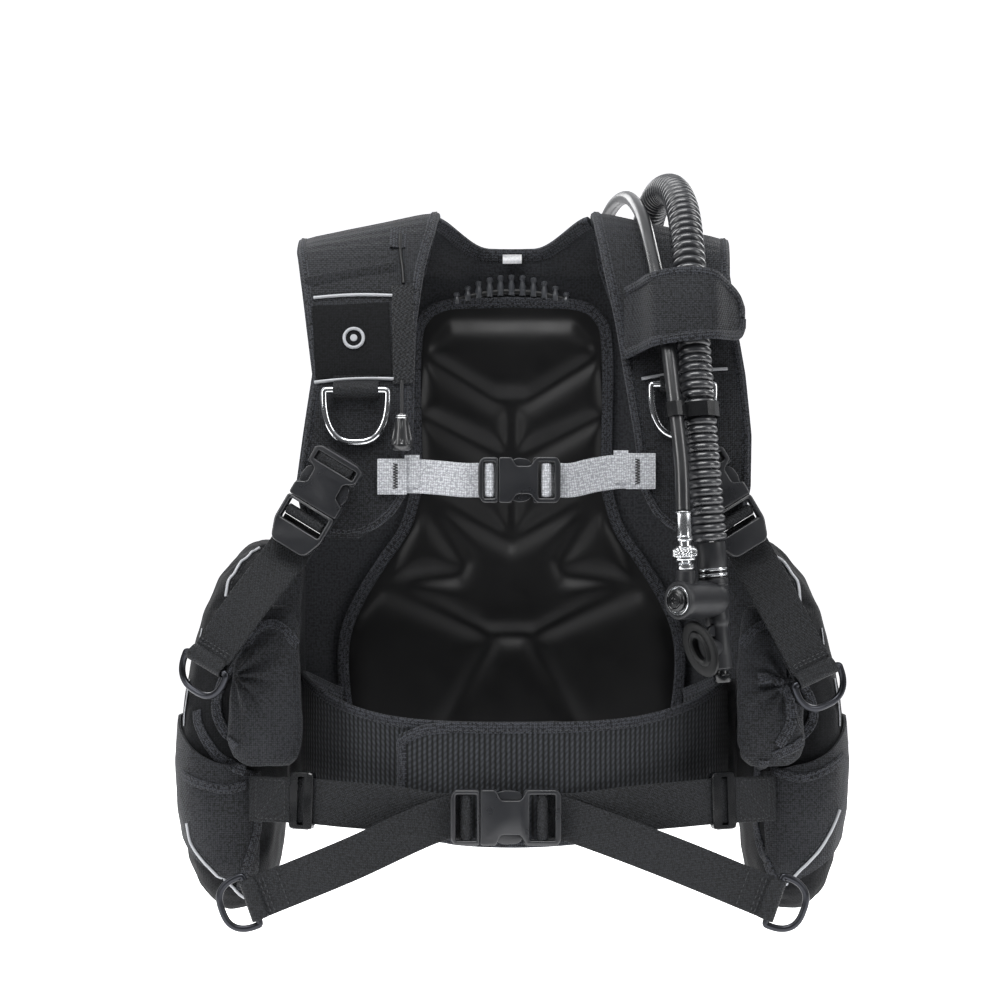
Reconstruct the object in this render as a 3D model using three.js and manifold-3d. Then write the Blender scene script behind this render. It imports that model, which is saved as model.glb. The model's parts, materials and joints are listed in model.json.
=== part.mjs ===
// Buoyancy compensator vest for scuba diving, in millimetres.
// +X is the wearer's left, +Y the wearer's back, +Z up. The origin lies between the two shoulder straps,
// where the vest rests on the wearer's shoulders.
import * as THREE from "three";
import { mergeVertices } from "three/addons/utils/BufferGeometryUtils.js";
import Module from "manifold-3d";

const wasm = await Module();
wasm.setup();

// ---------------------------------------------------------------- driving sizes
const GAP = 0.4; // left between two pieces that touch
const RIGHT = -1; // the wearer's right, along -X
const LEFT = 1;

const WEBBING = { thick: 2, waistStrap: 40, waistTail: 37, chest: 30, shoulder: 40, tank: 50, handle: 28 };
const RING = { wire: 3, corner: 5, turns: 18, sides: 5, ease: 6 };
const CHEST_RING = { width: 50, depth: 46 };
const WAIST_RING = { width: 39, depth: 27 };
const SHOULDER_RING = { width: 42, depth: 28 };
const LOOP_WALL = 2; // webbing thickness round a ring's bar
const LOOP_SIDES = 10;
const HOSE = { air: 15, pressure: 6.25 }; // outer radii
const TANK_RADIUS = 92;
const STRAP_PAD = 8; // thickness of a padded shoulder strap
const PANEL = 5; // thickness of the back panel
const BACK_PAD = 14;
const CELL = 34; // thickness of the air cell behind the back panel
const BAND = 4; // thickness of the cummerbund
const WAIST = { x: 188, centreY: -20, depth: 110, top: -447, bottom: -556, lift: 38, rise: 30 };
const BUCKLE_Z = -528; // height of the waist buckle
const WAIST_BUCKLE = { web: 38, thick: 13, housing: 44, frame: 26, x: -28 };
const CHEST_BUCKLE = { web: 30, thick: 11, housing: 36, frame: 18, x: -12, y: -126, z: -235.5 };
const SHOULDER_BUCKLE = { web: 38, thick: 11, housing: 38, frame: 27, lip: 16 };

// ---------------------------------------------------------------- small helpers
const V = (x, y, z) => new THREE.Vector3(x, y, z);
const lerp = THREE.MathUtils.lerp;
const power = (value, exponent) => Math.sign(value) * Math.abs(value) ** exponent;

// The value at t between rows of [key, ...values], where the keys run one way.
function between(rows, t, column) {
  const up = rows[rows.length - 1][0] > rows[0][0];
  let i = 1;
  while (i < rows.length - 1 && (up ? rows[i][0] < t : rows[i][0] > t)) i += 1;
  const share = THREE.MathUtils.clamp((t - rows[i - 1][0]) / (rows[i][0] - rows[i - 1][0]), 0, 1);
  return lerp(rows[i - 1][column], rows[i][column], share);
}

// A box geometry bent to shape: place(u, v, w) takes its shares across, along and through, each 0 to 1.
function slab(across, along, place) {
  const g = new THREE.BoxGeometry(1, 1, 1, across, along, 1);
  const p = g.getAttribute("position");
  for (let i = 0; i < p.count; i += 1) {
    const [u, v, w] = [p.getX(i), p.getY(i),
      p.getZ(i)].map((share) => THREE.MathUtils.clamp(share + 0.5, 0, 1));
    const to = place(u, v, w);
    p.setXYZ(i, to.x, to.y, to.z);
  }
  return g;
}

// A capped cylinder bent to shape: place(angle, t) takes the angle round it and the share from bottom to top.
function barrel(round, levels, place) {
  const g = new THREE.CylinderGeometry(1, 1, 1, round, levels);
  const p = g.getAttribute("position");
  for (let i = 0; i < p.count; i += 1) {
    const middle = Math.hypot(p.getX(i), p.getZ(i)) < 0.5;
    const to = place(Math.atan2(p.getX(i), p.getZ(i)), p.getY(i) + 0.5, middle);
    p.setXYZ(i, to.x, to.y, to.z);
  }
  return g;
}

function signedVolume(index, points) {
  let sum = 0;
  for (let i = 0; i < index.length; i += 3) {
    const [a, b, c] = [0, 1, 2].map((k) => V().fromArray(points, 3 * index[i + k]));
    sum += a.dot(b.cross(c)) / 6;
  }
  return sum;
}

// Joins doubled points and turns the faces outwards.
function closed(geometry) {
  const bare = geometry.index ? geometry.toNonIndexed() : geometry.clone();
  for (const name of Object.keys(bare.attributes)) if (name !== "position") bare.deleteAttribute(name);
  const merged = mergeVertices(bare, 1e-3);
  const index = merged.index.array;
  if (signedVolume(index, merged.getAttribute("position").array) < 0) {
    for (let i = 0; i < index.length; i += 3) [index[i + 1], index[i + 2]] = [index[i + 2], index[i + 1]];
  }
  return merged;
}

function solid(geometry) {
  const merged = closed(geometry);
  return new wasm.Manifold(
    new wasm.Mesh({
      numProp: 3,
      vertProperties: new Float32Array(merged.getAttribute("position").array),
      triVerts: new Uint32Array(merged.index.array),
    }),
  );
}

function geometryOf(made) {
  const mesh = made.getMesh();
  const points = new Float32Array(mesh.numVert * 3);
  for (let i = 0; i < mesh.numVert; i += 1) {
    points.set(mesh.vertProperties.subarray(i * mesh.numProp, i * mesh.numProp + 3), i * 3);
  }
  return new THREE.BufferGeometry()
    .setAttribute("position", new THREE.BufferAttribute(points, 3))
    .setIndex(new THREE.BufferAttribute(mesh.triVerts, 1));
}

const joined = (...parts) => geometryOf(parts.map(solid).reduce((a, b) => a.add(b)));
const cut = (from, ...holes) => geometryOf(holes.map(solid).reduce((a, b) => a.subtract(b), solid(from)));

// A flat strip of webbing along points. side(t) gives the direction across it; it may turn on the way.
function webbing(points, side, width, steps) {
  const line = new THREE.CatmullRomCurve3(points, false, "centripetal");
  return slab(1, steps, (u, v, w) => {
    const across = side(v).clone().normalize();
    const out = line.getTangentAt(v).cross(across).normalize();
    return line
      .getPointAt(v)
      .addScaledVector(across, (u - 0.5) * width)
      .addScaledVector(out, (w - 0.5) * WEBBING.thick);
  });
}

// A cylinder of a given length whose axis runs along direction, centred on centre.
function rod(radius, length, centre, direction, sides = 12) {
  const turn = new THREE.Quaternion().setFromUnitVectors(V(0, 1, 0), direction.clone().normalize());
  return new THREE.CylinderGeometry(radius, radius, length, sides)
    .applyQuaternion(turn)
    .translate(centre.x, centre.y, centre.z);
}

// A lathe profile of [radius, height] turned about direction, with height 0 at base.
function turned(profile, base, direction, sides = 16) {
  const turn = new THREE.Quaternion().setFromUnitVectors(V(0, 1, 0), direction.clone().normalize());
  return new THREE.LatheGeometry(profile.map(([r, h]) => new THREE.Vector2(r, h)), sides)
    .applyQuaternion(turn)
    .translate(base.x, base.y, base.z);
}

const block = (x, y, z, at) => new THREE.BoxGeometry(x, y, z).translate(at.x, at.y, at.z);

// A right-handed frame: x along the strap, z out of its face, at a point.
function frameAt(at, along, out) {
  const x = along.clone().normalize();
  const y = out.clone().cross(x).normalize();
  return new THREE.Matrix4().makeBasis(x, y, x.clone().cross(y)).setPosition(at);
}

const FABRIC = { color: 0x1b1d21, roughness: 0.85, metalness: 0 };
const PADDING = { color: 0x0e0f11, roughness: 0.6, metalness: 0 };
const STRAPPING = { color: 0x1d1f23, roughness: 0.75, metalness: 0 };
const GREY_STRAPPING = { color: 0xb9bbc0, roughness: 0.7, metalness: 0 };
const MOULDING = { color: 0x18191c, roughness: 0.45, metalness: 0 };
const SOFT_RUBBER = { color: 0x141517, roughness: 0.5, metalness: 0 };
const STEEL = { color: 0xc8cacd, roughness: 0.2, metalness: 1 };

const vest = new THREE.Group();
function piece(name, geometry, material) {
  const mesh = new THREE.Mesh(closed(geometry), new THREE.MeshStandardMaterial(material));
  mesh.name = name;
  vest.add(mesh);
  return mesh;
}
const named = (name, side) => `${name}_${side === LEFT ? "left" : "right"}`;

// ---------------------------------------------------------------- back panel, pad and air cell
const backY = (x) => 86 - 0.0011 * x * x; // front face of the back panel below the neck
const BACK_ROWS = [
  [-84, 100], [-106, 134], [-150, 146], [-200, 148], [-250, 150], [-290, 165], [-330, 190],
  [-400, 196], [-480, 194], [-540, 184], [-562, 150],
]; // height, half width
const NECK = { halfWidth: 64, front: 20, back: 84, top: 2, dip: -22 };
const NECK_ROWS = 3;

// The neck edge runs from one shoulder round the back of the neck to the other.
function neckEdge(u) {
  const angle = u * (Math.PI / 2);
  return V(
    NECK.halfWidth * Math.sin(angle),
    lerp(NECK.front, NECK.back, Math.cos(angle) ** 0.8),
    lerp(NECK.top, NECK.dip, Math.cos(angle) ** 0.8),
  );
}

function backPanel() {
  const rows = NECK_ROWS + BACK_ROWS.length - 1;
  return slab(6, rows, (u, v, w) => {
    const across = 2 * u - 1;
    const row = Math.round((1 - v) * rows);
    if (row < NECK_ROWS) {
      const edge = neckEdge(across);
      const foot = V(BACK_ROWS[0][1] * across, backY(BACK_ROWS[0][1] * across), BACK_ROWS[0][0]);
      const at = edge.clone().lerp(foot, row / NECK_ROWS);
      at.y = lerp(edge.y, foot.y, Math.min(1, (2.2 * row) / NECK_ROWS)) + (1 - w) * PANEL;
      return at;
    }
    const [z, half] = BACK_ROWS[row - NECK_ROWS];
    return V(half * across, backY(half * across) + (1 - w) * PANEL, z);
  });
}

const PAD_ROWS = [
  [-66, 62], [-72, 78], [-86, 90], [-110, 94], [-240, 94], [-255, 97], [-281, 106], [-307, 124],
  [-340, 145], [-375, 160], [-410, 163], [-460, 156], [-500, 140], [-530, 112], [-540, 86],
];
function backPad() {
  return slab(6, PAD_ROWS.length - 1, (u, v, w) => {
    const [z, half] = PAD_ROWS[Math.round((1 - v) * (PAD_ROWS.length - 1))];
    const x = half * (2 * u - 1);
    return V(x, backY(x) - GAP - w * BACK_PAD - 1, z);
  });
}

// A strip of upright ribs that stands out above the pad's top edge.
const COMB = { ribs: 11, pitch: 10.4, rib: 4.6, foot: -66, height: 15, arch: 10, thick: 5 };
const combFace = (x) => backY(x) - GAP - 3.4; // rear of the comb
function ribComb() {
  const half = ((COMB.ribs - 1) / 2) * COMB.pitch;
  const bar = slab(6, 1, (u, v, w) => {
    const x = (2 * u - 1) * (half + COMB.rib);
    const arch = COMB.arch * (1 - (x / (half + COMB.rib)) ** 2);
    return V(x, combFace(x) - w * COMB.thick, COMB.foot + GAP + v * 3 + arch);
  });
  const ribs = Array.from({ length: COMB.ribs }, (_, i) => {
    const x = (i - (COMB.ribs - 1) / 2) * COMB.pitch;
    const arch = COMB.arch * (1 - (x / (half + COMB.rib)) ** 2);
    const tall = COMB.height * (1 - 0.55 * (x / half) ** 2);
    return block(COMB.rib, COMB.thick, tall,
      V(x, combFace(x) - COMB.thick / 2, COMB.foot + arch + tall / 2));
  });
  return joined(bar, ...ribs);
}

const CELL_ROWS = [
  [-48, 92], [-62, 130], [-90, 158], [-150, 166], [-220, 166], [-285, 176], [-330, 194], [-400, 206],
  [-480, 206], [-520, 190], [-556, 160], [-574, 110],
];
const CELL_FACE = PANEL + 1.6; // from the back panel's front face to the cell
const cellRear = (x, z) => {
  const half = between(CELL_ROWS, z, 1);
  const edge = Math.min(1, Math.max(0, 1 - Math.abs(x / half) ** 4));
  const end = Math.min(1, (z - CELL_ROWS[CELL_ROWS.length - 1][0]) / 40, (CELL_ROWS[0][0] - z) / 30);
  return backY(x) + CELL_FACE + lerp(10, CELL, Math.sqrt(edge) * Math.max(0, end) ** 0.6);
};
function airCell() {
  return slab(8, CELL_ROWS.length - 1, (u, v, w) => {
    const [z, half] = CELL_ROWS[Math.round((1 - v) * (CELL_ROWS.length - 1))];
    const x = half * (2 * u - 1);
    return V(x, w > 0.5 ? backY(x) + CELL_FACE : cellRear(x, z), z);
  });
}
// Where the face of a disc lies that rests on the cell's rear.
const cellRest = new THREE.Mesh(airCell(), new THREE.MeshStandardMaterial({ side: THREE.DoubleSide }));
function restOnCell(x, z, radius) {
  const ray = new THREE.Raycaster();
  let most = -Infinity;
  for (let i = 0; i < 24; i += 1) {
    for (const share of [0, 0.3, 0.6, 0.8, 1]) {
      const reach = share * radius;
      const angle = (i * Math.PI) / 12;
      ray.set(V(x + reach * Math.cos(angle), backY(0) + 4 * CELL, z + reach * Math.sin(angle)), V(0, -1, 0));
      for (const hit of ray.intersectObject(cellRest)) most = Math.max(most, hit.point.y);
    }
  }
  return most + GAP;
}

piece("back_panel", backPanel(), FABRIC);
piece("back_pad", backPad(), PADDING);
piece("pad_rib_comb", ribComb(), SOFT_RUBBER);
piece("air_cell", airCell(), FABRIC);

// ---------------------------------------------------------------- shoulder straps and chest rings
// Down the middle of a strap, from its root behind the shoulder over the top to its tip on the chest.
const STRAP_LINE = new THREE.CatmullRomCurve3(
  [[62.7, -82.3], [58, -36], [38, -7], [4, 3], [-32, -10], [-64, -42], [-86, -84], [-99, -135],
  [-105, -195],
    [-107, -250], [-105, -287]].map(([y, z]) => V(0, y, z)),
  false,
  "centripetal",
);
// Share along the strap, inner edge and outer edge from the middle of the vest.
const STRAP_EDGES = {
  [RIGHT]: [
    [0, 100, 178], [0.1, 81, 186], [0.2, 70, 193], [0.27, 67, 195], [0.36, 71, 194], [0.46, 80, 189],
    [0.58, 86.5, 182], [0.68, 88, 176], [0.8, 89, 184], [0.9, 92, 190], [0.96, 108, 184], [1, 136, 160],
  ],
  [LEFT]: [
    [0, 100, 178], [0.1, 83, 188], [0.2, 75, 197], [0.27, 73.5, 198], [0.36, 77, 196], [0.46, 83, 194],
    [0.58, 93, 198], [0.68, 100, 205], [0.8, 109, 210], [0.9, 114, 209], [0.96, 128, 203], [1, 154, 178],
  ],
};
const STRAP_TOP = 0.27; // share along the strap where it crosses the shoulder
const SHOULDER_DROOP = 26; // how much lower the outer edge lies on the shoulder
const STRAP_STEPS = 18;

function onStrap(side, t, across, out) {
  const inner = between(STRAP_EDGES[side], t, 1);
  const outer = between(STRAP_EDGES[side], t, 2);
  const at = STRAP_LINE.getPointAt(t);
  const along = STRAP_LINE.getTangentAt(t);
  const normal = V(0, along.z, -along.y);
  const droop = SHOULDER_DROOP * Math.exp(-(((t - STRAP_TOP) / 0.16) ** 2));
  return V(side * lerp(inner, outer, across), at.y,
    at.z + droop * (0.25 - across)).addScaledVector(normal, out);
}
const strapShareAt = (z) => {
  let [low, high] = [STRAP_TOP, 1];
  for (let i = 0; i < 30; i += 1) {
    const middle = (low + high) / 2;
    if (STRAP_LINE.getPointAt(middle).z > z) low = middle;
    else high = middle;
  }
  return low;
};
const chestFront = (z) => STRAP_LINE.getPointAt(strapShareAt(z)).y - STRAP_PAD / 2;

// A ring of round wire, D-shaped: a straight bar through the local origin, and a bow that hangs depth below it.
function ringGeometry(size) {
  const around = (angle) => {
    const [c, s] = [Math.cos(angle), Math.sin(angle)];
    const half = size.width / 2 + RING.wire;
    return s >= 0
      ? V(half * power(c, 1 / RING.ease), RING.corner * power(s, 1 / RING.ease) - RING.corner, 0)
      : V(half * power(c, 0.72), (size.depth - RING.corner) * power(s, 0.9) - RING.corner, 0);
  };
  const big = 10;
  const g = new THREE.TorusGeometry(big, 1, RING.sides, RING.turns);
  const p = g.getAttribute("position");
  for (let i = 0; i < p.count; i += 1) {
    const angle = Math.atan2(p.getY(i), p.getX(i));
    const along = around(angle + 0.02).sub(around(angle - 0.02)).normalize();
    const out = V(along.y, -along.x, 0);
    const reach = Math.hypot(p.getX(i), p.getY(i)) - big;
    const to = around(angle).addScaledVector(out, reach * RING.wire).add(V(0, 0, p.getZ(i) * RING.wire));
    p.setXYZ(i, to.x, to.y, to.z);
  }
  return g;
}
const loopBore = RING.wire + 0.5;
const loopOuter = loopBore + LOOP_WALL;

const CHEST_RINGS = {
  [RIGHT]: { x: -138, z: -156 },
  [LEFT]: { x: 150, z: -151 },
};
for (const side of [RIGHT, LEFT]) {
  const ring = CHEST_RINGS[side];
  ring.y = chestFront(ring.z - CHEST_RING.depth) - RING.wire - 1;
  const at = V(ring.x, ring.y, ring.z);
  const loopWidth = CHEST_RING.width - 10;
  const strap = slab(2, STRAP_STEPS, (u, v, w) => onStrap(side, v, u, (0.5 - w) * STRAP_PAD));
  const loop = rod(loopOuter, loopWidth, at, V(1, 0, 0), LOOP_SIDES);
  const seatDepth = chestFront(ring.z) + 2 - ring.y;
  const seat = block(loopWidth, seatDepth, 2 * loopOuter, V(ring.x, ring.y + seatDepth / 2, ring.z));
  const bore = rod(loopBore, loopWidth + 2, at, V(1, 0, 0), LOOP_SIDES);
  piece(named("shoulder_strap", side), cut(joined(strap, loop, seat), bore), FABRIC);
  const steel = piece(named("chest_ring", side), ringGeometry(CHEST_RING), STEEL);
  steel.applyMatrix4(frameAt(at, V(1, 0, 0), V(0, -1, 0)));
}

// ---------------------------------------------------------------- side lobes, pockets and weight pouches
// Height, outer and inner distance from the middle, front and back.
const LOBE_ROWS = [
  [-292, 238, 208, -36, 58], [-305, 251, 205, -62, 74], [-325, 267, 204, -85, 84],
  [-355, 281, 203, -98, 92],
  [-400, 292, 203, -104, 96], [-430, 298, 204, -106, 98], [-455, 301, 204, -106, 98],
  [-485, 303, 205, -106, 98],
  [-530, 301, 207, -104, 95], [-575, 294, 211, -98, 85], [-602, 284, 217, -86, 66],
  [-620, 268, 230, -60, 36],
];
const LOBE_ROUND = 16;
const LOBE_SQUARE = 0.77; // exponent that makes the section fuller than an ellipse

// A point on a lobe at a row and an angle: 0 faces forward, a quarter turn faces outward.
function onLobe(side, row, angle, out = 0) {
  const [z, outer, inner, front, back] = LOBE_ROWS[row];
  const rx = (outer - inner) / 2 + out;
  const ry = (back - front) / 2 + out;
  return V(
    side * ((outer + inner) / 2 + rx * power(Math.sin(angle), LOBE_SQUARE)),
    (front + back) / 2 - ry * power(Math.cos(angle), LOBE_SQUARE),
    z,
  );
}
function lobe(side) {
  const last = LOBE_ROWS.length - 1;
  return barrel(LOBE_ROUND, last, (angle, t, middle) => {
    const row = Math.round((1 - t) * last);
    if (!middle) return onLobe(side, row, side * angle);
    const [z, outer, inner, front, back] = LOBE_ROWS[row];
    return V((side * (outer + inner)) / 2, (front + back) / 2, z);
  });
}

const POCKET = { firstRow: 6, lastRow: 10, from: -2, to: 4, thick: 4,
  off: 1 }; // angles in sixteenths of a turn
function pocket(side) {
  const rows = POCKET.lastRow - POCKET.firstRow;
  const turns = POCKET.to - POCKET.from;
  return slab(turns, rows, (u, v, w) => {
    const angle = ((POCKET.from + Math.round(u * turns)) / LOBE_ROUND) * 2 * Math.PI;
    return onLobe(side, POCKET.lastRow - Math.round(v * rows), angle, POCKET.off + w * POCKET.thick);
  });
}

const POUCH_ROWS = [
  [-346, 202, 10, 5], [-356, 205, 17, 8.5], [-372, 208, 22, 12], [-400, 211, 26, 14.6],
  [-430, 213, 28, 15.6], [-465, 213, 28, 16], [-478, 212, 24, 13.5], [-486, 212, 16, 10],
]; // height, centre from the middle, half width, half depth
const POUCH_SHIFT = { [RIGHT]: 2, [LEFT]: 14 };
const POUCH_GAP = { [RIGHT]: 6.6, [LEFT]: 2.2 };
// Where the front of a lobe lies, at a distance from the middle of the vest.
function lobeFront(x) {
  const [, outer, inner, front, back] = LOBE_ROWS[POCKET.firstRow];
  const share = Math.min(1, Math.abs(x - (outer + inner) / 2) / ((outer - inner) / 2)) ** (1 / LOBE_SQUARE);
  return (front + back) / 2 - ((back - front) / 2) * (1 - share ** 2) ** (LOBE_SQUARE / 2);
}
function pouch(side) {
  const last = POUCH_ROWS.length - 1;
  const middleX = POUCH_ROWS[4][1] + POUCH_SHIFT[side];
  const rear = lobeFront(middleX + 10) - POUCH_GAP[side];
  return barrel(10, last, (angle, t, middle) => {
    const [z, x, half, deep] = POUCH_ROWS[Math.round((1 - t) * last)];
    const size = middle ? 0 : 1;
    const around = rear - deep * (1 + size * Math.cos(angle));
    return V(side * (x + POUCH_SHIFT[side] + size * half * Math.sin(angle)), around, z);
  });
}

for (const side of [RIGHT, LEFT]) {
  piece(named("side_lobe", side), lobe(side), FABRIC);
  piece(named("pocket", side), pocket(side), FABRIC);
  piece(named("weight_pouch", side), pouch(side), FABRIC);
}

// ---------------------------------------------------------------- cummerbund
// The left half closes over the right half with hook and loop.
const BAND_ENDS = { [RIGHT]: [-123, 18], [LEFT]: [-36, 124] }; // degrees from the front
const LAYER = { [RIGHT]: 0, [LEFT]: BAND + 1.3 };
function cummerbund(side) {
  const [from, to] = BAND_ENDS[side].map(THREE.MathUtils.degToRad);
  return slab(18, 2, (u, v, w) => {
    const angle = lerp(from, to, u);
    const out = LAYER[side] + w * BAND;
    const raised = Math.sin(angle) ** 4;
    const tip = side === LEFT ? Math.max(0, 1 - u * 9) : 0;
    const top = WAIST.top + WAIST.lift * raised - 14 * tip;
    const bottom = WAIST.bottom + WAIST.rise * Math.sin(angle) ** 2 + 14 * tip;
    return V((WAIST.x + out) * Math.sin(angle), WAIST.centreY - (WAIST.depth + out) * Math.cos(angle),
      lerp(bottom, top, v));
  });
}
for (const side of [RIGHT, LEFT]) piece(named("cummerbund", side), cummerbund(side), STRAPPING);

// ---------------------------------------------------------------- side-release buckles
// Local frame: the male half lies at negative x, the female half at positive x, and z points out of the face.
function buckleSizes({ web, thick, housing, frame, lip = 0 }) {
  const slot = web + 2;
  return { web, thick, housing, frame, lip, slot, half: slot / 2 + 4, wall: 2.2, bar: 5, arm: 5.5,
    reach: housing - 9 };
}
function roundedShape(x0, x1, half, corner, taper = 0) {
  const s = new THREE.Shape();
  s.moveTo(x0, -half + corner);
  s.quadraticCurveTo(x0, -half, x0 + corner, -half);
  s.lineTo(x1 - corner, -half + taper);
  s.quadraticCurveTo(x1, -half + taper, x1, -half + taper + corner);
  s.lineTo(x1, half - taper - corner);
  s.quadraticCurveTo(x1, half - taper, x1 - corner, half - taper);
  s.lineTo(x0 + corner, half);
  s.quadraticCurveTo(x0, half, x0, half - corner);
  s.closePath();
  return s;
}
function plate(shape, thick) {
  const bevel = 1;
  return new THREE.ExtrudeGeometry(shape, {
    depth: thick - 2 * bevel, bevelThickness: bevel, bevelSize: bevel, bevelOffset: -bevel,
      bevelSegments: 1, curveSegments: 2,
  }).translate(0, 0, bevel - thick / 2);
}
// The two webbing slots of an adjusting frame between x0 and x1, with a bar between them.
function slots(b, x0, x1) {
  const rim = 4;
  const gap = (x1 - x0 - 2 * rim - b.bar) / 2;
  return [x0 + rim + gap / 2, x1 - rim - gap / 2].map((x) => block(gap, b.slot, b.thick + 2, V(x, 0, 0)));
}
function femaleHalf(b, adjusting = true) {
  const end = b.housing + b.frame;
  const body = plate(roundedShape(0, end, b.half, 3), b.thick);
  const cavity = block(b.reach + 1, b.slot, b.thick - 2 * b.wall, V(b.reach / 2, 0, 0));
  const scoops = [-1, 1].map((s) =>
    rod(b.housing * 0.27, b.thick + 4, V(b.housing * 0.5, s * (b.half + b.housing * 0.05), 0), V(0, 0, 1),
      12));
  const frame = adjusting
    ? slots(b, b.housing - 4, end)
    : [block(b.frame - 4, b.slot, b.thick + 2, V(b.housing + b.frame / 2 - 2, 0, 0))];
  return cut(body, cavity, ...scoops, ...frame);
}
function maleHalf(b, taper = 0) {
  const frame = plate(roundedShape(-b.frame - b.lip, -GAP, b.half, 3, 0), b.thick);
  if (taper) {
    const p = frame.getAttribute("position");
    for (let i = 0; i < p.count; i += 1) p.setY(i,
      p.getY(i) * (1 - taper * Math.max(0, -p.getX(i) / b.frame - 0.5)));
  }
  const deep = b.thick - 2 * b.wall - 2 * GAP;
  const side = b.slot / 2 - GAP - b.arm / 2;
  const arms = [-1, 1].map((s) => block(b.reach + 1, b.arm, deep, V(b.reach / 2 - 1.5, s * side, 0)));
  const tongue = block(b.reach * 0.8, 6, deep, V(b.reach * 0.4 - 1.5, 0, 0));
  return cut(joined(frame, ...arms, tongue), ...slots(b, -b.frame, -2));
}

// ---------------------------------------------------------------- waist webbing, buckle and pull rings
const waist = buckleSizes(WAIST_BUCKLE);
const WAIST_Y = WAIST.centreY - WAIST.depth - 2 * BAND - GAP - 12; // middle of the waist buckle
const waistOrigin = V(WAIST_BUCKLE.x, WAIST_Y, BUCKLE_Z);
const frameMiddle = { [RIGHT]: -waist.frame / 2 - 2, [LEFT]: waist.housing + waist.frame / 2 - 2 };
piece("waist_buckle_female", femaleHalf(waist),
  MOULDING).applyMatrix4(frameAt(waistOrigin, V(1, 0, 0), V(0, -1, 0)));
piece("waist_buckle_male", maleHalf(waist),
  MOULDING).applyMatrix4(frameAt(waistOrigin, V(1, 0, 0), V(0, -1, 0)));

const STRAP_Z = -516; // height of the waist straps at the pockets
const strapOuter = (side) => [
  V(side * 232, -106.6, STRAP_Z),
  V(side * 208, -119, STRAP_Z),
  V(side * 184, -127.5, STRAP_Z),
  V(side * 150, -138, STRAP_Z - 2),
];
// From the pocket's inner edge to just short of the buckle's bar, behind the tail.
function waistStrap(side) {
  const end = waistOrigin.x + frameMiddle[side] + side * (waist.frame / 2 - 6);
  const back = WAIST_Y + waist.thick / 2 + WEBBING.thick / 2 + GAP;
  const inner = [V(side * 104, back + 2, STRAP_Z - 6), V(end + side * 16, back, BUCKLE_Z),
    V(end, back, BUCKLE_Z)];
  return webbing([...strapOuter(side), ...inner], () => V(0, 0, 1), WEBBING.waistStrap, 12);
}
// The webbing's free end: out of the front of the buckle, down and outward to its pull ring.
const TAIL_END = V(226, -156, -599); // the ring's bar, on the left
const TAIL_SIDE = { start: V(0, 0, 1), end: V(0.35, 0, 0.94) };
function waistTail(side) {
  const start = waistOrigin.x + frameMiddle[side] + side * (waist.frame / 2 - 4);
  const ringAt = V(side * TAIL_END.x, TAIL_END.y, TAIL_END.z);
  const front = WAIST_Y - waist.thick / 2 - 1.6;
  const band = webbing(
    [
      V(start - side * 9, front, BUCKLE_Z),
      V(start + side * 16, front - 1, BUCKLE_Z - 4),
      V(side * 140, -163, -563),
      ringAt,
    ],
    (t) => V(side * TAIL_SIDE.end.x * t, 0, 1),
    WEBBING.waistTail,
    8,
  );
  const bar = V(side * TAIL_SIDE.end.x, 0, TAIL_SIDE.end.z);
  const width = WEBBING.waistTail;
  const loop = rod(loopOuter, width, ringAt, bar, LOOP_SIDES);
  return cut(joined(band, loop), rod(loopBore, width + 2, ringAt, bar, LOOP_SIDES));
}
function pullRing(name, size, at, bar, down) {
  const mesh = piece(name, ringGeometry(size), MOULDING);
  const x = bar.clone().normalize();
  const y = down.clone().negate().addScaledVector(x, down.dot(x)).normalize();
  mesh.applyMatrix4(new THREE.Matrix4().makeBasis(x, y, x.clone().cross(y)).setPosition(at));
}
for (const side of [RIGHT, LEFT]) {
  piece(named("waist_strap", side), waistStrap(side), STRAPPING);
  piece(named("waist_tail", side), waistTail(side), STRAPPING);
  pullRing(
    named("waist_ring", side),
    WAIST_RING,
    V(side * TAIL_END.x, TAIL_END.y, TAIL_END.z),
    V(side * TAIL_SIDE.end.x, 0, TAIL_SIDE.end.z),
    V(0, 0, -1),
  );
}

// A three-bar slide on each waist strap: the strap runs behind the outer bars and over the middle one.
const SLIDE = { x: 184, wide: 22, thick: 9, rim: 4, slot: 4.6 };
function slideKeeper() {
  const tall = WEBBING.waistStrap + 2 + 2 * SLIDE.rim;
  const body = plate(roundedShape(-SLIDE.wide / 2, SLIDE.wide / 2, tall / 2, 4), SLIDE.thick);
  return cut(body, block(SLIDE.wide + 2, WEBBING.waistStrap + 2, SLIDE.slot, V(0, 0, 0)),
    block(6, WEBBING.waistStrap + 2, 12, V(0, 0, 6)));
}
function strapPointAt(side, x) {
  const line = new THREE.CatmullRomCurve3(strapOuter(side), false, "centripetal");
  let best = 0;
  for (let t = 0; t <= 1; t += 0.002) {
    if (Math.abs(line.getPointAt(t).x - side * x) < Math.abs(line.getPointAt(best).x - side * x)) best = t;
  }
  return { best: line.getPointAt(best), along: line.getTangentAt(best) };
}
for (const side of [RIGHT, LEFT]) {
  const { best, along } = strapPointAt(side, SLIDE.x);
  const x = along.x > 0 ? along : along.clone().negate();
  piece(named("strap_slide", side), slideKeeper(), MOULDING).applyMatrix4(frameAt(best, x, V(0, -1, 0)));
}

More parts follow.
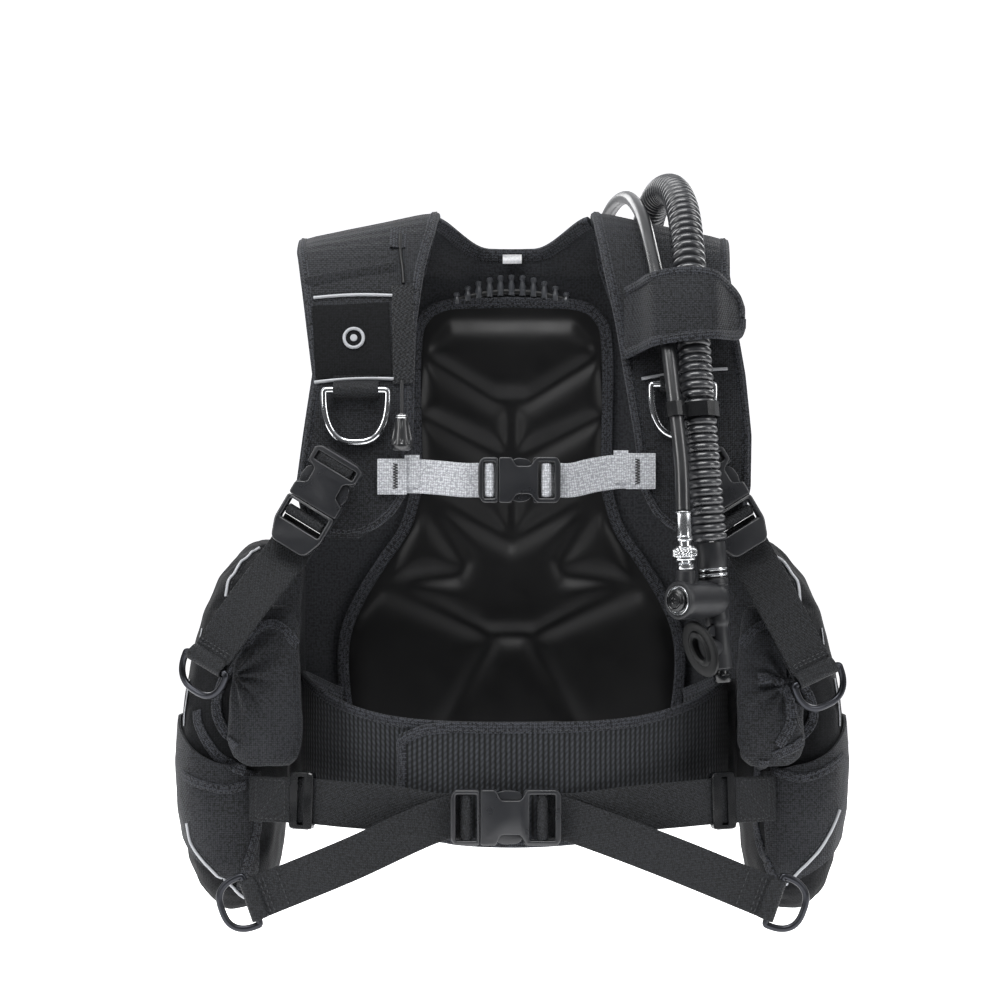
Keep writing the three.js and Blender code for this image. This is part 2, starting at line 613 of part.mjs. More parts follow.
// ---------------------------------------------------------------- chest strap and buckle
const chest = buckleSizes(CHEST_BUCKLE);
const chestOrigin = V(CHEST_BUCKLE.x, CHEST_BUCKLE.y, CHEST_BUCKLE.z);
piece("chest_buckle_female", femaleHalf(chest),
  MOULDING).applyMatrix4(frameAt(chestOrigin, V(1, 0, 0), V(0, -1, 0)));
piece("chest_buckle_male", maleHalf(chest),
  MOULDING).applyMatrix4(frameAt(chestOrigin, V(1, 0, 0), V(0, -1, 0)));
const CHEST_ANCHOR = { [RIGHT]: { x: -119, z: -232 }, [LEFT]: { x: 125, z: -228 } };
function chestStrap(side) {
  const middle = side === RIGHT ? -chest.frame / 2 - 2 : chest.housing + chest.frame / 2 - 2;
  const end = chestOrigin.x + middle;
  const anchor = CHEST_ANCHOR[side];
  const face = chestFront(anchor.z) - GAP - WEBBING.thick / 2;
  const front = chestOrigin.y - chest.thick / 2 - 1.4;
  return webbing(
    [
      V(anchor.x, face, anchor.z),
      V(anchor.x - side * 22, face - 0.6, anchor.z),
      V(anchor.x - side * 44, face - 8, lerp(anchor.z, chestOrigin.z, 0.4)),
      V(end + side * 16, front, chestOrigin.z),
      V(end - side * 3, front, chestOrigin.z),
    ],
    () => V(0, 0, 1),
    WEBBING.chest,
    10,
  );
}
for (const side of [RIGHT, LEFT]) piece(named("chest_strap", side), chestStrap(side), GREY_STRAPPING);

// ---------------------------------------------------------------- shoulder buckles, their webbing and pull rings
const shoulder = buckleSizes(SHOULDER_BUCKLE);
const SHOULDER_SET = {
  [RIGHT]: { joint: V(-175, -125, -258), along: V(-0.51, 0.05, -0.86), ring: V(-266, -146, -394) },
  [LEFT]: { joint: V(187, -125, -259), along: V(0.51, 0.05, -0.86), ring: V(264, -146, -405) },
};
for (const side of [RIGHT, LEFT]) {
  const set = SHOULDER_SET[side];
  const up = set.along.clone().negate();
  const out = V(side * 0.14, -0.98, 0.08);
  const frame = frameAt(set.joint, up, out);
  const across = V(0, 0, 0).setFromMatrixColumn(frame, 1);
  const face = V(0, 0, 0).setFromMatrixColumn(frame, 2);
  const local = (x, z) => set.joint.clone().addScaledVector(up.clone().normalize(),
    x).addScaledVector(face, z);
  piece(named("shoulder_buckle_female", side), femaleHalf({ ...shoulder, frame: 12 }, false),
    MOULDING).applyMatrix4(frame);
  piece(named("shoulder_buckle_male", side), maleHalf(shoulder, 0.24), MOULDING).applyMatrix4(frame);
  // A short loop of webbing, sewn to the shoulder strap, that the female half hangs from.
  const back = -shoulder.thick / 2 - WEBBING.thick / 2 - GAP;
  const sewn = local(shoulder.housing - 26, 0);
  sewn.y = chestFront(sewn.z - 10) - GAP - WEBBING.thick / 2;
  const flat = V(across.x, 0, across.z);
  piece(
    named("buckle_anchor", side),
    webbing(
      [sewn, local(shoulder.housing - 10, back - 4), local(shoulder.housing + 2, back),
      local(shoulder.housing + 9, back)],
      (t) => flat.clone().lerp(across, t),
      WEBBING.shoulder - 6,
      5,
    ),
    STRAPPING,
  );
  // The free end of the adjusting webbing, with its pull ring.
  const start = local(-shoulder.frame * 0.7, back - 1.3);
  const bar = V(side * -0.81, side * 0, 0.585).multiplyScalar(-side);
  const towards = set.ring.clone().sub(start).normalize();
  const endBar = bar.clone().addScaledVector(towards, -bar.dot(towards)).normalize();
  const startBar = across.dot(endBar) < 0 ? across.clone().negate() : across;
  const band = webbing(
    [start, local(-shoulder.frame - shoulder.lip, back - 1.3),
    start.clone().lerp(set.ring, 0.6).add(V(0, -8, 0)), set.ring],
    (t) => startBar.clone().lerp(endBar, t),
    WEBBING.shoulder,
    8,
  );
  const width = WEBBING.shoulder;
  const loop = rod(loopOuter, width, set.ring, endBar, LOOP_SIDES);
  piece(
    named("shoulder_webbing", side),
    cut(joined(band, loop), rod(loopBore, width + 2, set.ring, endBar, LOOP_SIDES)),
    STRAPPING,
  );
  pullRing(named("shoulder_ring", side), SHOULDER_RING, set.ring, endBar, V(0, 0, -1));
}

// ---------------------------------------------------------------- inflator: air hose, pressure hose and valve body
const AIR_ROUTE = [
  [128, 150, -70], [128, 128, -20], [131, 92, 14], [138, 46, 32], [147, -2, 32], [153, -50, 12],
  [156, -94, -32],
  [157, -122, -88], [160, -140, -146], [164, -149, -205], [168, -153, -255], [171, -154, -289],
];
const PRESSURE_ROUTE = [
  [146, -177, -262], [145, -171, -222], [139.5, -157, -165], [135, -141, -118], [130, -115, -72],
  [124, -76, -30],
  [117, -30, 8], [107, 16, 27], [96, 60, 24], [87, 102, 4], [82, 136, -34], [80, 153, -84], [79, 157, -140],
  [79, 158, -200], [79, 158, -262],
];
const routeOf = (points) => new THREE.CatmullRomCurve3(points.map((p) => V(...p)), false, "centripetal");
function tube(route, radius, steps, sides) {
  const section = new THREE.Shape();
  for (let i = 0; i <= sides; i += 1) {
    const angle = (i / sides) * 2 * Math.PI;
    if (i === 0) section.moveTo(radius, 0);
    else if (i < sides) section.lineTo(radius * Math.cos(angle), radius * Math.sin(angle));
  }
  section.closePath();
  return new THREE.ExtrudeGeometry(section, { steps, extrudePath: route, bevelEnabled: false });
}
const airRoute = routeOf(AIR_ROUTE);
const pressureRoute = routeOf(PRESSURE_ROUTE);
piece("air_hose", tube(airRoute, HOSE.air, 18, 10), SOFT_RUBBER);
piece("pressure_hose", tube(pressureRoute, HOSE.pressure, 24, 8), SOFT_RUBBER);

// Elbow that joins the air hose to the air cell behind the left shoulder.
const elbowAt = airRoute.getPointAt(0);
const elbowDown = airRoute.getTangentAt(0).negate();
const ELBOW = { radius: 19, socket: 16, flange: 30, z: -96 };
const elbowFace = restOnCell(elbowAt.x, ELBOW.z, ELBOW.flange);
piece(
  "hose_elbow",
  joined(
    turned([[0, GAP], [HOSE.air + 3, GAP], [HOSE.air + 3, 12], [ELBOW.radius, 16], [ELBOW.radius, 34],
      [0, 34]], elbowAt, elbowDown, 12),
    rod(ELBOW.socket, elbowAt.y - elbowFace, V(elbowAt.x, (elbowAt.y + elbowFace) / 2, ELBOW.z),
      V(0, 1, 0), 12),
    rod(ELBOW.flange, 4, V(elbowAt.x, elbowFace + 2, ELBOW.z), V(0, 1, 0), 16),
  ),
  MOULDING,
);

const bodyTop = airRoute.getPointAt(1);
const bodyAxis = airRoute.getTangentAt(1); // down the valve body
const onBody = (distance) => bodyTop.clone().addScaledVector(bodyAxis, distance);
const BUTTON = { radius: 10, proud: 5, bore: 10.6, depth: 12 };
const PORT = V(-0.72, -0.69, 0).normalize(); // the way the inflate button faces
const BARREL = { radius: 16.5, front: 48, back: 6, drop: 50 };
const barrelMiddle = onBody(BARREL.drop);
const barrelFace = barrelMiddle.clone().addScaledVector(PORT, BARREL.front);
const couplerFoot = V(pressureRoute.getPointAt(0).x + 2, pressureRoute.getPointAt(0).y - 3,
  barrelMiddle.z + 26);
const LOWER = { ring: 98, end: 112, radius: 9 };
const EXHAUST = { radius: 5.8, proud: 10 };
const MOUTH = { drop: 92, reach: 18, out: V(-0.6, -0.8, 0), neck: 10 };
const mouthAt = onBody(MOUTH.drop).addScaledVector(MOUTH.out, MOUTH.reach + MOUTH.neck + GAP);

function valveBody() {
  const main = turned(
    [[0, GAP], [13, GAP], [13, 20], [10.5, 24], [10.5, 62], [8.5, 66], [8.5, LOWER.ring],
    [LOWER.radius + 1, LOWER.ring + 1],
      [LOWER.radius + 1, LOWER.end], [0, LOWER.end]],
    bodyTop,
    bodyAxis,
    14,
  );
  const barrelPart = rod(BARREL.radius, BARREL.front + BARREL.back,
    barrelMiddle.clone().addScaledVector(PORT, (BARREL.front - BARREL.back) / 2), PORT, 16);
  const post = rod(8, 18, V(couplerFoot.x, couplerFoot.y, couplerFoot.z - 9 - GAP), V(0, 0, 1), 12);
  const arm = rod(8, MOUTH.reach, onBody(MOUTH.drop).addScaledVector(MOUTH.out, MOUTH.reach / 2),
    MOUTH.out, 12);
  const pocketHole = rod(BUTTON.bore, BUTTON.depth * 2, barrelFace, PORT, 16);
  const exhaustHole = rod(EXHAUST.radius + 0.6, 12, onBody(LOWER.end), bodyAxis, 14);
  return cut(joined(main, barrelPart, post, arm), pocketHole, exhaustHole);
}
piece("inflator_body", valveBody(), MOULDING);
piece(
  "inflate_button",
  turned([[0, -7], [8, -7], [BUTTON.radius, -6], [BUTTON.radius, BUTTON.proud - 1.5],
    [BUTTON.radius - 1.5, BUTTON.proud], [0, BUTTON.proud]], barrelFace, PORT, 16),
  MOULDING,
);
piece(
  "exhaust_button",
  turned([[0, -2], [EXHAUST.radius, -2], [EXHAUST.radius, EXHAUST.proud - 1],
    [EXHAUST.radius - 1, EXHAUST.proud], [0, EXHAUST.proud]], onBody(LOWER.end), bodyAxis, 14),
  MOULDING,
);

// Oval rubber mouthpiece on the end of the arm.
function mouthpiece() {
  const outline = new THREE.Shape();
  outline.absellipse(0, 0, 14.5, 25, 0, 2 * Math.PI);
  const flange = new THREE.ExtrudeGeometry(outline,
    { depth: 3, bevelThickness: 1, bevelSize: 1, bevelOffset: -1, bevelSegments: 1, curveSegments: 8 });
  const neck = new THREE.Shape();
  neck.absellipse(0, 0, 9.5, 15, 0, 2 * Math.PI);
  const stem = new THREE.ExtrudeGeometry(neck,
    { depth: 12, bevelEnabled: false, curveSegments: 6 }).translate(0, 0, -MOUTH.neck);
  const opening = new THREE.Shape();
  opening.absellipse(0, 0, 5, 11, 0, 2 * Math.PI);
  const hole = new THREE.ExtrudeGeometry(opening,
    { depth: 10, bevelEnabled: false, curveSegments: 6 }).translate(0, 0, -4);
  return cut(joined(flange, stem), hole);
}
const mouthFrame = frameAt(mouthAt, V(0.7, -0.525, 0.48), MOUTH.out);
piece("mouthpiece", mouthpiece(), SOFT_RUBBER).applyMatrix4(mouthFrame);

// Quick coupler between the pressure hose and the valve body.
const couplerAxis = pressureRoute.getPointAt(0).sub(couplerFoot).normalize();
const couplerLength = pressureRoute.getPointAt(0).distanceTo(couplerFoot) - 0.4;
const COLLAR = { inner: 6.2, outer: 10.5, from: 8, to: 20, travel: 4 };
piece(
  "coupler_stem",
  turned([[0, GAP], [5.5, GAP], [5.5, COLLAR.to + COLLAR.travel + GAP],
    [6.8, COLLAR.to + COLLAR.travel + GAP], [6.8, couplerLength - GAP], [0, couplerLength - GAP]],
    couplerFoot, couplerAxis, 12),
  STEEL,
);
piece(
  "coupler_collar",
  turned([[COLLAR.inner, COLLAR.from], [COLLAR.outer - 1, COLLAR.from], [COLLAR.outer, COLLAR.from + 1.5],
    [COLLAR.outer, COLLAR.to - 4], [8.5, COLLAR.to - 2],
    [8.5, COLLAR.to], [COLLAR.inner, COLLAR.to], [COLLAR.inner, COLLAR.from]], couplerFoot, couplerAxis,
    16),
  STEEL,
);
// Threaded end that screws into the regulator's first stage.
const hoseEnd = pressureRoute.getPointAt(1);
piece(
  "pressure_hose_fitting",
  turned([[0, GAP], [7.5, GAP], [7.5, 18], [9, 19], [9, 28], [4.7, 29], [4.7, 38], [0, 38]], hoseEnd,
    pressureRoute.getTangentAt(1), 12),
  STEEL,
);

// Clip that holds the two hoses side by side.
const CLIP = { z: -176, tall: 13, wall: 2, slack: 0.9 };
// The share along a route, between two shares, where it comes nearest to a height.
function shareAtHeight(route, z, from, to) {
  let best = from;
  for (let t = from; t <= to; t += 0.001) {
    if (Math.abs(route.getPointAt(t).z - z) < Math.abs(route.getPointAt(best).z - z)) best = t;
  }
  return best;
}
function hoseClip() {
  const share = shareAtHeight(airRoute, CLIP.z, 0.5, 1);
  const clipAir = airRoute.getPointAt(share);
  const other = pressureRoute.getPointAt(shareAtHeight(pressureRoute, CLIP.z, 0, 0.5));
  const axis = airRoute.getTangentAt(share);
  const otherAxis = pressureRoute.getTangentAt(shareAtHeight(pressureRoute, CLIP.z, 0, 0.5));
  const link = other.clone().lerp(clipAir, 0.35);
  return cut(
    joined(
      rod(HOSE.air + CLIP.slack + CLIP.wall, CLIP.tall, clipAir, axis, 14),
      rod(HOSE.pressure + CLIP.slack + CLIP.wall, CLIP.tall, other, otherAxis, 12),
      block(10, 10, CLIP.tall - 2, link),
    ),
    rod(HOSE.air + CLIP.slack, CLIP.tall + 6, clipAir, axis, 14),
    rod(HOSE.pressure + CLIP.slack, CLIP.tall + 6, other, otherAxis, 12),
  );
}
piece("hose_clip", hoseClip(), MOULDING);

// Flap of the shoulder strap that closes over both hoses with hook and loop.
const FLAP_ROWS = [
  [0, 99, 0, -66, -128], [0.16, 111, 17, -60, -123], [0.32, 124, 48, -54, -118], [0.52, 150, 54, -50, -114],
  [0.68, 174, 53, -52, -112], [0.84, 190, 30, -62, -112], [0.94, 200, 15, -72, -110],
  [1, 204, 10, -82, -102],
]; // share across, distance from the middle, height over the strap, top and bottom
const FLAP_THICK = 2.5;
function hoseFlap() {
  return slab(FLAP_ROWS.length - 1, 4, (u, v, w) => {
    const share = FLAP_ROWS[Math.round(u * (FLAP_ROWS.length - 1))][0];
    const [x, rise, top, bottom] = [1, 2, 3, 4].map((column) => between(FLAP_ROWS, share, column));
    const z = lerp(bottom, top, v);
    return V(x, chestFront(z) - GAP - rise - w * FLAP_THICK, z);
  });
}
piece("hose_flap", hoseFlap(), FABRIC);

// ---------------------------------------------------------------- dump valves and the shoulder pull
const dome = (r) => [[0, 0], [r, 0], [r, 5], [r * 0.86, 11], [r * 0.5, 14], [0, 14]];
const SHOULDER_VALVE = { x: -128, z: -100, radius: 25 };
const REAR_VALVE = { x: -128, z: -520, radius: 25 };
for (const [name, valve] of [["shoulder_dump_valve", SHOULDER_VALVE], ["rear_dump_valve", REAR_VALVE]]) {
  piece(name, turned(dome(valve.radius), V(valve.x, restOnCell(valve.x, valve.z, valve.radius), valve.z),
    V(0, 1, 0), 20), MOULDING);
}
const KNOB = { x: -97, z: -177, tall: 33, radius: 9.5, cord: 30 };
const knobY = chestFront(KNOB.z - KNOB.tall) - KNOB.radius - 0.4;
piece(
  "dump_knob",
  turned(
    [[0, 0], [6, 0], [KNOB.radius, 3], [KNOB.radius, 8], [5, KNOB.tall - 3], [4, KNOB.tall],
    [1.5, KNOB.tall], [1.5, KNOB.tall + KNOB.cord],
      [0, KNOB.tall + KNOB.cord]],
    V(KNOB.x, knobY, KNOB.z - KNOB.tall),
    V(0, 0, 1),
    12,
  ),
  SOFT_RUBBER,
);

// ---------------------------------------------------------------- tank backplate, band and carry handle
const plateFront = backY(0) + CELL_FACE + CELL + 0.5;
const PLATE = { half: 84, top: -120, bottom: -430, thick: 5, rail: 34, railWide: 16, railDeep: 16,
  bandZ: -330, slot: 72 };
const railFace = plateFront + PLATE.thick + PLATE.railDeep;
const upright = (shape, depth) =>
  new THREE.ExtrudeGeometry(shape, { depth, bevelEnabled: false, curveSegments: 4 }).rotateX(Math.PI / 2);
function tankPlate() {
  const { half, top, bottom } = PLATE;
  const outline = new THREE.Shape();
  const shoulderWidth = half * 0.62;
  outline.moveTo(-shoulderWidth, top);
  outline.quadraticCurveTo(-half, top, -half, top - 50);
  outline.lineTo(-half, bottom + 50);
  outline.quadraticCurveTo(-half, bottom, -shoulderWidth, bottom);
  outline.lineTo(shoulderWidth, bottom);
  outline.quadraticCurveTo(half, bottom, half, bottom + 50);
  outline.lineTo(half, top - 50);
  outline.quadraticCurveTo(half, top, shoulderWidth, top);
  outline.closePath();
  const sheet = upright(outline, PLATE.thick).translate(0, plateFront + PLATE.thick, 0);
  const rails = [-1, 1].map((s) =>
    block(PLATE.railWide, PLATE.railDeep + 1, top - bottom - 90,
      V(s * PLATE.rail, railFace - PLATE.railDeep / 2 - 0.5, (top + bottom) / 2)));
  const bandSlots = [-1, 1].map((s) => block(4.2, 30, WEBBING.tank + 4,
    V(s * (PLATE.slot + 0.4), plateFront, PLATE.bandZ)));
  const handleSlots = [-1, 1].map((s) => block(4.8, 30, WEBBING.handle + 10,
    V(s * 45.3, plateFront, top - 21)));
  const vents = [-1, 0, 1].map((i) => block(26, 30, 40, V(0, plateFront, (top + bottom) / 2 + i * 78)));
  return cut(joined(sheet, ...rails), ...bandSlots, ...handleSlots, ...vents);
}
piece("tank_backplate", tankPlate(), MOULDING);

const tankMiddle = railFace + GAP + Math.sqrt(TANK_RADIUS ** 2 - (PLATE.rail - PLATE.railWide / 2) ** 2);
function tankBand() {
  const radius = TANK_RADIUS + 1 + WEBBING.thick / 2;
  const start = Math.asin((PLATE.slot + 4) / radius) + 0.12;
  const points = [V(-PLATE.slot, plateFront + 1.5, PLATE.bandZ)];
  const turns = 12;
  for (let i = 0; i <= turns; i += 1) {
    const angle = lerp(-Math.PI + start, Math.PI - start, i / turns);
    points.push(V(radius * Math.sin(angle), tankMiddle + radius * Math.cos(angle), PLATE.bandZ));
  }
  points.push(V(PLATE.slot, plateFront + 1.5, PLATE.bandZ));
  return webbing(points, () => V(0, 0, 1), WEBBING.tank, 30);
}
piece("tank_band", tankBand(), STRAPPING);

const CAM = { wide: 60, tall: WEBBING.tank + 10, thick: 4, pin: 3, hub: 6, lever: 52 };
const camFace = tankMiddle + TANK_RADIUS + 1 + WEBBING.thick + 0.5;
const camPin = V(-22, camFace + CAM.thick + CAM.hub + GAP, PLATE.bandZ);
function camFrame() {
  const base = block(CAM.wide, CAM.thick, CAM.tall, V(0, camFace + CAM.thick / 2, PLATE.bandZ));
  const ears = [-1, 1].map((s) => block(14, 14, 4,
    V(camPin.x, camPin.y - 3, PLATE.bandZ + s * (CAM.tall / 2 - 2))));
  const pin = rod(CAM.pin, CAM.tall - 4, camPin, V(0, 0, 1), 12);
  return joined(base, ...ears, pin);
}
function camLever() {
  const tall = CAM.tall - 8 - 2 * GAP - 1;
  const hub = rod(CAM.hub, tall, camPin, V(0, 0, 1), 14);
  const arm = block(CAM.lever, 4, tall, V(camPin.x + CAM.lever / 2, camPin.y + 2.5, PLATE.bandZ));
  return cut(joined(hub, arm), rod(CAM.pin + 0.5, tall + 2, camPin, V(0, 0, 1), 12));
}
piece("cam_frame", camFrame(), MOULDING);
piece("cam_lever", camLever(), MOULDING);

function carryHandle() {
  const z = PLATE.top - 22;
  const y = plateFront + PLATE.thick;
  return webbing(
    [V(-45, plateFront + 0.2, z), V(-45, y + 10, z + 3), V(-26, y + 26, z + 10), V(0, y + 31, z + 12),
    V(26, y + 26, z + 10), V(45, y + 10, z + 3), V(45, plateFront + 0.2, z)],
    () => V(0, -0.15, 1),
    WEBBING.handle,
    14,
  );
}
piece("carry_handle", carryHandle(), STRAPPING);

export default vest;
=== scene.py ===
"""Looks of a scuba diver's buoyancy vest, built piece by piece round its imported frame.

Lengths are in millimetres unless a name ends in _m. +X is the wearer's left, +Y the wearer's back and +Z up.
The wearer's right side is the one at negative x.
"""
import json
import logging
import math
from collections.abc import Callable, Iterable, Sequence
from dataclasses import dataclass, field
from enum import Enum

import bmesh
import bpy
import numpy as np
from mathutils import Matrix, Vector, noise
from mathutils.bvhtree import BVHTree

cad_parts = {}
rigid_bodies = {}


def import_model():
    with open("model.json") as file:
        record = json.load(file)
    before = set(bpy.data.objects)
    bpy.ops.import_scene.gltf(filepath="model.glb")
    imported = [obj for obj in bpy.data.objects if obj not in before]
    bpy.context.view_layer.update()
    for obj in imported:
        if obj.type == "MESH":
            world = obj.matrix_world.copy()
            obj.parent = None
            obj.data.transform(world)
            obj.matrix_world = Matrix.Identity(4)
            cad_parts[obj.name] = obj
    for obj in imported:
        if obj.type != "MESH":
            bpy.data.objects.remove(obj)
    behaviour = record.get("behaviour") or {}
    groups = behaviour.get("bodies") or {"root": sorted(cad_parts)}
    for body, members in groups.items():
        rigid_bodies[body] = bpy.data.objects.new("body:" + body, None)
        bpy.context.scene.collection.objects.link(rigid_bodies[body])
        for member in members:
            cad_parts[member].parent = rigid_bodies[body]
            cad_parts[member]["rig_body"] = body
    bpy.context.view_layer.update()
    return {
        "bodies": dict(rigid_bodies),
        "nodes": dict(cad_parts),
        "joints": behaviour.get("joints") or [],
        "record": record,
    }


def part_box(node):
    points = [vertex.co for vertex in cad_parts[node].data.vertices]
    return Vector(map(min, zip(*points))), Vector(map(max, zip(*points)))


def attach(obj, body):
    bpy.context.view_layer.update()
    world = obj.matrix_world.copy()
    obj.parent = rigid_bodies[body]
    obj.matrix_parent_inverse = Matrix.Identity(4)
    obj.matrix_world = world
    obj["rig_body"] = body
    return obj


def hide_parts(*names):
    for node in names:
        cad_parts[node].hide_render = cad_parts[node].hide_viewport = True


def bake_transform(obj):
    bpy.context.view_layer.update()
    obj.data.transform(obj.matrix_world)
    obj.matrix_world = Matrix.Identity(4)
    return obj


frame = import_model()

log = logging.getLogger("vest")
MM = 0.001
NODES = frame["nodes"]
Point = Sequence[float]


class Side(Enum):
    """The wearer's sides."""

    RIGHT = -1
    LEFT = 1

    @property
    def tag(self) -> str:
        """The side's word in node names."""
        return self.name.lower()


# ------------------------------------------------------------------------------------------ lines and frames
def unit(v: Point) -> np.ndarray:
    """The vector at length one."""
    v = np.asarray(v, float)
    return v / max(float(np.linalg.norm(v)), 1e-9)


def between(rows: Sequence[Sequence[float]], key: float, column: int = 1) -> float:
    """A column's value at a key, read straight between rows whose first number is the key."""
    ordered = sorted(rows)
    return float(np.interp(key, [r[0] for r in ordered], [r[column] for r in ordered]))


def smooth_line(points: Sequence[Point], count: int) -> np.ndarray:
    """A centripetal Catmull-Rom line through points.

    Args:
        points: the points that it passes.
        count: how many points to return.

    Returns:
        Points evenly spaced along the line.
    """
    p = np.asarray(points, float)
    p = np.vstack([2 * p[0] - p[1], p, 2 * p[-1] - p[-2]])
    made = []
    for i in range(1, len(p) - 2):
        a, b, c, d = p[i - 1 : i + 3]
        gaps = [max(np.linalg.norm(n - m), 1e-6) ** 0.5 for m, n in ((a, b), (b, c), (c, d))]
        t1 = ((b - a) / gaps[0] - (c - a) / (gaps[0] + gaps[1]) + (c - b) / gaps[1]) * gaps[1]
        t2 = ((c - b) / gaps[1] - (d - b) / (gaps[1] + gaps[2]) + (d - c) / gaps[2]) * gaps[1]
        t = np.linspace(0, 1, 40)[: None if i == len(p) - 3 else -1, None]
        made.append(b + t1 * t + (3 * c - 3 * b - 2 * t1 - t2) * t**2 + (2 * b - 2 * c + t1 + t2) * t**3)
    return respaced(np.vstack(made), count)


def respaced(line: np.ndarray, count: int) -> np.ndarray:
    """The same line with count points evenly along it."""
    line = np.asarray(line, float)
    along = np.concatenate([[0], np.cumsum(np.linalg.norm(np.diff(line, axis=0), axis=1))])
    at = np.linspace(0, along[-1], count)
    return np.stack([np.interp(at, along, line[:, k]) for k in range(line.shape[1])], axis=1)


def length_of(line: np.ndarray) -> float:
    """How long a line is."""
    return float(np.linalg.norm(np.diff(line, axis=0), axis=1).sum())


def tangents(line: np.ndarray) -> np.ndarray:
    """The direction of a line at each of its points."""
    t = np.gradient(np.asarray(line, float), axis=0)
    return t / np.maximum(np.linalg.norm(t, axis=1, keepdims=True), 1e-9)


def carried_frames(line: np.ndarray) -> tuple[np.ndarray, np.ndarray]:
    """Two directions across a line that turn with it without twisting."""
    t = tangents(line)
    first = np.cross(t[0], (0, 0, 1) if abs(t[0][2]) < 0.9 else (1, 0, 0))
    across = [unit(first)]
    for i in range(1, len(line)):
        a = across[-1] - t[i] * float(across[-1] @ t[i])
        across.append(unit(a))
    across = np.array(across)
    return across, np.cross(t, across)


def frame_of(node: str) -> Matrix:
    """A node's box as a matrix: its middle, and half its sizes along the axes."""
    low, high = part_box(node)
    return Matrix.LocRotScale((low + high) / 2 / MM, None, (high - low) / 2 / MM)


# ------------------------------------------------------------------------------------------ finishes
def linear(code: str) -> tuple[float, float, float, float]:
    """The linear colour of an sRGB hex code."""
    parts = [int(code[i : i + 2], 16) / 255 for i in (1, 3, 5)]
    return (*[c / 12.92 if c <= 0.04045 else ((c + 0.055) / 1.055) ** 2.4 for c in parts], 1.0)


def add_node(
    tree: bpy.types.NodeTree,
    kind: str,
    settings: dict[str | int, object] | None = None,
    links: dict[str | int, tuple[bpy.types.Node, str | int]] | None = None,
) -> bpy.types.Node:
    """Adds a node with its settings and links.

    Args:
        tree: the node tree.
        kind: the node's type, without the ShaderNode before it.
        settings: values for its inputs or its own properties, in the order they are set.
        links: for an input, the node and output that feed it.

    Returns:
        The new node.
    """
    node = tree.nodes.new("ShaderNode" + kind)
    for key, value in (settings or {}).items():
        if isinstance(key, int) or key in node.inputs:
            node.inputs[key].default_value = value
        else:
            setattr(node, key, value)
    for key, (source, output) in (links or {}).items():
        tree.links.new(source.outputs[output], node.inputs[key])
    return node


class Lay(Enum):
    """How a cloth's threads lie on a piece."""

    ALONG = "along"  # with the strip's own length and width
    DRAPED = "draped"  # upright and level, on whichever way the surface faces


def thread_plane(tree: bpy.types.NodeTree, lay: Lay) -> bpy.types.Node:
    """A node whose first output gives the place on the cloth, in metres across and along.

    Args:
        tree: the node tree.
        lay: how the threads lie.

    Returns:
        The node.
    """
    place = add_node(tree, "TexCoord")
    if lay is Lay.ALONG:
        return add_node(tree, "VectorMath", {"operation": "SCALE", "Scale": 1.0}, {0: (place, "UV")})
    facing = add_node(tree, "SeparateXYZ", links={0: (add_node(tree, "NewGeometry"), "Normal")})
    at = add_node(tree, "SeparateXYZ", links={0: (place, "Object")})
    size = [add_node(tree, "Math", {"operation": "ABSOLUTE"}, {0: (facing, k)}) for k in range(3)]
    sideways = add_node(tree, "Math", {"operation": "GREATER_THAN"}, {0: (size[0], 0), 1: (size[1], 0)})
    level = add_node(tree, "Math", {"operation": "GREATER_THAN", 1: 0.8}, {0: (size[2], 0)})
    u = add_node(tree, "Mix", {"data_type": "FLOAT"}, {0: (sideways, 0), 2: (at, 0), 3: (at, 1)})
    v = add_node(tree, "Mix", {"data_type": "FLOAT"}, {0: (level, 0), 2: (at, 2), 3: (at, 1)})
    return add_node(tree, "CombineXYZ", links={0: (u, 0), 1: (v, 0)})


BANDS = 0.31416  # a wave texture repeats once in this length at scale 1


@dataclass(frozen=True)
class Finish:
    """One real material and its slot in the record; the kinds below add its surface."""

    name: str
    slot: str
    colour: str
    roughness: float

    def material(self) -> bpy.types.Material:
        """The Blender material, made the first time that it is asked for."""
        found = bpy.data.materials.get(self.name)
        if found:
            return found
        made = bpy.data.materials.new(self.name)
        made.use_nodes = True
        tree = made.node_tree
        shader = tree.nodes["Principled BSDF"]
        shader.inputs["Base Color"].default_value = linear(self.colour)
        shader.inputs["Roughness"].default_value = self.roughness
        self.surface(tree, shader)
        return made

    def surface(self, tree: bpy.types.NodeTree, shader: bpy.types.Node) -> None:
        """Adds the pattern; a plain finish has none."""


@dataclass(frozen=True)
class Glowing(Finish):
    """A white sheet lit from behind."""

    def surface(self, tree: bpy.types.NodeTree, shader: bpy.types.Node) -> None:
        """Lights the sheet evenly."""
        shader.inputs["Emission Color"].default_value = linear(self.colour)
        shader.inputs["Emission Strength"].default_value = 1.0


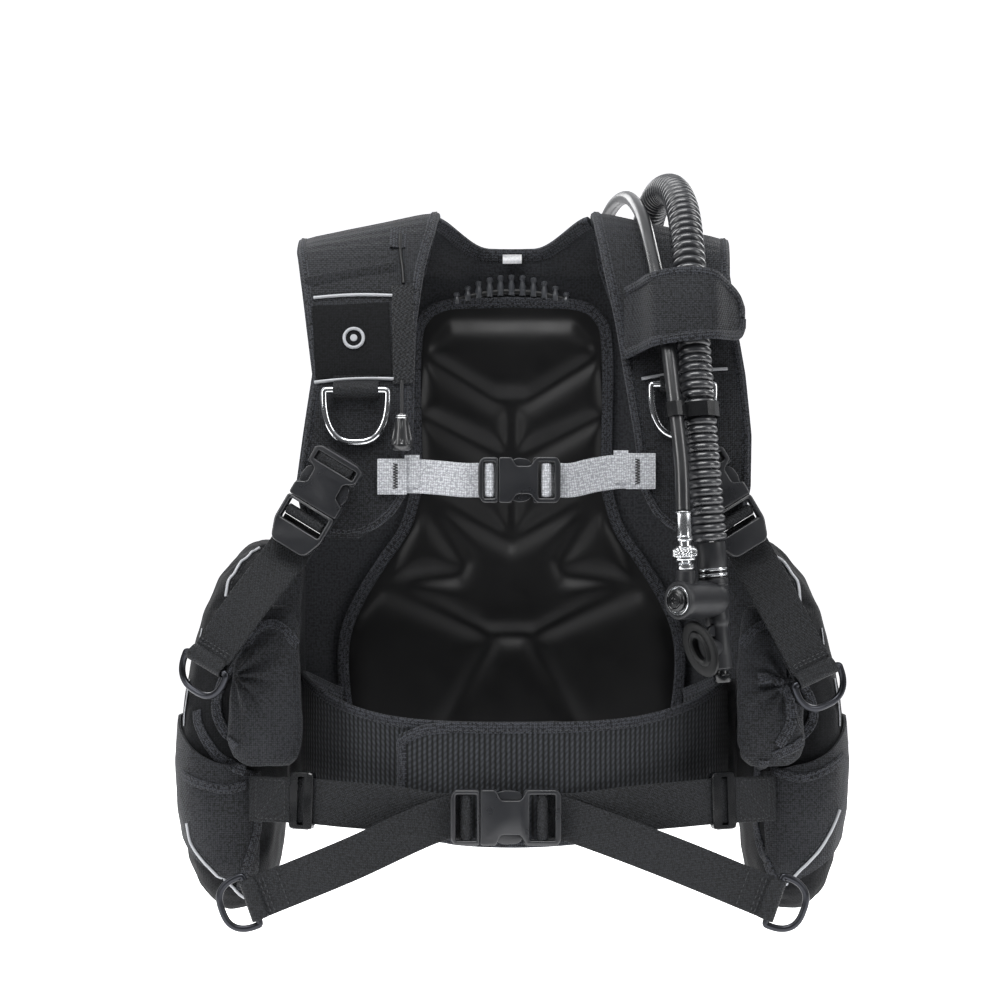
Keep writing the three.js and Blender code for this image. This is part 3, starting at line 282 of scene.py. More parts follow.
@dataclass(frozen=True)
class Woven(Finish):
    """Nylon cloth or webbing: threads over and under each other, with painted shade between them, painted highlight on
    their crowns and painted glints, and slow shade changes where it is handled.
    """

    # light is the colour of the painted highlight on the thread crowns and at the painted glints
    light: str = "#3a3c41"
    warp: float = 1.8  # thread spacing across
    weft: float = 1.8  # thread spacing along
    depth: float = 0.35
    sheen: float = 0.25
    lay: Lay = Lay.DRAPED
    mottle: float = 0.35
    angle: float = 0.0
    specular: float = 0.3
    fleck: float = 2.4  # size of the spots painted lighter as glints, where the threads would catch the light
    glint: float = 2.0  # how much lighter the painted glints are

    def surface(self, tree: bpy.types.NodeTree, shader: bpy.types.Node) -> None:
        """Adds the weave's height, a colour painted darker between the threads and lighter on their crowns and at
        glints as painted shade and highlight, and a soft mottling.
        """
        plane = thread_plane(tree, self.lay)
        turned_by = add_node(tree, "Mapping", {"Rotation": (0, 0, math.radians(self.angle))}, {0: (plane, 0)})
        waves = [
            add_node(
                tree, "TexWave",
                {"bands_direction": way, "Scale": BANDS / (pitch * MM), "Distortion": 0.6, "Detail": 1.0, "Detail Scale": 2.0},
                {"Vector": (turned_by, 0)},
            )
            for way, pitch in (("X", self.warp), ("Y", self.weft))
        ]
        cell = add_node(tree, "Mapping", {"Scale": (1 / (self.warp * MM), 1 / (self.weft * MM), 1)}, {0: (turned_by, 0)})
        over = add_node(tree, "TexChecker", {"Scale": 1.0}, {"Vector": (cell, 0)})
        height = add_node(tree, "Mix", {"data_type": "FLOAT"}, {0: (over, "Fac"), 2: (waves[0], "Fac"), 3: (waves[1], "Fac")})
        slow = add_node(tree, "TexNoise", {"Scale": 14.0, "Detail": 3.0}, {"Vector": (add_node(tree, "TexCoord"), "Object")})
        shade = add_node(tree, "Math", {"operation": "MULTIPLY_ADD", 1: self.mottle * 2, 2: -self.mottle}, {0: (slow, "Fac")})
        # Painted glints: noise spots where the threads would catch the light are painted lighter
        glint_spots = add_node(tree, "TexNoise", {"Scale": 1 / (self.fleck * MM), "Detail": 1.0}, {"Vector": (turned_by, 0)})
        bright = add_node(
            tree, "MapRange", {"From Min": 0.36, "From Max": 0.68, "To Min": 0.1, "To Max": self.glint}, {"Value": (glint_spots, "Fac")}
        )
        share = add_node(
            tree, "Math", {"operation": "MULTIPLY_ADD", "use_clamp": True}, {0: (height, 0), 1: (bright, 0), 2: (shade, 0)}
        )
        # The colour is painted shade and highlight: darker between the threads, lighter on their crowns and lighter
        # still at the painted glints, with a random mottle in tone
        colour = add_node(
            tree, "Mix", {"data_type": "RGBA", 6: linear(self.colour), 7: linear(self.light)}, {0: (share, 0)}
        )
        bump = add_node(tree, "Bump", {"Strength": 0.8, "Distance": self.depth * MM}, {"Height": (height, 0)})
        tree.links.new(colour.outputs[2], shader.inputs["Base Color"])
        tree.links.new(bump.outputs[0], shader.inputs["Normal"])
        shader.inputs["Sheen Weight"].default_value = self.sheen
        shader.inputs["Sheen Roughness"].default_value = 0.4
        shader.inputs["Specular IOR Level"].default_value = self.specular


@dataclass(frozen=True)
class Knit(Finish):
    """Ribbed elastic: columns of loops, with painted shade in the gaps between them and painted highlight on their
    crowns.
    """

    # light is the colour of the painted highlight on the column crowns
    light: str = "#43464b"
    column: float = 4.6
    loop: float = 2.6
    depth: float = 0.9

    def surface(self, tree: bpy.types.NodeTree, shader: bpy.types.Node) -> None:
        """Adds the columns and the loops in them, with colour painted darker in the gaps as painted shade and lighter
        on the crowns as painted highlight.
        """
        plane = thread_plane(tree, Lay.ALONG)
        ribs = add_node(
            tree, "TexWave", {"Scale": BANDS / (self.column * MM), "Distortion": 0.5, "Detail Scale": 3.0}, {"Vector": (plane, 0)}
        )
        loops = add_node(
            tree, "TexWave",
            {"wave_type": "BANDS", "bands_direction": "DIAGONAL", "Scale": BANDS / (self.loop * MM), "Distortion": 1.2},
            {"Vector": (plane, 0)},
        )
        height = add_node(tree, "Math", {"operation": "MULTIPLY_ADD", 2: 0.0}, {0: (ribs, "Fac"), 1: (loops, "Fac")})
        both = add_node(tree, "Mix", {"data_type": "FLOAT", 0: 0.45}, {2: (height, 0), 3: (ribs, "Fac")})
        # Painted shade and highlight: darker in the gaps between the columns, lighter on their crowns
        colour = add_node(tree, "Mix", {"data_type": "RGBA", 6: linear(self.colour), 7: linear(self.light)}, {0: (both, 0)})
        bump = add_node(tree, "Bump", {"Strength": 0.9, "Distance": self.depth * MM}, {"Height": (both, 0)})
        tree.links.new(colour.outputs[2], shader.inputs["Base Color"])
        tree.links.new(bump.outputs[0], shader.inputs["Normal"])
        shader.inputs["Sheen Weight"].default_value = 0.08
        shader.inputs["Specular IOR Level"].default_value = 0.3


@dataclass(frozen=True)
class Moulded(Finish):
    """Moulded plastic, rubber or foam: a fine grain from the mould, and gloss that varies with handling."""

    grain: float = 0.8  # size of the grain
    depth: float = 0.05
    worn: float = 0.08  # how far the roughness wanders
    coat: float = 0.0
    specular: float = 0.5

    def surface(self, tree: bpy.types.NodeTree, shader: bpy.types.Node) -> None:
        """Adds the grain's height and the wandering gloss."""
        place = add_node(tree, "TexCoord")
        fine = add_node(tree, "TexNoise", {"Scale": 1 / (self.grain * MM), "Detail": 2.0}, {"Vector": (place, "Object")})
        slow = add_node(tree, "TexNoise", {"Scale": 45.0, "Detail": 4.0}, {"Vector": (place, "Object")})
        rough = add_node(
            tree, "MapRange",
            {"From Min": 0.3, "From Max": 0.7, "To Min": self.roughness - self.worn, "To Max": self.roughness + self.worn},
            {"Value": (slow, "Fac")},
        )
        bump = add_node(tree, "Bump", {"Strength": 0.6, "Distance": self.depth * MM}, {"Height": (fine, "Fac")})
        tree.links.new(rough.outputs[0], shader.inputs["Roughness"])
        tree.links.new(bump.outputs[0], shader.inputs["Normal"])
        shader.inputs["Coat Weight"].default_value = self.coat
        shader.inputs["Coat Roughness"].default_value = 0.15
        shader.inputs["Specular IOR Level"].default_value = self.specular


@dataclass(frozen=True)
class Metal(Finish):
    """Bare or plated metal, with faint rubbing marks in its gloss."""

    marks: float = 0.05

    def surface(self, tree: bpy.types.NodeTree, shader: bpy.types.Node) -> None:
        """Adds the metal and its rubbing marks."""
        place = add_node(tree, "TexCoord")
        rubbed = add_node(tree, "TexNoise", {"Scale": 260.0, "Detail": 6.0, "Roughness": 0.7}, {"Vector": (place, "Object")})
        rough = add_node(
            tree, "MapRange",
            {"To Min": max(0.02, self.roughness - self.marks), "To Max": self.roughness + self.marks},
            {"Value": (rubbed, "Fac")},
        )
        tree.links.new(rough.outputs[0], shader.inputs["Roughness"])
        shader.inputs["Metallic"].default_value = 1.0


# In the woven and knit finishes below, the light colour is painted highlight on the crowns of the threads or loops, and
# at painted glints in the woven ones; the first colour shows between them, where shade is painted.
# Woven nylon of about 1000 denier: charcoal black, matt, with its threads just visible. Real threads lie about
# 0.6 apart; they are drawn three times as coarse so that they show.
CORDURA = Woven("Cordura_nylon_woven", "panel_fabric", "#08090a", 0.72, light="#2b2d32", warp=1.9, weft=1.9, depth=0.45, sheen=0.06, glint=2.4)
# The same cloth seen from inside, where its coating makes it darker and smoother.
LINING = Woven("Nylon_lining_woven", "panel_fabric", "#101114", 0.5, light="#2e3035", warp=1.5, weft=1.5, depth=0.2, mottle=0.2, sheen=0.1)
# Smooth oxford nylon of the lobes' outer faces, darker than the straps.
OXFORD = Woven("Oxford_nylon_coated", "panel_fabric", "#060708", 0.72, light="#17181b", warp=1.5, weft=1.5, depth=0.2, sheen=0.03, specular=0.15)
# Grosgrain edge tape: ribbed across, with lighter spots painted in as glints, where the threads would catch the light.
BINDING = Woven(
    "Grosgrain_binding_tape", "panel_fabric", "#08090a", 0.78, light="#3c3e44", warp=2.6, weft=1.7, depth=0.6, lay=Lay.ALONG, sheen=0.06, glint=2.8
)
# Nylon webbing, 2 mm thick: slanting twill lines, a slight shine.
WEBBING = Woven(
    "Nylon_webbing_black", "black_webbing", "#060708", 0.62, light="#232529", warp=2.2, weft=1.6, depth=0.5,
    lay=Lay.ALONG, angle=28.0, mottle=0.2, sheen=0.05, glint=2.2,
)
# Light grey polyester webbing of the chest strap, with fine ribs along it.
GREY_WEBBING = Woven(
    "Polyester_webbing_grey", "grey_webbing", "#9c9ea3", 0.6, light="#d8dade", warp=2.4, weft=2.0, depth=0.35,
    lay=Lay.ALONG, mottle=0.1, sheen=0.1,
)
# Braided elastic of the sleeve over the dump cord: coarse diamond braid.
BRAID = Woven("Braided_elastic", "ribbed_elastic", "#0a0b0c", 0.7, light="#2a2c30", warp=3.2, weft=2.6, depth=0.9, lay=Lay.ALONG, angle=40.0)
# Ribbed elastic of the cummerbund: columns of loops, with painted shade between them and painted highlight on them.
RIBBED = Knit("Ribbed_elastic_knit", "ribbed_elastic", "#030404", 0.8, light="#3a3d42")
# Pad skin of moulded EVA foam: deep black, satin, soft highlights on every rounded edge.
FOAM = Moulded("EVA_foam_moulded", "back_foam", "#050506", 0.46, grain=1.2, depth=0.06, worn=0.04, specular=0.32)
# Acetal buckles: black, matt faces with a fine spark grain and shiny worn edges.
ACETAL = Moulded("Acetal_moulded_black", "moulded_plastic", "#212225", 0.32, grain=0.7, depth=0.04, specular=0.7)
# Glass-filled nylon of the valve body and backplate: graphite, a coarser matt grain.
NYLON_66 = Moulded("Glass_filled_nylon", "moulded_plastic", "#1b1c1f", 0.45, grain=0.9, depth=0.06)
# ABS caps and buttons with more gloss.
ABS = Moulded("ABS_gloss_black", "moulded_plastic", "#0d0e10", 0.24, depth=0.02, coat=0.3)
# Rubber of the corrugated hose: black with a waxy grey bloom on the ribs.
HOSE_RUBBER = Moulded("EPDM_rubber_hose", "black_rubber", "#2c2d30", 0.3, grain=1.0, depth=0.04, specular=0.9)
# Shiny rubber cover of the pressure hose.
GLOSS_RUBBER = Moulded("Neoprene_rubber_gloss", "black_rubber", "#1d1e20", 0.32, grain=1.4, depth=0.05, coat=0.25, specular=0.8)
# Grey thermoplastic rubber of the comb: satin, lighter than the cloth round it.
COMB_RUBBER = Moulded("Thermoplastic_rubber_grey", "black_rubber", "#3b3d41", 0.3, grain=1.0, depth=0.03, specular=0.8)
# Silicone of the mouthpiece and knob, soft satin.
SILICONE = Moulded("Silicone_black", "black_rubber", "#0d0e0f", 0.46, depth=0.02, specular=0.35)
# Polished stainless steel of the chest rings.
STEEL = Metal("Stainless_steel_polished", "bright_steel", "#dfe1e4", 0.12)
# Chromed brass of the coupler and its fitting.
CHROME = Metal("Brass_chrome_plated", "bright_steel", "#e8eaec", 0.2, marks=0.05)
# Blackened steel of the pull rings.
GUNMETAL = Metal("Steel_black_oxide", "moulded_plastic", "#3a3b3f", 0.32)
# Reflective piping and print: silver glass-bead film.
REFLECTIVE = Moulded("Reflective_bead_film", "bright_steel", "#a9abaf", 0.42, grain=0.9, depth=0.12, specular=0.8)
# Bonded nylon sewing thread, charcoal, catching light on each stitch.
THREAD = Moulded("Bonded_nylon_thread", "black_webbing", "#2f3033", 0.6, grain=0.5, depth=0.1)
DARK_THREAD = Moulded("Bonded_nylon_thread_black", "black_webbing", "#101114", 0.5, grain=0.5, depth=0.1)
# White satin care label.
LABEL = Woven("Satin_label_white", "grey_webbing", "#d9dadd", 0.5, light="#f2f2f3", warp=1.2, weft=1.2, depth=0.1, lay=Lay.ALONG)


# ------------------------------------------------------------------------------------------ making pieces
def piece(
    name: str,
    points: Sequence[Point] | np.ndarray,
    faces: Iterable[Sequence[int]],
    finish: Finish,
    stands_for: Sequence[str] = (),
    body: str = "",
    lengths: np.ndarray | None = None,
    sharp: float = 50.0,
) -> bpy.types.Object:
    """Makes a mesh piece, dresses it and lets it ride.

    Args:
        name: the piece's name.
        points: its points.
        faces: its faces, as numbers of points.
        finish: its finish.
        stands_for: the nodes that it stands for.
        body: the body that it rides on; the first such node's body if it isn't given.
        lengths: for each point, its place across and along the strip, for cloth that lies along.
        sharp: edges that turn by more than these degrees stay sharp.

    Returns:
        The piece.
    """
    mesh = bpy.data.meshes.new(name)
    mesh.from_pydata((np.asarray(points, float) * MM).tolist(), [], [list(f) for f in faces])
    mesh.validate()
    if lengths is not None:
        layer = mesh.uv_layers.new(name="cloth")
        corner = np.zeros(len(mesh.loops), int)
        mesh.loops.foreach_get("vertex_index", corner)
        layer.data.foreach_set("uv", (np.asarray(lengths, float)[corner] * MM).ravel())
    made = bpy.data.objects.new(name, mesh)
    bpy.context.scene.collection.objects.link(made)
    outward(made)
    mesh.shade_smooth()
    mesh.set_sharp_from_angle(angle=math.radians(sharp))
    return dressed(made, finish, stands_for, body)


def outward(made: bpy.types.Object) -> None:
    """Turns a mesh's faces outward."""
    b = bmesh.new()
    b.from_mesh(made.data)
    bmesh.ops.recalc_face_normals(b, faces=b.faces)
    b.to_mesh(made.data)
    b.free()


def dressed(made: bpy.types.Object, finish: Finish, stands_for: Sequence[str] = (), body: str = "") -> bpy.types.Object:
    """Gives a piece its finish and its body, and hides the nodes that it stands for."""
    made.data.materials.clear()
    made.data.materials.append(finish.material())
    if body != "free":
        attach(made, body or (NODES[stands_for[0]]["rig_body"] if stands_for else "vest"))
    if stands_for:
        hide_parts(*stands_for)
    log.info("%s: %s", made.name, finish.name)
    return made


def lofted(sections: np.ndarray, closed_ends: bool = True) -> tuple[np.ndarray, list[list[int]]]:
    """Skins rings of points that follow each other.

    Args:
        sections: an array of rings, each a ring of points.
        closed_ends: whether the first and last ring are capped.

    Returns:
        The points and the faces.
    """
    rows, n = sections.shape[:2]
    faces = [
        [r * n + k, r * n + (k + 1) % n, (r + 1) * n + (k + 1) % n, (r + 1) * n + k] for r in range(rows - 1) for k in range(n)
    ]
    points = sections.reshape(-1, 3)
    if closed_ends:
        for row in (0, rows - 1):
            middle = len(points)
            points = np.vstack([points, sections[row].mean(0)])
            faces += [[middle, row * n + k, row * n + (k + 1) % n] for k in range(n)]
    return points, faces


def strip_section(width: float, thick: float, across: int = 8, crown: float = 0.0) -> np.ndarray:
    """The outline of a flat strip with rounded edges, as places across and out.

    Args:
        width: its width.
        thick: its thickness at the edges.
        across: points along each face.
        crown: how much thicker the middle is.

    Returns:
        Rows of across and out.
    """
    r = thick / 2
    u = np.linspace(-1, 1, across)
    face = [(x * (width / 2 - r), r + crown * (1 - x * x) / 2) for x in u]
    edge = [(width / 2 - r + r * math.cos(a), r * math.sin(a)) for a in (math.pi / 4, 0, -math.pi / 4)]
    other = [(x, -y) for x, y in reversed(face)]
    last = [(-x, y) for x, y in reversed(edge)]
    return np.array(face + edge + other + last)


def ribbon(
    name: str,
    line: np.ndarray,
    across: np.ndarray,
    width: float | np.ndarray,
    thick: float,
    finish: Finish,
    stands_for: Sequence[str] = (),
    body: str = "",
    crown: float = 0.0,
    fine: int = 8,
) -> bpy.types.Object:
    """A strip of webbing or tape along a line.

    Args:
        name: the piece's name.
        line: its middle line.
        across: the direction across it at each point of the line.
        width: its width, or its width at each point.
        thick: its thickness.
        finish: its finish.
        stands_for: the nodes that it stands for.
        body: the body that it rides on.
        crown: how much thicker its middle is.
        fine: points across each face.

    Returns:
        The piece.
    """
    t = tangents(line)
    across = np.broadcast_to(np.asarray(across, float), line.shape)
    across = across - t * (across * t).sum(1, keepdims=True)
    across = across / np.maximum(np.linalg.norm(across, axis=1, keepdims=True), 1e-9)
    out = np.cross(t, across)
    widths = np.broadcast_to(np.asarray(width, float), (len(line),))
    sections, flat = [], []
    along = np.concatenate([[0], np.cumsum(np.linalg.norm(np.diff(line, axis=0), axis=1))])
    for i, at in enumerate(line):
        outline = strip_section(widths[i], thick, fine, crown)
        sections.append(at + outline[:, :1] * across[i] + outline[:, 1:] * out[i])
        flat += [(x, along[i]) for x in outline[:, 0]]
    points, faces = lofted(np.array(sections))
    flat += [(0, 0), (0, along[-1])]
    return piece(name, points, faces, finish, stands_for, body, np.array(flat))


def tube(
    name: str,
    line: np.ndarray,
    radius: float | np.ndarray,
    finish: Finish,
    stands_for: Sequence[str] = (),
    body: str = "",
    sides: int = 16,
    closed: bool = False,
) -> bpy.types.Object:
    """A round bar, cord or hose along a line.

    Args:
        name: the piece's name.
        line: its middle line.
        radius: its radius, or its radius at each point.
        finish: its finish.
        stands_for: the nodes that it stands for.
        body: the body that it rides on.
        sides: points round it.
        closed: whether its end joins its start.

    Returns:
        The piece.
    """
    x, y = carried_frames(line)
    r = np.broadcast_to(np.asarray(radius, float), (len(line),))[:, None, None]
    a = np.linspace(0, 2 * math.pi, sides, endpoint=False)[None, :, None]
    rings = line[:, None, :] + r * (np.cos(a) * x[:, None, :] + np.sin(a) * y[:, None, :])
    points, faces = lofted(rings, not closed)
    if closed:
        n, last = sides, (len(line) - 1) * sides
        shift = int(np.argmin(np.linalg.norm(rings[0] - rings[-1, 0], axis=1)))
        turn = 1 if np.linalg.norm(rings[0][(shift + 1) % n] - rings[-1, 1]) < np.linalg.norm(rings[0][shift - 1] - rings[-1, 1]) else -1
        faces += [[last + k, last + (k + 1) % n, (shift + turn * (k + 1)) % n, (shift + turn * k) % n] for k in range(n)]
    return piece(name, points, faces, finish, stands_for, body)


def turned(
    name: str,
    profile: Sequence[tuple[float, float]],
    base: Point,
    direction: Point,
    finish: Finish,
    stands_for: Sequence[str] = (),
    body: str = "",
    sides: int = 40,
    flutes: Callable[[float, float], float] | None = None,
    sharp: float = 35.0,
) -> bpy.types.Object:
    """A turned part.

    Args:
        name: the piece's name.
        profile: radius and height, from one end to the other.
        base: where height 0 is.
        direction: the way that height grows.
        finish: its finish.
        stands_for: the nodes that it stands for.
        body: the body that it rides on.
        sides: points round it.
        flutes: gives the share of the radius at an angle and height, for grips and knurls.
        sharp: edges that turn by more than these degrees stay sharp.

    Returns:
        The piece.
    """
    up = unit(direction)
    x = unit(np.cross(up, (0, 0, 1) if abs(up[2]) < 0.9 else (1, 0, 0)))
    y = np.cross(up, x)
    rings = []
    for r, h in profile:
        ring = []
        for k in range(sides):
            a = 2 * math.pi * k / sides
            reach = max(r, 0.01) * (flutes(a, h) if flutes else 1.0)
            ring.append(np.asarray(base, float) + up * h + reach * (math.cos(a) * x + math.sin(a) * y))
        rings.append(ring)
    points, faces = lofted(np.array(rings))
    return piece(name, points, faces, finish, stands_for, body, sharp=sharp)


def bevelled(node: str, finish: Finish, width: float = 0.6, segments: int = 3) -> bpy.types.Object:
    """Dresses a node as it is, with its edges rounded by a modifier."""
    made = NODES[node]
    made.data.materials.clear()
    made.data.materials.append(finish.material())
    soft = made.modifiers.new("edges", "BEVEL")
    soft.width, soft.segments, soft.limit_method, soft.angle_limit = width * MM, segments, "ANGLE", math.radians(28)
    soft.harden_normals = True
    made.data.shade_smooth()
    made.data.set_sharp_from_angle(angle=math.radians(28))
    log.info("%s: %s", node, finish.name)
    return made


class Skin:
    """The surface of pieces or nodes, that details are laid on."""

    def __init__(self, *made: bpy.types.Object) -> None:
        """Keeps the shown surface of each piece."""
        points, faces = [], []
        shown = bpy.context.evaluated_depsgraph_get()
        shown.update()
        for o in made:
            mesh = o.evaluated_get(shown).to_mesh()
            start = len(points)
            points += [o.matrix_world @ v.co / MM for v in mesh.vertices]
            faces += [[start + k for k in p.vertices] for p in mesh.polygons]
        self.tree = BVHTree.FromPolygons(points, faces)

    def front(self, x: float, z: float, lift: float = 0.0) -> np.ndarray:
        """The foremost point at x and z, lifted forward; the nearest point where nothing lies behind it."""
        hit = self.tree.ray_cast(Vector((x, -900, z)), Vector((0, 1, 0)))[0]
        if hit is None:
            return self.near((x, -100, z), lift)
        return np.array(hit) - (0, lift, 0)

    def near(self, at: Point, lift: float = 0.0) -> np.ndarray:
        """The nearest point of the surface, lifted off it."""
        hit, normal, _, _ = self.tree.find_nearest(Vector(at))
        return np.array(hit) + np.array(normal) * lift

    def normal(self, at: Point) -> np.ndarray:
        """The way the surface faces at its point nearest to a place."""
        return np.array(self.tree.find_nearest(Vector(at))[1])

    def laid(self, line: Sequence[Point], lift: float = 0.0) -> np.ndarray:
        """A line moved onto the surface and lifted off it."""
        return np.array([self.near(p, lift) for p in line])


def sewn(
    name: str,
    lines: Sequence[np.ndarray],
    finish: Finish = THREAD,
    body: str = "vest",
    stitch: float = 3.4,
    gap: float = 1.2,
    thick: float = 0.55,
) -> bpy.types.Object:
    """Rows of stitches, each a short spindle of thread.

    Args:
        name: the piece's name.
        lines: the rows, lying on the cloth.
        finish: the thread.
        body: the body that they ride on.
        stitch: a stitch's length.
        gap: the gap between two.
        thick: the thread's thickness.

    Returns:
        The piece.
    """
    points, faces = [], []
    for line in lines:
        count = max(2, int(length_of(line) / (stitch + gap)))
        fine = respaced(line, count * 4 + 1)
        for i in range(count):
            a, b = fine[4 * i], fine[4 * i + 3]
            along = unit(b - a)
            x = unit(np.cross(along, (0.31, 0.2, 0.93)))
            y = np.cross(along, x)
            start, middle, r = len(points), (a + b) / 2, thick
            points += [a, middle + r * x, middle + r * y, middle - r * x, middle - r * y, b]
            faces += [[start, start + 1 + k, start + 1 + (k + 1) % 4] for k in range(4)]
            faces += [[start + 5, start + 1 + (k + 1) % 4, start + 1 + k] for k in range(4)]
    return piece(name, points, faces, finish, body=body)


def swollen(
    made: bpy.types.Object, voxel: float, cap: float, pressure: float = 4.0, slack: float = 0.0,
    held: Callable[[Vector], float] | None = None,
) -> bpy.types.Object:
    """Fills a closed soft shape by a short cloth simulation, and leaves the result in its mesh.

    Args:
        made: the piece, a closed mesh.
        voxel: the size of the remeshed faces.
        cap: the furthest that a point may move.
        pressure: the air pressure inside.
        slack: how much larger the cloth is than the shape, as a share, which makes it wrinkle.
        held: gives how firmly a point is held, 0 to 1.

    Returns:
        The piece.
    """
    change = made.modifiers.new("even", "REMESH")
    change.mode, change.voxel_size, change.use_smooth_shade = "VOXEL", voxel * MM, True
    bake(made)
    rest = np.array([v.co[:] for v in made.data.vertices])
    if held:
        group = made.vertex_groups.new(name="held")
        for v in made.data.vertices:
            group.add([v.index], held(v.co / MM), "REPLACE")
    cloth = made.modifiers.new("air", "CLOTH")
    s = cloth.settings
    s.use_pressure, s.uniform_pressure_force, s.effector_weights.gravity = True, pressure, 0
    s.quality, s.mass, s.shrink_min, s.bending_stiffness, s.air_damping = 5, 0.3, -slack, 0.3, 2.0
    if held:
        s.vertex_group_mass = "held"
    cloth.point_cache.frame_start, cloth.point_cache.frame_end = 1, 20
    for step in range(1, 21):
        bpy.context.scene.frame_set(step)
    bake(made)
    now = np.array([v.co[:] for v in made.data.vertices])
    move = now - rest
    far = np.linalg.norm(move, axis=1, keepdims=True)
    now = rest + move * np.minimum(1, cap * MM / np.maximum(far, 1e-9))
    made.data.vertices.foreach_set("co", now.astype(np.float32).ravel())
    bpy.context.scene.frame_set(1)
    made.vertex_groups.clear()
    smooth = made.modifiers.new("fine", "SUBSURF")
    smooth.levels = smooth.render_levels = 1
    bake(made)
    made.data.shade_smooth()
    return made


def bake(made: bpy.types.Object) -> None:
    """Writes a piece's modifiers into its mesh."""
    shown = bpy.context.evaluated_depsgraph_get()
    shown.update()
    mesh = bpy.data.meshes.new_from_object(made.evaluated_get(shown))
    old = made.data
    made.modifiers.clear()
    made.data = mesh
    mesh.name = old.name + "_final"
    bpy.data.meshes.remove(old)


def creased(made: bpy.types.Object, how: Callable[[Vector, Vector], float]) -> None:
    """Moves each point of a piece along its normal by how(place, normal)."""
    moved = []
    for v in made.data.vertices:
        moved.append(v.co + v.normal * how(v.co / MM, v.normal) * MM)
    for v, to in zip(made.data.vertices, moved):
        v.co = to


def rumple(at: Point, size: float, stretch: Point = (1, 1, 1)) -> float:
    """A soft random height between about -1 and 1, in lumps of a size; stretch draws them out along an axis."""
    return noise.noise(Vector([at[k] / size / stretch[k] for k in range(3)]))


# ------------------------------------------------------------------------------------------ studio
@dataclass
class Studio:
    """A pale sweep, soft lights and the camera."""

    camera_at_m: tuple[float, float, float] = (-0.011, -2.6, -0.253)
    lens: float = 101.7
    floor_z_m: float = -0.668
    front: float = 0.1  # how bright the room is in front, and what it gains behind and above
    behind: float = 0.8
    above: float = 0.55
    room_m: float = 9.0

    def build(self) -> None:
        """Makes the camera, the backdrop and the lights."""
        data = bpy.data.cameras.new("camera")
        data.lens, data.sensor_width = self.lens, 36.0
        camera = bpy.data.objects.new("camera", data)
        camera.location, camera.rotation_euler = self.camera_at_m, (math.radians(90), 0, 0)
        bpy.context.scene.collection.objects.link(camera)
        bpy.context.scene.camera = camera
        bpy.context.scene.view_settings.view_transform = "Standard"
        self.backdrop()
        self.air()
        self.lamp("overhead", (-0.25, -0.75, 1.35), (1.5, 0.9), 30)
        self.lamp("left_box", (-1.9, -1.3, 0.5), (0.7, 1.5), 20)
        self.lamp("right_box", (1.9, -1.1, 0.5), (0.7, 1.5), 16)
        self.lamp("rear_left", (-1.0, 1.3, 0.9), (0.9, 0.9), 12)
        self.lamp("rear_right", (1.1, 1.3, 0.8), (0.9, 0.9), 12)

    def air(self) -> None:
        """Makes the room: dark in front of the vest, pale above and behind it."""
        world = bpy.data.worlds.new("studio_air")
        world.use_nodes = True
        tree = world.node_tree
        way = add_node(tree, "SeparateXYZ", links={0: (add_node(tree, "TexCoord"), "Generated")})
        behind = add_node(
            tree, "MapRange", {"interpolation_type": "SMOOTHSTEP", "From Min": 0.1, "From Max": 1.0, "To Max": self.behind}, {"Value": (way, 1)}
        )
        above = add_node(
            tree, "MapRange", {"interpolation_type": "SMOOTHSTEP", "From Min": 0.1, "From Max": 0.9, "To Max": self.above}, {"Value": (way, 2)}
        )
        strength = add_node(tree, "Math", {"operation": "ADD"}, {0: (behind, 0), 1: (above, 0)})
        total = add_node(tree, "Math", {"operation": "ADD", 1: self.front}, {0: (strength, 0)})
        shade = tree.nodes["Background"]
        shade.inputs["Color"].default_value = linear("#f4f5f8")
        tree.links.new(total.outputs[0], shade.inputs["Strength"])
        bpy.context.scene.world = world

    def backdrop(self) -> None:
        """Makes the lit floor, and the even white room beyond it, which lights nothing and is only seen."""
        white = Glowing("Acrylic_floor_backlit", "", "#f6f6f7", 0.9)
        floor = bmesh.new()
        for x, y in ((-1.6, -0.7), (1.6, -0.7), (1.6, 2.2), (-1.6, 2.2)):
            floor.verts.new((x, y, self.floor_z_m))
        floor.faces.new(floor.verts)
        room = bmesh.new()
        bmesh.ops.create_icosphere(room, subdivisions=4, radius=self.room_m)
        for name, shape in (("floor", floor), ("room", room)):
            mesh = bpy.data.meshes.new(name)
            shape.to_mesh(mesh)
            shape.free()
            mesh.materials.append(white.material())
            shown = bpy.data.objects.new(name, mesh)
            bpy.context.scene.collection.objects.link(shown)
            if name == "room":
                shown.visible_diffuse = shown.visible_glossy = shown.visible_transmission = shown.visible_shadow = False

    def lamp(self, name: str, at_m: Point, size_m: tuple[float, float], watts: float) -> None:
        """Hangs a soft box that faces the middle of the vest."""
        data = bpy.data.lights.new(name, "AREA")
        data.shape, data.size, data.size_y, data.energy = "RECTANGLE", *size_m, watts
        lamp = bpy.data.objects.new(name, data)
        lamp.location = at_m
        lamp.rotation_euler = (Vector((0, 0, -0.28)) - Vector(at_m)).to_track_quat("-Z", "Y").to_euler()
        bpy.context.scene.collection.objects.link(lamp)


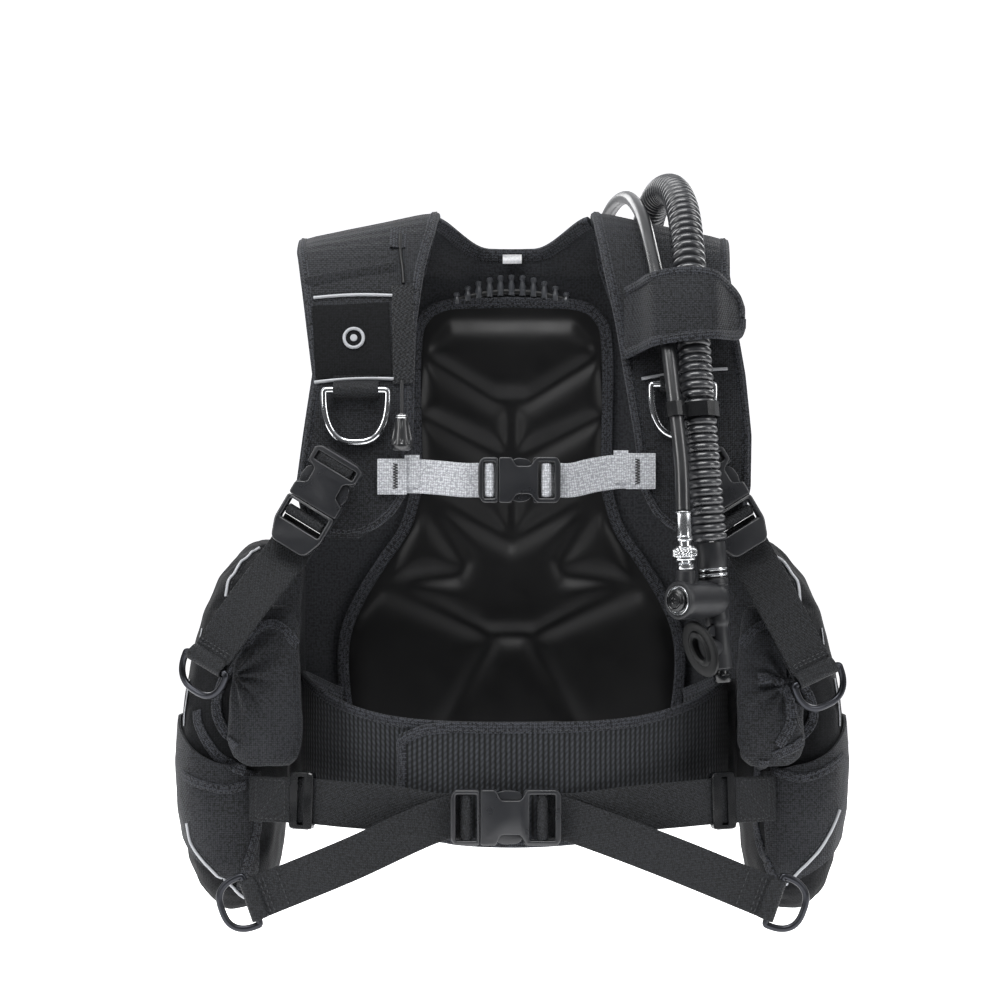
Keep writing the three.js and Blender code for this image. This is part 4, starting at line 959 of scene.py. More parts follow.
# ------------------------------------------------------------------------------------------ hoses and inflator
@dataclass
class Inflator:
    """The two hoses, the coupler, the valve body and the mouthpiece."""

    air_route: tuple[Point, ...] = (
        (128, 150, -70), (128, 128, -20), (131, 92, 14), (138, 46, 32), (147, -2, 32), (153, -50, 12),
        (156, -94, -32), (157, -122, -88), (160, -140, -146), (164, -149, -205), (168, -153, -255), (171, -154, -289),
    )
    pressure_route: tuple[Point, ...] = (
        (146, -177, -262), (145, -171, -222), (139.5, -157, -165), (135, -141, -118), (130, -115, -72), (124, -76, -30),
        (117, -30, 8), (107, 16, 27), (96, 60, 24), (87, 102, 4), (82, 136, -34), (80, 153, -84), (79, 157, -140),
        (79, 158, -200), (79, 158, -262),
    )
    air_radius: float = 15.0
    rib_pitch: float = 7.7
    rib_depth: float = 3.2
    pressure_radius: float = 6.25
    port: np.ndarray = field(default_factory=lambda: unit((-0.722, -0.6919, 0)))
    body_axis: np.ndarray = field(default_factory=lambda: unit((0.0879, -0.0293, -0.9957)))
    body_top: np.ndarray = field(default_factory=lambda: np.array((171.0, -154.0, -289.0)))
    coupler_foot: np.ndarray = field(default_factory=lambda: np.array((148.0, -180.0, -312.8)))
    coupler_axis: np.ndarray = field(default_factory=lambda: unit((-0.0393, 0.0589, 0.9975)))
    mouth_out: np.ndarray = field(default_factory=lambda: np.array((-0.6, -0.8, 0.0)))

    def on_body(self, drop: float) -> np.ndarray:
        """A point down the middle of the valve body."""
        return self.body_top + self.body_axis * drop

    def hoses(self) -> None:
        """Makes both hoses, with the threaded fitting."""
        line = smooth_line(self.pressure_route, 150)
        hose = tube("low_pressure_hose", line, self.pressure_radius, GLOSS_RUBBER, ["pressure_hose"], sides=18)
        end = line[-1]
        down = unit(line[-1] - line[-2])
        hexagon = lambda a, h: 1 / math.cos((a % (math.pi / 3)) - math.pi / 6) * 0.95 if 19.5 < h < 27.5 else 1.0
        threads = [(4.7 - 0.35 * (k % 2), 29.5 + 0.75 * k) for k in range(11)]
        fitting = turned(
            "hose_fitting",
            [(0, 0.4), (6.9, 0.4), (7.5, 1), (7.5, 3), (7.1, 3.6), (7.5, 4.2), (7.5, 15), (7.1, 15.6), (7.5, 16.2), (7.5, 18),
             (8.6, 19), (9, 20), (9, 27), (8.6, 28), (5.4, 28.4), (4.4, 29), *threads, (3.4, 38), (0, 38)],
            end, down, CHROME, ["pressure_hose_fitting"], flutes=hexagon, sides=48,
        )
        ribs = round(length_of(smooth_line(self.air_route, 400)) / self.rib_pitch)
        per_rib = 12
        line = smooth_line(self.air_route, ribs * per_rib + 1)
        share = np.arange(len(line)) % per_rib / per_rib
        radius = self.air_radius - self.rib_depth * (1 - np.sin(math.pi * share) ** 0.62)
        hose = tube("corrugated_hose", line, radius, HOSE_RUBBER, ["air_hose"], sides=30)

    def elbow(self) -> None:
        """Makes the elbow that joins the air hose to the air cell."""
        line = smooth_line(self.air_route, 400)
        up = unit(line[0] - line[1])
        low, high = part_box("hose_elbow")
        face = low[1] / MM
        at = line[0]
        turned(
            "elbow_cuff", [(0, 0.6), (17.4, 0.6), (18, 1.4), (18, 4), (17, 4.8), (18, 5.6), (18, 11), (19, 14), (19, 32), (17, 34.5), (0, 35)],
            at, up, NYLON_66, ["hose_elbow"],
        )
        ridges = lambda a, h: 1.035 if math.cos(8 * a) > 0.5 and 4.5 < h < 11 else 1.0
        turned(
            "elbow_flange",
            [(0, 0), (29.5, 0), (30, 0.6), (30, 3.4), (29.2, 4), (25.5, 4.2), (25, 5), (24, 9.5), (22.5, 11), (16.5, 11.6),
             (16, 14), (16, at[1] - face), (0, at[1] - face)],
            (at[0], face, -96), (0, 1, 0), NYLON_66, sides=64, flutes=ridges,
        )

    def coupler(self) -> None:
        """Makes the chromed quick coupler and its sliding collar."""
        turned(
            "quick_coupler_stem",
            [(0, 0.4), (6.9, 0.4), (7.2, 1), (7.2, 4.6), (6.4, 5.4), (5.4, 6), (5.4, 24.4), (6.9, 25.2), (7.3, 26.4), (7.3, 28.2),
             (6.5, 29), (6.5, 47.4), (6.9, 48), (6.9, 49.4), (6.3, 50.1), (0, 50.1)],
            self.coupler_foot, self.coupler_axis, CHROME, ["coupler_stem"],
        )
        knurl = lambda a, h: 1 + 0.028 * math.copysign(1, math.sin(26 * a + 0.6 * h)) if 11.5 < h < 17.6 else 1.0
        turned(
            "quick_coupler_collar",
            [(6.2, 8), (8.6, 8), (9.0, 8.6), (9.0, 10.6), (10.0, 11.2), *[(10.3, 11.8 + 0.6 * k) for k in range(10)], (10.0, 18.2),
             (8.6, 18.8), (8.6, 20), (6.2, 20), (6.2, 8)],
            self.coupler_foot, self.coupler_axis, CHROME, ["coupler_collar"], sides=104, flutes=knurl,
        )

    def valve_body(self) -> None:
        """Makes the valve body: cuff, bands, tube, barrel, post and arm."""
        turned(
            "valve_tube",
            [(0, 0.4), (12.2, 0.4), (12.9, 1.2), (12.9, 21.6), (12.4, 22.4), (12.2, 22.6), (12.2, 32.4), (12.6, 33), (12.9, 34),
             (12.9, 36.4), (12.2, 37.2), (11.9, 38), (12.7, 39), (12.7, 42), (11.6, 43), (10.9, 43.6), (10.5, 60), (11, 66), (11, 71),
             (10.4, 72), (9.9, 73), (9.6, 75), (9.6, 96), (9.9, 97), (10.2, 98), (10, 99.6), (10, 109.6), (9.4, 110.4), (6.8, 110.6),
             (6.4, 110), (6.2, 106), (0, 106)],
            self.body_top, self.body_axis, NYLON_66, ["inflator_body"],
        )
        for k, (low, finish) in enumerate(((23.2, CHROME), (25.6, ABS), (28.0, CHROME), (30.4, ABS))):
            turned(
                f"cuff_band_{k}", [(12.1, low), (12.9, low + 0.1), (13.1, low + 0.7), (13.1, low + 1.5), (12.9, low + 2.0), (12.1, low + 2.1)],
                self.body_top, self.body_axis, finish,
            )
        middle = self.on_body(50)
        turned(
            "valve_barrel",
            [(0, -10.5), (6, -10), (11, -7.5), (14.4, -3), (15.8, 3), (16.1, 8), (16.1, 40), (16.5, 42), (16.5, 46.6), (15.9, 47.8),
             (14.8, 48.2), (13.4, 48), (12.9, 47), (12.6, 42), (11.6, 41), (11.2, 36), (0, 36)],
            middle, self.port, NYLON_66, sides=56,
        )
        face = middle + self.port * 48
        turned(
            "barrel_trim", [(11.2, -1.2), (12.6, -1.2), (12.9, -0.6), (12.9, 0.3), (12.5, 0.9), (11.7, 0.9), (11.2, 0.4), (11.2, -1.2)],
            face, self.port, CHROME, sides=56,
        )
        grip = lambda a, h: 1 - 0.03 * (math.cos(12 * a) > 0.6) if 1 < h < 4 else 1.0
        turned(
            "inflate_key",
            [(0, -7), (9.4, -7), (9.8, -6.4), (9.8, 2.6), (9.4, 3.8), (8.4, 4.6), (7.6, 4.8), (7.2, 4.4), (6.6, 4.4), (6.2, 4.8),
             (3.0, 5.1), (2.6, 4.7), (2.0, 4.7), (1.6, 5.1), (0, 5.1)],
            face, self.port, ABS, ["inflate_button"], flutes=grip, sides=72,
        )
        turned(
            "exhaust_key",
            [(0, 0.5), (5.2, 0.5), (5.4, 1.6), (5.4, 3), (7.2, 3.4), (7.8, 4.2), (7.8, 9.4), (7.2, 10.4), (6.2, 10.6), (5.8, 10.2), (0, 10.2)],
            self.on_body(112) - self.body_axis * 0.2, self.body_axis, ABS, ["exhaust_button"],
        )
        foot = self.coupler_foot
        turned(
            "coupler_post", [(11, -22), (9.6, -18), (8.6, -13), (8.3, -4), (8.0, -1), (7.4, -0.4), (0, -0.4)],
            foot, (0, 0, 1), NYLON_66,
        )
        self.mouthpiece()

    def oval(
        self, name: str, at: Point, wide: Point, out: Point, rings: Sequence[tuple[float, float, float]], finish: Finish,
        stands_for: Sequence[str] = (),
    ) -> bpy.types.Object:
        """Skins ovals of half width, half height and place along out; the last may close on a point.

        Args:
            name: the piece's name.
            at: where place 0 is.
            wide: the way of the half height, the long way.
            out: the way that the places run.
            rings: half width, half height and place of each oval.
            finish: its finish.
            stands_for: the nodes that it stands for.

        Returns:
            The piece.
        """
        out, tall = unit(out), unit(wide)
        tall = unit(tall - out * float(out @ tall))
        side = np.cross(tall, out)
        a = np.linspace(0, 2 * math.pi, 48, endpoint=False)[:, None]
        rows = [np.asarray(at) + out * h + np.cos(a) * side * w + np.sin(a) * tall * t for w, t, h in rings]
        points, faces = lofted(np.array(rows))
        return piece(name, points, faces, finish, stands_for, sharp=40)

    def mouthpiece(self) -> None:
        """Makes the arm, its web and the oval rubber mouthpiece with its slot."""
        at = self.on_body(92) + self.mouth_out * 28.4
        wide = (0.7, -0.525, 0.48)
        long_way = np.cross(self.mouth_out, unit(wide))
        self.oval(
            "mouth_arm", at, long_way, self.mouth_out,
            [(7.4, 7.4, -29), (7.4, 7.6, -20), (7.8, 8.6, -14), (8.6, 11, -8), (9.3, 13, -3), (9.4, 13.6, -1), (0.1, 0.1, -1)],
            NYLON_66,
        )
        self.oval(
            "mouth_flange", at, long_way, self.mouth_out,
            [(8.8, 14.2, -9.6), (9.6, 15.2, -9), (9.6, 15.2, -4), (11, 18, -1.2), (13.8, 24.2, -0.6), (14.9, 25.5, 0.6), (15.1, 25.8, 2.2),
             (14.7, 25.3, 3.6), (13.4, 23.8, 4.3), (8.8, 17, 4.0), (8.1, 16.1, 5.5), (7.0, 14.8, 6.2), (5.6, 12.8, 6.0),
             (4.3, 10.8, 5.2), (3.7, 9.8, 3), (3.5, 9.4, -3), (0.1, 0.1, -3)],
            SILICONE, ["mouthpiece"],
        )
        top, out = self.on_body(72), self.on_body(86)
        web = [top - self.body_axis * 3, self.on_body(84), at + np.array((2.5, 4, 12)), at + np.array((6, 8, 18)) ]
        thick = unit(np.cross(web[1] - web[0], web[2] - web[0])) * 2.2
        points = [p + thick * s for s in (-1, 1) for p in web]
        faces = [(0, 1, 2, 3), (7, 6, 5, 4), (0, 4, 5, 1), (1, 5, 6, 2), (2, 6, 7, 3), (3, 7, 4, 0)]
        made = piece("mouth_web", points, faces, NYLON_66)
        soft = made.modifiers.new("edges", "BEVEL")
        soft.width, soft.segments = 1.2 * MM, 3

    def build(self) -> None:
        """Makes everything in order."""
        self.hoses()
        self.elbow()
        self.coupler()
        self.valve_body()
        bevelled("hose_clip", ABS, 0.5)


# ------------------------------------------------------------------------------------------ back
BACK_DEPTH = 86.0


def back_y(x: float | np.ndarray) -> float | np.ndarray:
    """How far back the panel's front face lies at x."""
    return BACK_DEPTH - 0.0011 * x * x


@dataclass
class BackPad:
    """The moulded foam pad: raised cells on a bound base."""

    rows: tuple[tuple[float, float], ...] = (
        (-66, 62), (-72, 78), (-86, 90), (-110, 94), (-240, 94), (-255, 97), (-281, 106), (-307, 124), (-340, 145), (-375, 160),
        (-410, 163), (-460, 156), (-500, 140), (-530, 112), (-540, 86),
    )
    thick: float = 15.0
    base: float = 6.0
    shoulder: float = 20.0  # how wide the rounded edge of a cell is
    step: float = 2.2
    cells: tuple[tuple[tuple[float, float], ...], ...] = (
        ((-58, -87), (58, -87), (77, -108), (77, -116), (17, -153), (-17, -153), (-77, -116), (-77, -108)),
        ((-81, -124), (-7, -170), (-7, -205), (-85, -170)),
        ((-84, -179), (-6.5, -225), (-6.5, -281), (-82, -235)),
        ((-66, -264), (0, -299), (66, -264), (40, -311), (47, -329), (95, -334), (22, -376), (-22, -376), (-95, -334), (-47, -329),
         (-40, -311)),
        ((-84, -268), (-47, -317), (-110, -325), (-104, -304)),
        ((-122, -341), (-23, -384), (-58, -460), (-76, -502), (-132, -494), (-150, -466), (-153, -399), (-142, -364)),
        ((-14, -385), (14, -385), (61, -465), (78, -508), (-78, -508), (-61, -465)),
    )

    def half(self, z: float) -> float:
        """Half the pad's width at a height."""
        return between(self.rows, z)

    @staticmethod
    def inside(polygon: np.ndarray, at: np.ndarray) -> np.ndarray:
        """How far points lie inside a polygon; negative outside it."""
        best = np.full(len(at), np.inf)
        odd = np.zeros(len(at), bool)
        for a, b in zip(polygon, np.roll(polygon, -1, axis=0)):
            d = b - a
            t = np.clip(((at - a) @ d) / (d @ d), 0, 1)
            best = np.minimum(best, np.linalg.norm(at - a - t[:, None] * d, axis=1))
            crosses = (a[1] > at[:, 1]) != (b[1] > at[:, 1])
            where = a[0] + (at[:, 1] - a[1]) / (b[1] - a[1] + 1e-12) * d[0]
            odd ^= crosses & (at[:, 0] < where)
        return np.where(odd, best, -best)

    def relief(self, at: np.ndarray) -> np.ndarray:
        """How high the foam stands above its base, from 0 to 1."""
        high = np.zeros(len(at))
        for cell in self.cells:
            shape = np.array(cell, float)
            shapes = [shape] if abs(shape[:, 0].sum()) < 1 else [shape, shape * (-1, 1)]
            for polygon in shapes:
                deep = self.inside(polygon, at) + 2.0
                share = np.clip(deep / self.shoulder, 0, 1)
                high = np.maximum(high, (1 - (1 - share) ** 2.2) ** 0.75 + 0.08 * np.clip(deep / 45, 0, 1))
        return high

    @staticmethod
    def softened(high: np.ndarray) -> np.ndarray:
        """The relief with its corners rounded, each height shared with those beside it."""
        for axis in (0, 1) * 7:
            high = (np.roll(high, 1, axis) + 2 * high + np.roll(high, -1, axis)) / 4
        return high

    def build(self) -> None:
        """Makes the pad, its edge binding and stitching."""
        tall = np.arange(self.rows[0][0], self.rows[-1][0] - 0.1, -self.step)
        wide = 150
        u = np.linspace(-1, 1, wide)
        half = np.array([self.half(z) for z in tall])
        x = half[:, None] * u[None, :]
        z = np.repeat(tall[:, None], wide, axis=1)
        flat = np.stack([x.ravel(), z.ravel()], axis=1)
        edge = np.minimum((1 - np.abs(u))[None, :] * half[:, None], np.minimum(tall[0] - tall, tall - tall[-1])[:, None] + 2)
        rise = np.sqrt(np.clip(edge / 5, 0, 1)).ravel() * self.base
        high = self.softened(self.relief(flat).reshape(x.shape)).ravel()
        out = 1.6 + rise + (self.thick - self.base - 1.6) * high * np.clip(edge.ravel() / 9, 0, 1)
        front = np.stack([flat[:, 0], back_y(flat[:, 0]) - out, flat[:, 1]], axis=1)
        rear = np.stack([flat[:, 0], back_y(flat[:, 0]) - 1.4, flat[:, 1]], axis=1)
        n, rows = wide, len(tall)
        faces = [(r * n + k, r * n + k + 1, (r + 1) * n + k + 1, (r + 1) * n + k) for r in range(rows - 1) for k in range(n - 1)]
        size = len(front)
        back = [tuple(size + k for k in reversed(f)) for f in faces]
        rim = [r * n for r in range(rows)] + [(rows - 1) * n + k for k in range(1, n)]
        rim += [r * n + n - 1 for r in range(rows - 2, -1, -1)] + list(range(n - 2, 0, -1))
        sides = [(a, b, size + b, size + a) for a, b in zip(rim, rim[1:] + rim[:1])]
        pad = piece("moulded_pad", np.vstack([front, rear]), faces + back + sides, FOAM, ["back_pad"], sharp=80)
        self.edge_tape()

    def edge_tape(self) -> None:
        """Makes the tape round the pad's edge."""
        right = [(-h, z) for z, h in self.rows]
        outline = [(0, -63), (-40, -64.5), *right, (-40, -546), (0, -547)]
        outline += [(-x, z) for x, z in outline[-2:0:-1]]
        line = [(x * 0.985, back_y(x) - 6.2, z) for x, z in outline]
        line = smooth_line([*line, line[0]], 420)
        inward = -unit_rows(line * (1, 0, 1) - (0, 0, -300))
        t = tangents(line)
        across = np.cross(t, (0, -1, 0))
        across *= np.sign((across * inward).sum(1, keepdims=True))
        tape = ribbon("pad_edge_tape", line + across * 2.5, across, 11, 3.4, BINDING, crown=0.8)
        seat = Skin(tape)
        rows = [np.array([seat.near(p + (0, -6, 0), 0.25) for p in line + across * s]) for s in (5.6, -0.5)]
        sewn("pad_edge_stitches", rows)


def unit_rows(v: np.ndarray) -> np.ndarray:
    """Each row of an array at length one."""
    return v / np.maximum(np.linalg.norm(v, axis=1, keepdims=True), 1e-9)


@dataclass
class BackPanel:
    """The woven panel behind the pad, with its bound neck edge, label and rubber comb."""

    rows: tuple[tuple[float, float], ...] = (
        (-84, 112), (-106, 136), (-150, 146), (-200, 148), (-250, 155), (-290, 184), (-320, 197), (-400, 200), (-480, 198),
        (-540, 184), (-562, 150),
    )
    thick: float = 5.0
    neck_half: float = 70.0
    ribs: int = 11
    pitch: float = 10.4

    def neck(self, share: float) -> np.ndarray:
        """A point on the neck edge, from -1 at the wearer's right to 1."""
        drop = math.sin(math.pi / 2 * min(1.0, (1 - abs(share)) / 0.74)) ** 1.4
        return np.array((self.neck_half * share, 18 + 64 * drop, 7 - 24 * drop))

    def place(self, across: float, down: float) -> np.ndarray:
        """A point on the front face; down is 0 at the neck edge, 1 at the row below it and then follows the rows."""
        if down < 1:
            edge = self.neck(across)
            x = self.rows[0][1] * across
            foot = np.array((x, back_y(x), self.rows[0][0]))
            at = edge + (foot - edge) * down
            at[0] = edge[0] + (foot[0] - edge[0]) * down**0.5
            at[1] = edge[1] + (foot[1] - edge[1]) * min(1, 2.2 * down)
            return at
        z, half = (float(np.interp(down - 1, range(len(self.rows)), [r[k] for r in self.rows])) for k in (0, 1))
        return np.array((half * across, back_y(half * across), z))

    def build(self) -> None:
        """Makes the panel and what is sewn on it."""
        levels = np.concatenate([np.linspace(0, 1, 26)[:-1], np.linspace(1, len(self.rows), 110)])
        shares = np.linspace(-1, 1, 61)
        grid = np.array([[self.place(s, d) for s in shares] for d in levels])
        for r, d in enumerate(levels):
            for k, s in enumerate(shares):
                x, _, z = grid[r, k]
                grid[r, k, 1] -= 0.9 * rumple((x, 0, z), 38, (1, 1, 2.4)) * min(1, 2 * d) * (1 - abs(s) ** 6)
        widths = np.cumsum(np.pad(np.linalg.norm(np.diff(grid, axis=1), axis=2), ((0, 0), (1, 0))), axis=1)
        lengths = np.cumsum(np.pad(np.linalg.norm(np.diff(grid, axis=0), axis=2), ((1, 0), (0, 0))), axis=0)
        front = grid.reshape(-1, 3)
        rear = front + (0, self.thick, 0)
        rows, n = grid.shape[:2]
        faces = [(r * n + k, r * n + k + 1, (r + 1) * n + k + 1, (r + 1) * n + k) for r in range(rows - 1) for k in range(n - 1)]
        size = len(front)
        rim = [r * n for r in range(rows)] + [(rows - 1) * n + k for k in range(1, n)]
        rim += [r * n + n - 1 for r in range(rows - 2, -1, -1)] + list(range(n - 2, 0, -1))
        sides = [(a, b, size + b, size + a) for a, b in zip(rim, rim[1:] + rim[:1])]
        flat = np.stack([widths.ravel(), lengths.ravel()], axis=1)
        back = [tuple(size + k for k in reversed(f)) for f in faces]
        panel = piece(
            "harness_panel", np.vstack([front, rear]), faces + back + sides, LINING, ["back_panel"], lengths=np.vstack([flat, flat])
        )
        self.neck_tape()
        self.label()
        self.comb()

    def neck_tape(self) -> None:
        """Makes the wide bound edge round the neck, with a stitched inner line."""
        shares = np.linspace(-1, 1, 90)
        line = np.array([self.place(s, 0.0) for s in shares])
        inner = np.array([self.place(s, 0.14) for s in shares])
        across = unit_rows(inner - line)
        ribbon("neck_tape", line + across * 4.5 + (0, 2.5, 0), across, 14, self.thick + 2.2, BINDING, crown=0.6)
        low = np.array([self.place(s, 0.34) for s in shares])
        sewn("neck_stitches", [line + across * 9.5 - (0, 1.5, 0), low - (0, 1.2, 0)], DARK_THREAD)

    def label(self) -> None:
        """Makes the blank care label folded under the neck tape."""
        top, low = self.place(0, 0.1), self.place(0, 0.25)
        y = min(top[1], low[1]) - 5.5
        line = np.array([(0.6, y + 0.6 * math.sin(k), -20.5 - 1.2 * k) for k in range(8)])
        ribbon("care_label", line, (1, 0, 0.06), 18, 0.6, LABEL)

    def comb(self) -> None:
        """Makes the row of rubber ribs over the pad: each a waisted peg with a round head."""
        half = (self.ribs - 1) / 2 * self.pitch
        for k in range(self.ribs):
            x = (k - (self.ribs - 1) / 2) * self.pitch
            arch = 10 * (1 - (x / (half + 4.6)) ** 2)
            tall = 17 * (1 - 0.5 * (x / half) ** 2)
            base = (x, back_y(x) - 5.6, -66 + arch - 3)
            rib = [(0, 0), (3.3, 0), (3.4, tall * 0.35), (3.0, tall * 0.6), (2.2, tall * 0.78), (2.2, tall * 0.86), (3.0, tall * 0.95),
                   (2.9, tall + 1.6), (2.0, tall + 2.6), (0, tall + 3)]
            turned(f"comb_rib_{k}", rib, base, (0, 0.06, 1), COMB_RUBBER, ["pad_rib_comb"] if k == 0 else (), sides=16)
        line = np.array([(x, back_y(x) - 5.4, -65.5 + 10 * (1 - (x / (half + 4.6)) ** 2)) for x in np.linspace(-half - 4, half + 4, 50)])
        ribbon("comb_base", line, (0, 0.1, 1), 6, 4.2, SILICONE)


# ------------------------------------------------------------------------------------------ buckles
def rounded(corners: Sequence[tuple[float, float]], radius: float, steps: int = 6) -> list[tuple[float, float]]:
    """An outline with its corners rounded.

    Args:
        corners: the corners in order.
        radius: how round they are.
        steps: points on each corner.

    Returns:
        The outline's points.
    """
    made = []
    n = len(corners)
    for i in range(n):
        before, at, after = (np.array(corners[(i + k) % n], float) for k in (-1, 0, 1))
        a, b = before - at, after - at
        reach = min(radius, np.linalg.norm(a) / 2.05, np.linalg.norm(b) / 2.05)
        start, end = at + a / np.linalg.norm(a) * reach, at + b / np.linalg.norm(b) * reach
        for t in np.linspace(0, 1, steps):
            made.append(tuple((1 - t) ** 2 * start + 2 * t * (1 - t) * at + t**2 * end))
    return made


def box_outline(x0: float, x1: float, half: float, radius: float) -> list[tuple[float, float]]:
    """A rounded box that is as high above the middle line as below it."""
    return rounded([(x0, -half), (x1, -half), (x1, half), (x0, half)], radius)


def stamped(
    name: str,
    outline: Sequence[tuple[float, float]],
    holes: Sequence[Sequence[tuple[float, float]]],
    span: tuple[float, float],
    soft: float,
    seat: Matrix,
    finish: Finish,
    stands_for: Sequence[str] = (),
    body: str = "",
) -> bpy.types.Object:
    """A flat moulding with holes and rounded edges.

    Args:
        name: the piece's name.
        outline: its outline.
        holes: the outlines of its holes.
        span: where its back and its front lie along its own z.
        soft: how round its edges are.
        seat: its frame, in millimetres.
        finish: its finish.
        stands_for: the nodes that it stands for.
        body: the body that it rides on.

    Returns:
        The piece.
    """
    curve = bpy.data.curves.new(name, "CURVE")
    curve.dimensions, curve.fill_mode = "2D", "BOTH"
    curve.extrude = ((span[1] - span[0]) / 2 - soft) * MM
    curve.bevel_depth, curve.bevel_resolution, curve.offset = soft * MM, 3, -soft * MM
    area = lambda loop: sum(a[0] * b[1] - b[0] * a[1] for a, b in zip(loop, [*loop[1:], loop[0]]))
    for k, loop in enumerate((outline, *holes)):
        ordered = loop if (area(loop) > 0) == (k == 0) else loop[::-1]
        spline = curve.splines.new("POLY")
        spline.points.add(len(ordered) - 1)
        for point, (x, y) in zip(spline.points, ordered):
            point.co = (x * MM, y * MM, 0, 1)
        spline.use_cyclic_u = True
    drawn = bpy.data.objects.new(name + "_outline", curve)
    bpy.context.scene.collection.objects.link(drawn)
    mesh = bpy.data.meshes.new_from_object(drawn.evaluated_get(bpy.context.evaluated_depsgraph_get()))
    bpy.data.objects.remove(drawn)
    lift = Matrix.Translation((0, 0, (span[0] + span[1]) / 2))
    points = [seat @ lift @ (v.co / MM) for v in mesh.vertices]
    made = piece(name, points, [list(p.vertices) for p in mesh.polygons], finish, stands_for, body, sharp=32)
    b = bmesh.new()
    b.from_mesh(made.data)
    bmesh.ops.remove_doubles(b, verts=b.verts, dist=0.00001)
    bmesh.ops.recalc_face_normals(b, faces=b.faces)
    b.to_mesh(made.data)
    b.free()
    return made


def seat_at(origin: Point, along: Point, out: Point) -> Matrix:
    """A frame at a place, its x along and its z out."""
    x = unit(along)
    z = unit(np.asarray(out, float) - x * float(np.dot(out, x)))
    y = np.cross(z, x)
    return Matrix([[x[k], y[k], z[k], origin[k]] for k in range(3)] + [[0, 0, 0, 1]])


@dataclass
class Buckle:
    """A side-release buckle: a female housing with finger scoops, and a male frame with two sprung arms."""

    node: str  # node names without the half's word, such as waist_buckle
    tail: str  # what follows the half's word
    seat: Matrix
    web: float
    thick: float
    housing: float
    frame: float
    lip: float = 0.0
    bar: bool = True  # whether the female half has a middle bar
    female_frame: float | None = None
    narrow: float = 0.0

    def label(self, half: str) -> str:
        """The node's name for a half."""
        return f"{self.node}_{half}{self.tail}"

    def female(self) -> None:
        """Makes the housing as two plates with the arms' hollow between them, and its webbing frame."""
        node = self.label("female")
        body = NODES[node]["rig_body"]
        half, h, front = self.web / 2 + 5, self.housing, self.thick / 2
        frame = self.frame if self.female_frame is None else self.female_frame
        end = h + frame
        a0, a1, d = 0.3 * h, 0.92 * h, 0.19 * half * 2
        top = [(0, half), (a0, half), (a0 + 4.5, half - d), (a1 - 5.5, half - d), (a1, half), (end - 3, half), (end, half - 5)]
        outline = rounded([(x, -y) for x, y in top] + top[::-1], 2.6)
        window = box_outline(h - 1.5, end - 5.0, self.web / 2 + 1, 1.6)
        for k, span in enumerate(((front - 3.0, front), (-front, -front + 2.6))):
            stamped(
                f"{node}_plate_{k}", outline, [window], span, 1.15 if k == 0 else 0.7, self.seat, ACETAL,
                [node] if k == 0 else (), body,
            )
        core = rounded([(h - 6, -half), (end - 3, -half), (end, 5 - half), (end, half - 5), (end - 3, half), (h - 6, half)], 2.4)
        stamped(f"{node}_frame", core, [window], (-front + 1.2, front - 1.2), 0.5, self.seat, ACETAL, body=body)
        for s in (-1, 1):
            rail = [(x, s * (half - 0.9) + y) for x, y in box_outline(0.6, a0 + 0.5, 0.8, 0.5)]
            stamped(f"{node}_rail_{'up' if s > 0 else 'down'}", rail, [], (-front + 2, front - 2), 0.3, self.seat, ACETAL, body=body)
        if self.bar:
            self.middle_bar(f"{node}_bar", (h - 1.5 + end - 5.0) / 2, body)

    def middle_bar(self, name: str, x: float, body: str) -> None:
        """Makes the bar that the webbing turns round."""
        ends = [self.seat @ Vector((x, y, -0.4)) for y in (-self.web / 2 - 2, self.web / 2 + 2)]
        tube(name, respaced(np.array(ends), 4), 2.1, ACETAL, body=body, sides=12)

    def male(self) -> None:
        """Makes the frame, its bar and lip, and the two arms with their thumb pads."""
        node = self.label("male")
        body = NODES[node]["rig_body"]
        half, front, f = self.web / 2 + 5, self.thick / 2, self.frame
        tip = half * (1 - self.narrow)
        far = -f - self.lip
        if self.lip:
            corners = [(far, -tip + 4), (far + 3, -tip), (-f + 2, -half), (-0.5, -half), (-0.5, half), (-f + 2, half), (far + 3, tip), (far, tip - 4)]
        else:
            corners = [(far, -half + 6), (far + 3.5, -half), (-0.5, -half), (-0.5, half), (far + 3.5, half), (far, half - 6)]
        window = box_outline(-f + 4.6, -3.2, self.web / 2 + 1, 1.6)
        stamped(f"{node}_frame", rounded(corners, 3.2), [window], (-front, front), 1.5, self.seat, ACETAL, [node], body)
        self.middle_bar(f"{node}_bar", (-f + 4.6 - 3.2) / 2, body)
        reach, deep = self.housing - 8, self.thick / 2 - 3.3
        inner = self.web / 2 - 8
        arm = [(-1.5, inner), (8, inner + 0.4), (reach * 0.55, inner + 2.6), (reach, inner + 4), (reach + 1, inner + 7.5),
               (reach - 3, half - 1.6), (reach * 0.62, half - 0.4), (reach * 0.42, half - 2.2), (8, inner + 4.6), (-1.5, inner + 4.6)]
        for s in (-1, 1):
            side = [(x, s * y) for x, y in arm]
            stamped(f"{node}_arm_{'up' if s > 0 else 'down'}", rounded(side, 2.2), [], (-deep, deep), 0.7, self.seat, ACETAL, body=body)
        stamped(f"{node}_tongue", box_outline(-1.5, reach * 0.8, 3, 1.2), [], (-deep, deep), 0.5, self.seat, ACETAL, body=body)

    def build(self) -> None:
        """Makes both halves."""
        self.female()
        self.male()

    def bar_at(self, female: bool) -> float:
        """Where a half's middle bar lies along the buckle."""
        return self.housing + self.frame / 2 - 3.25 if female else -self.frame / 2 + 0.7


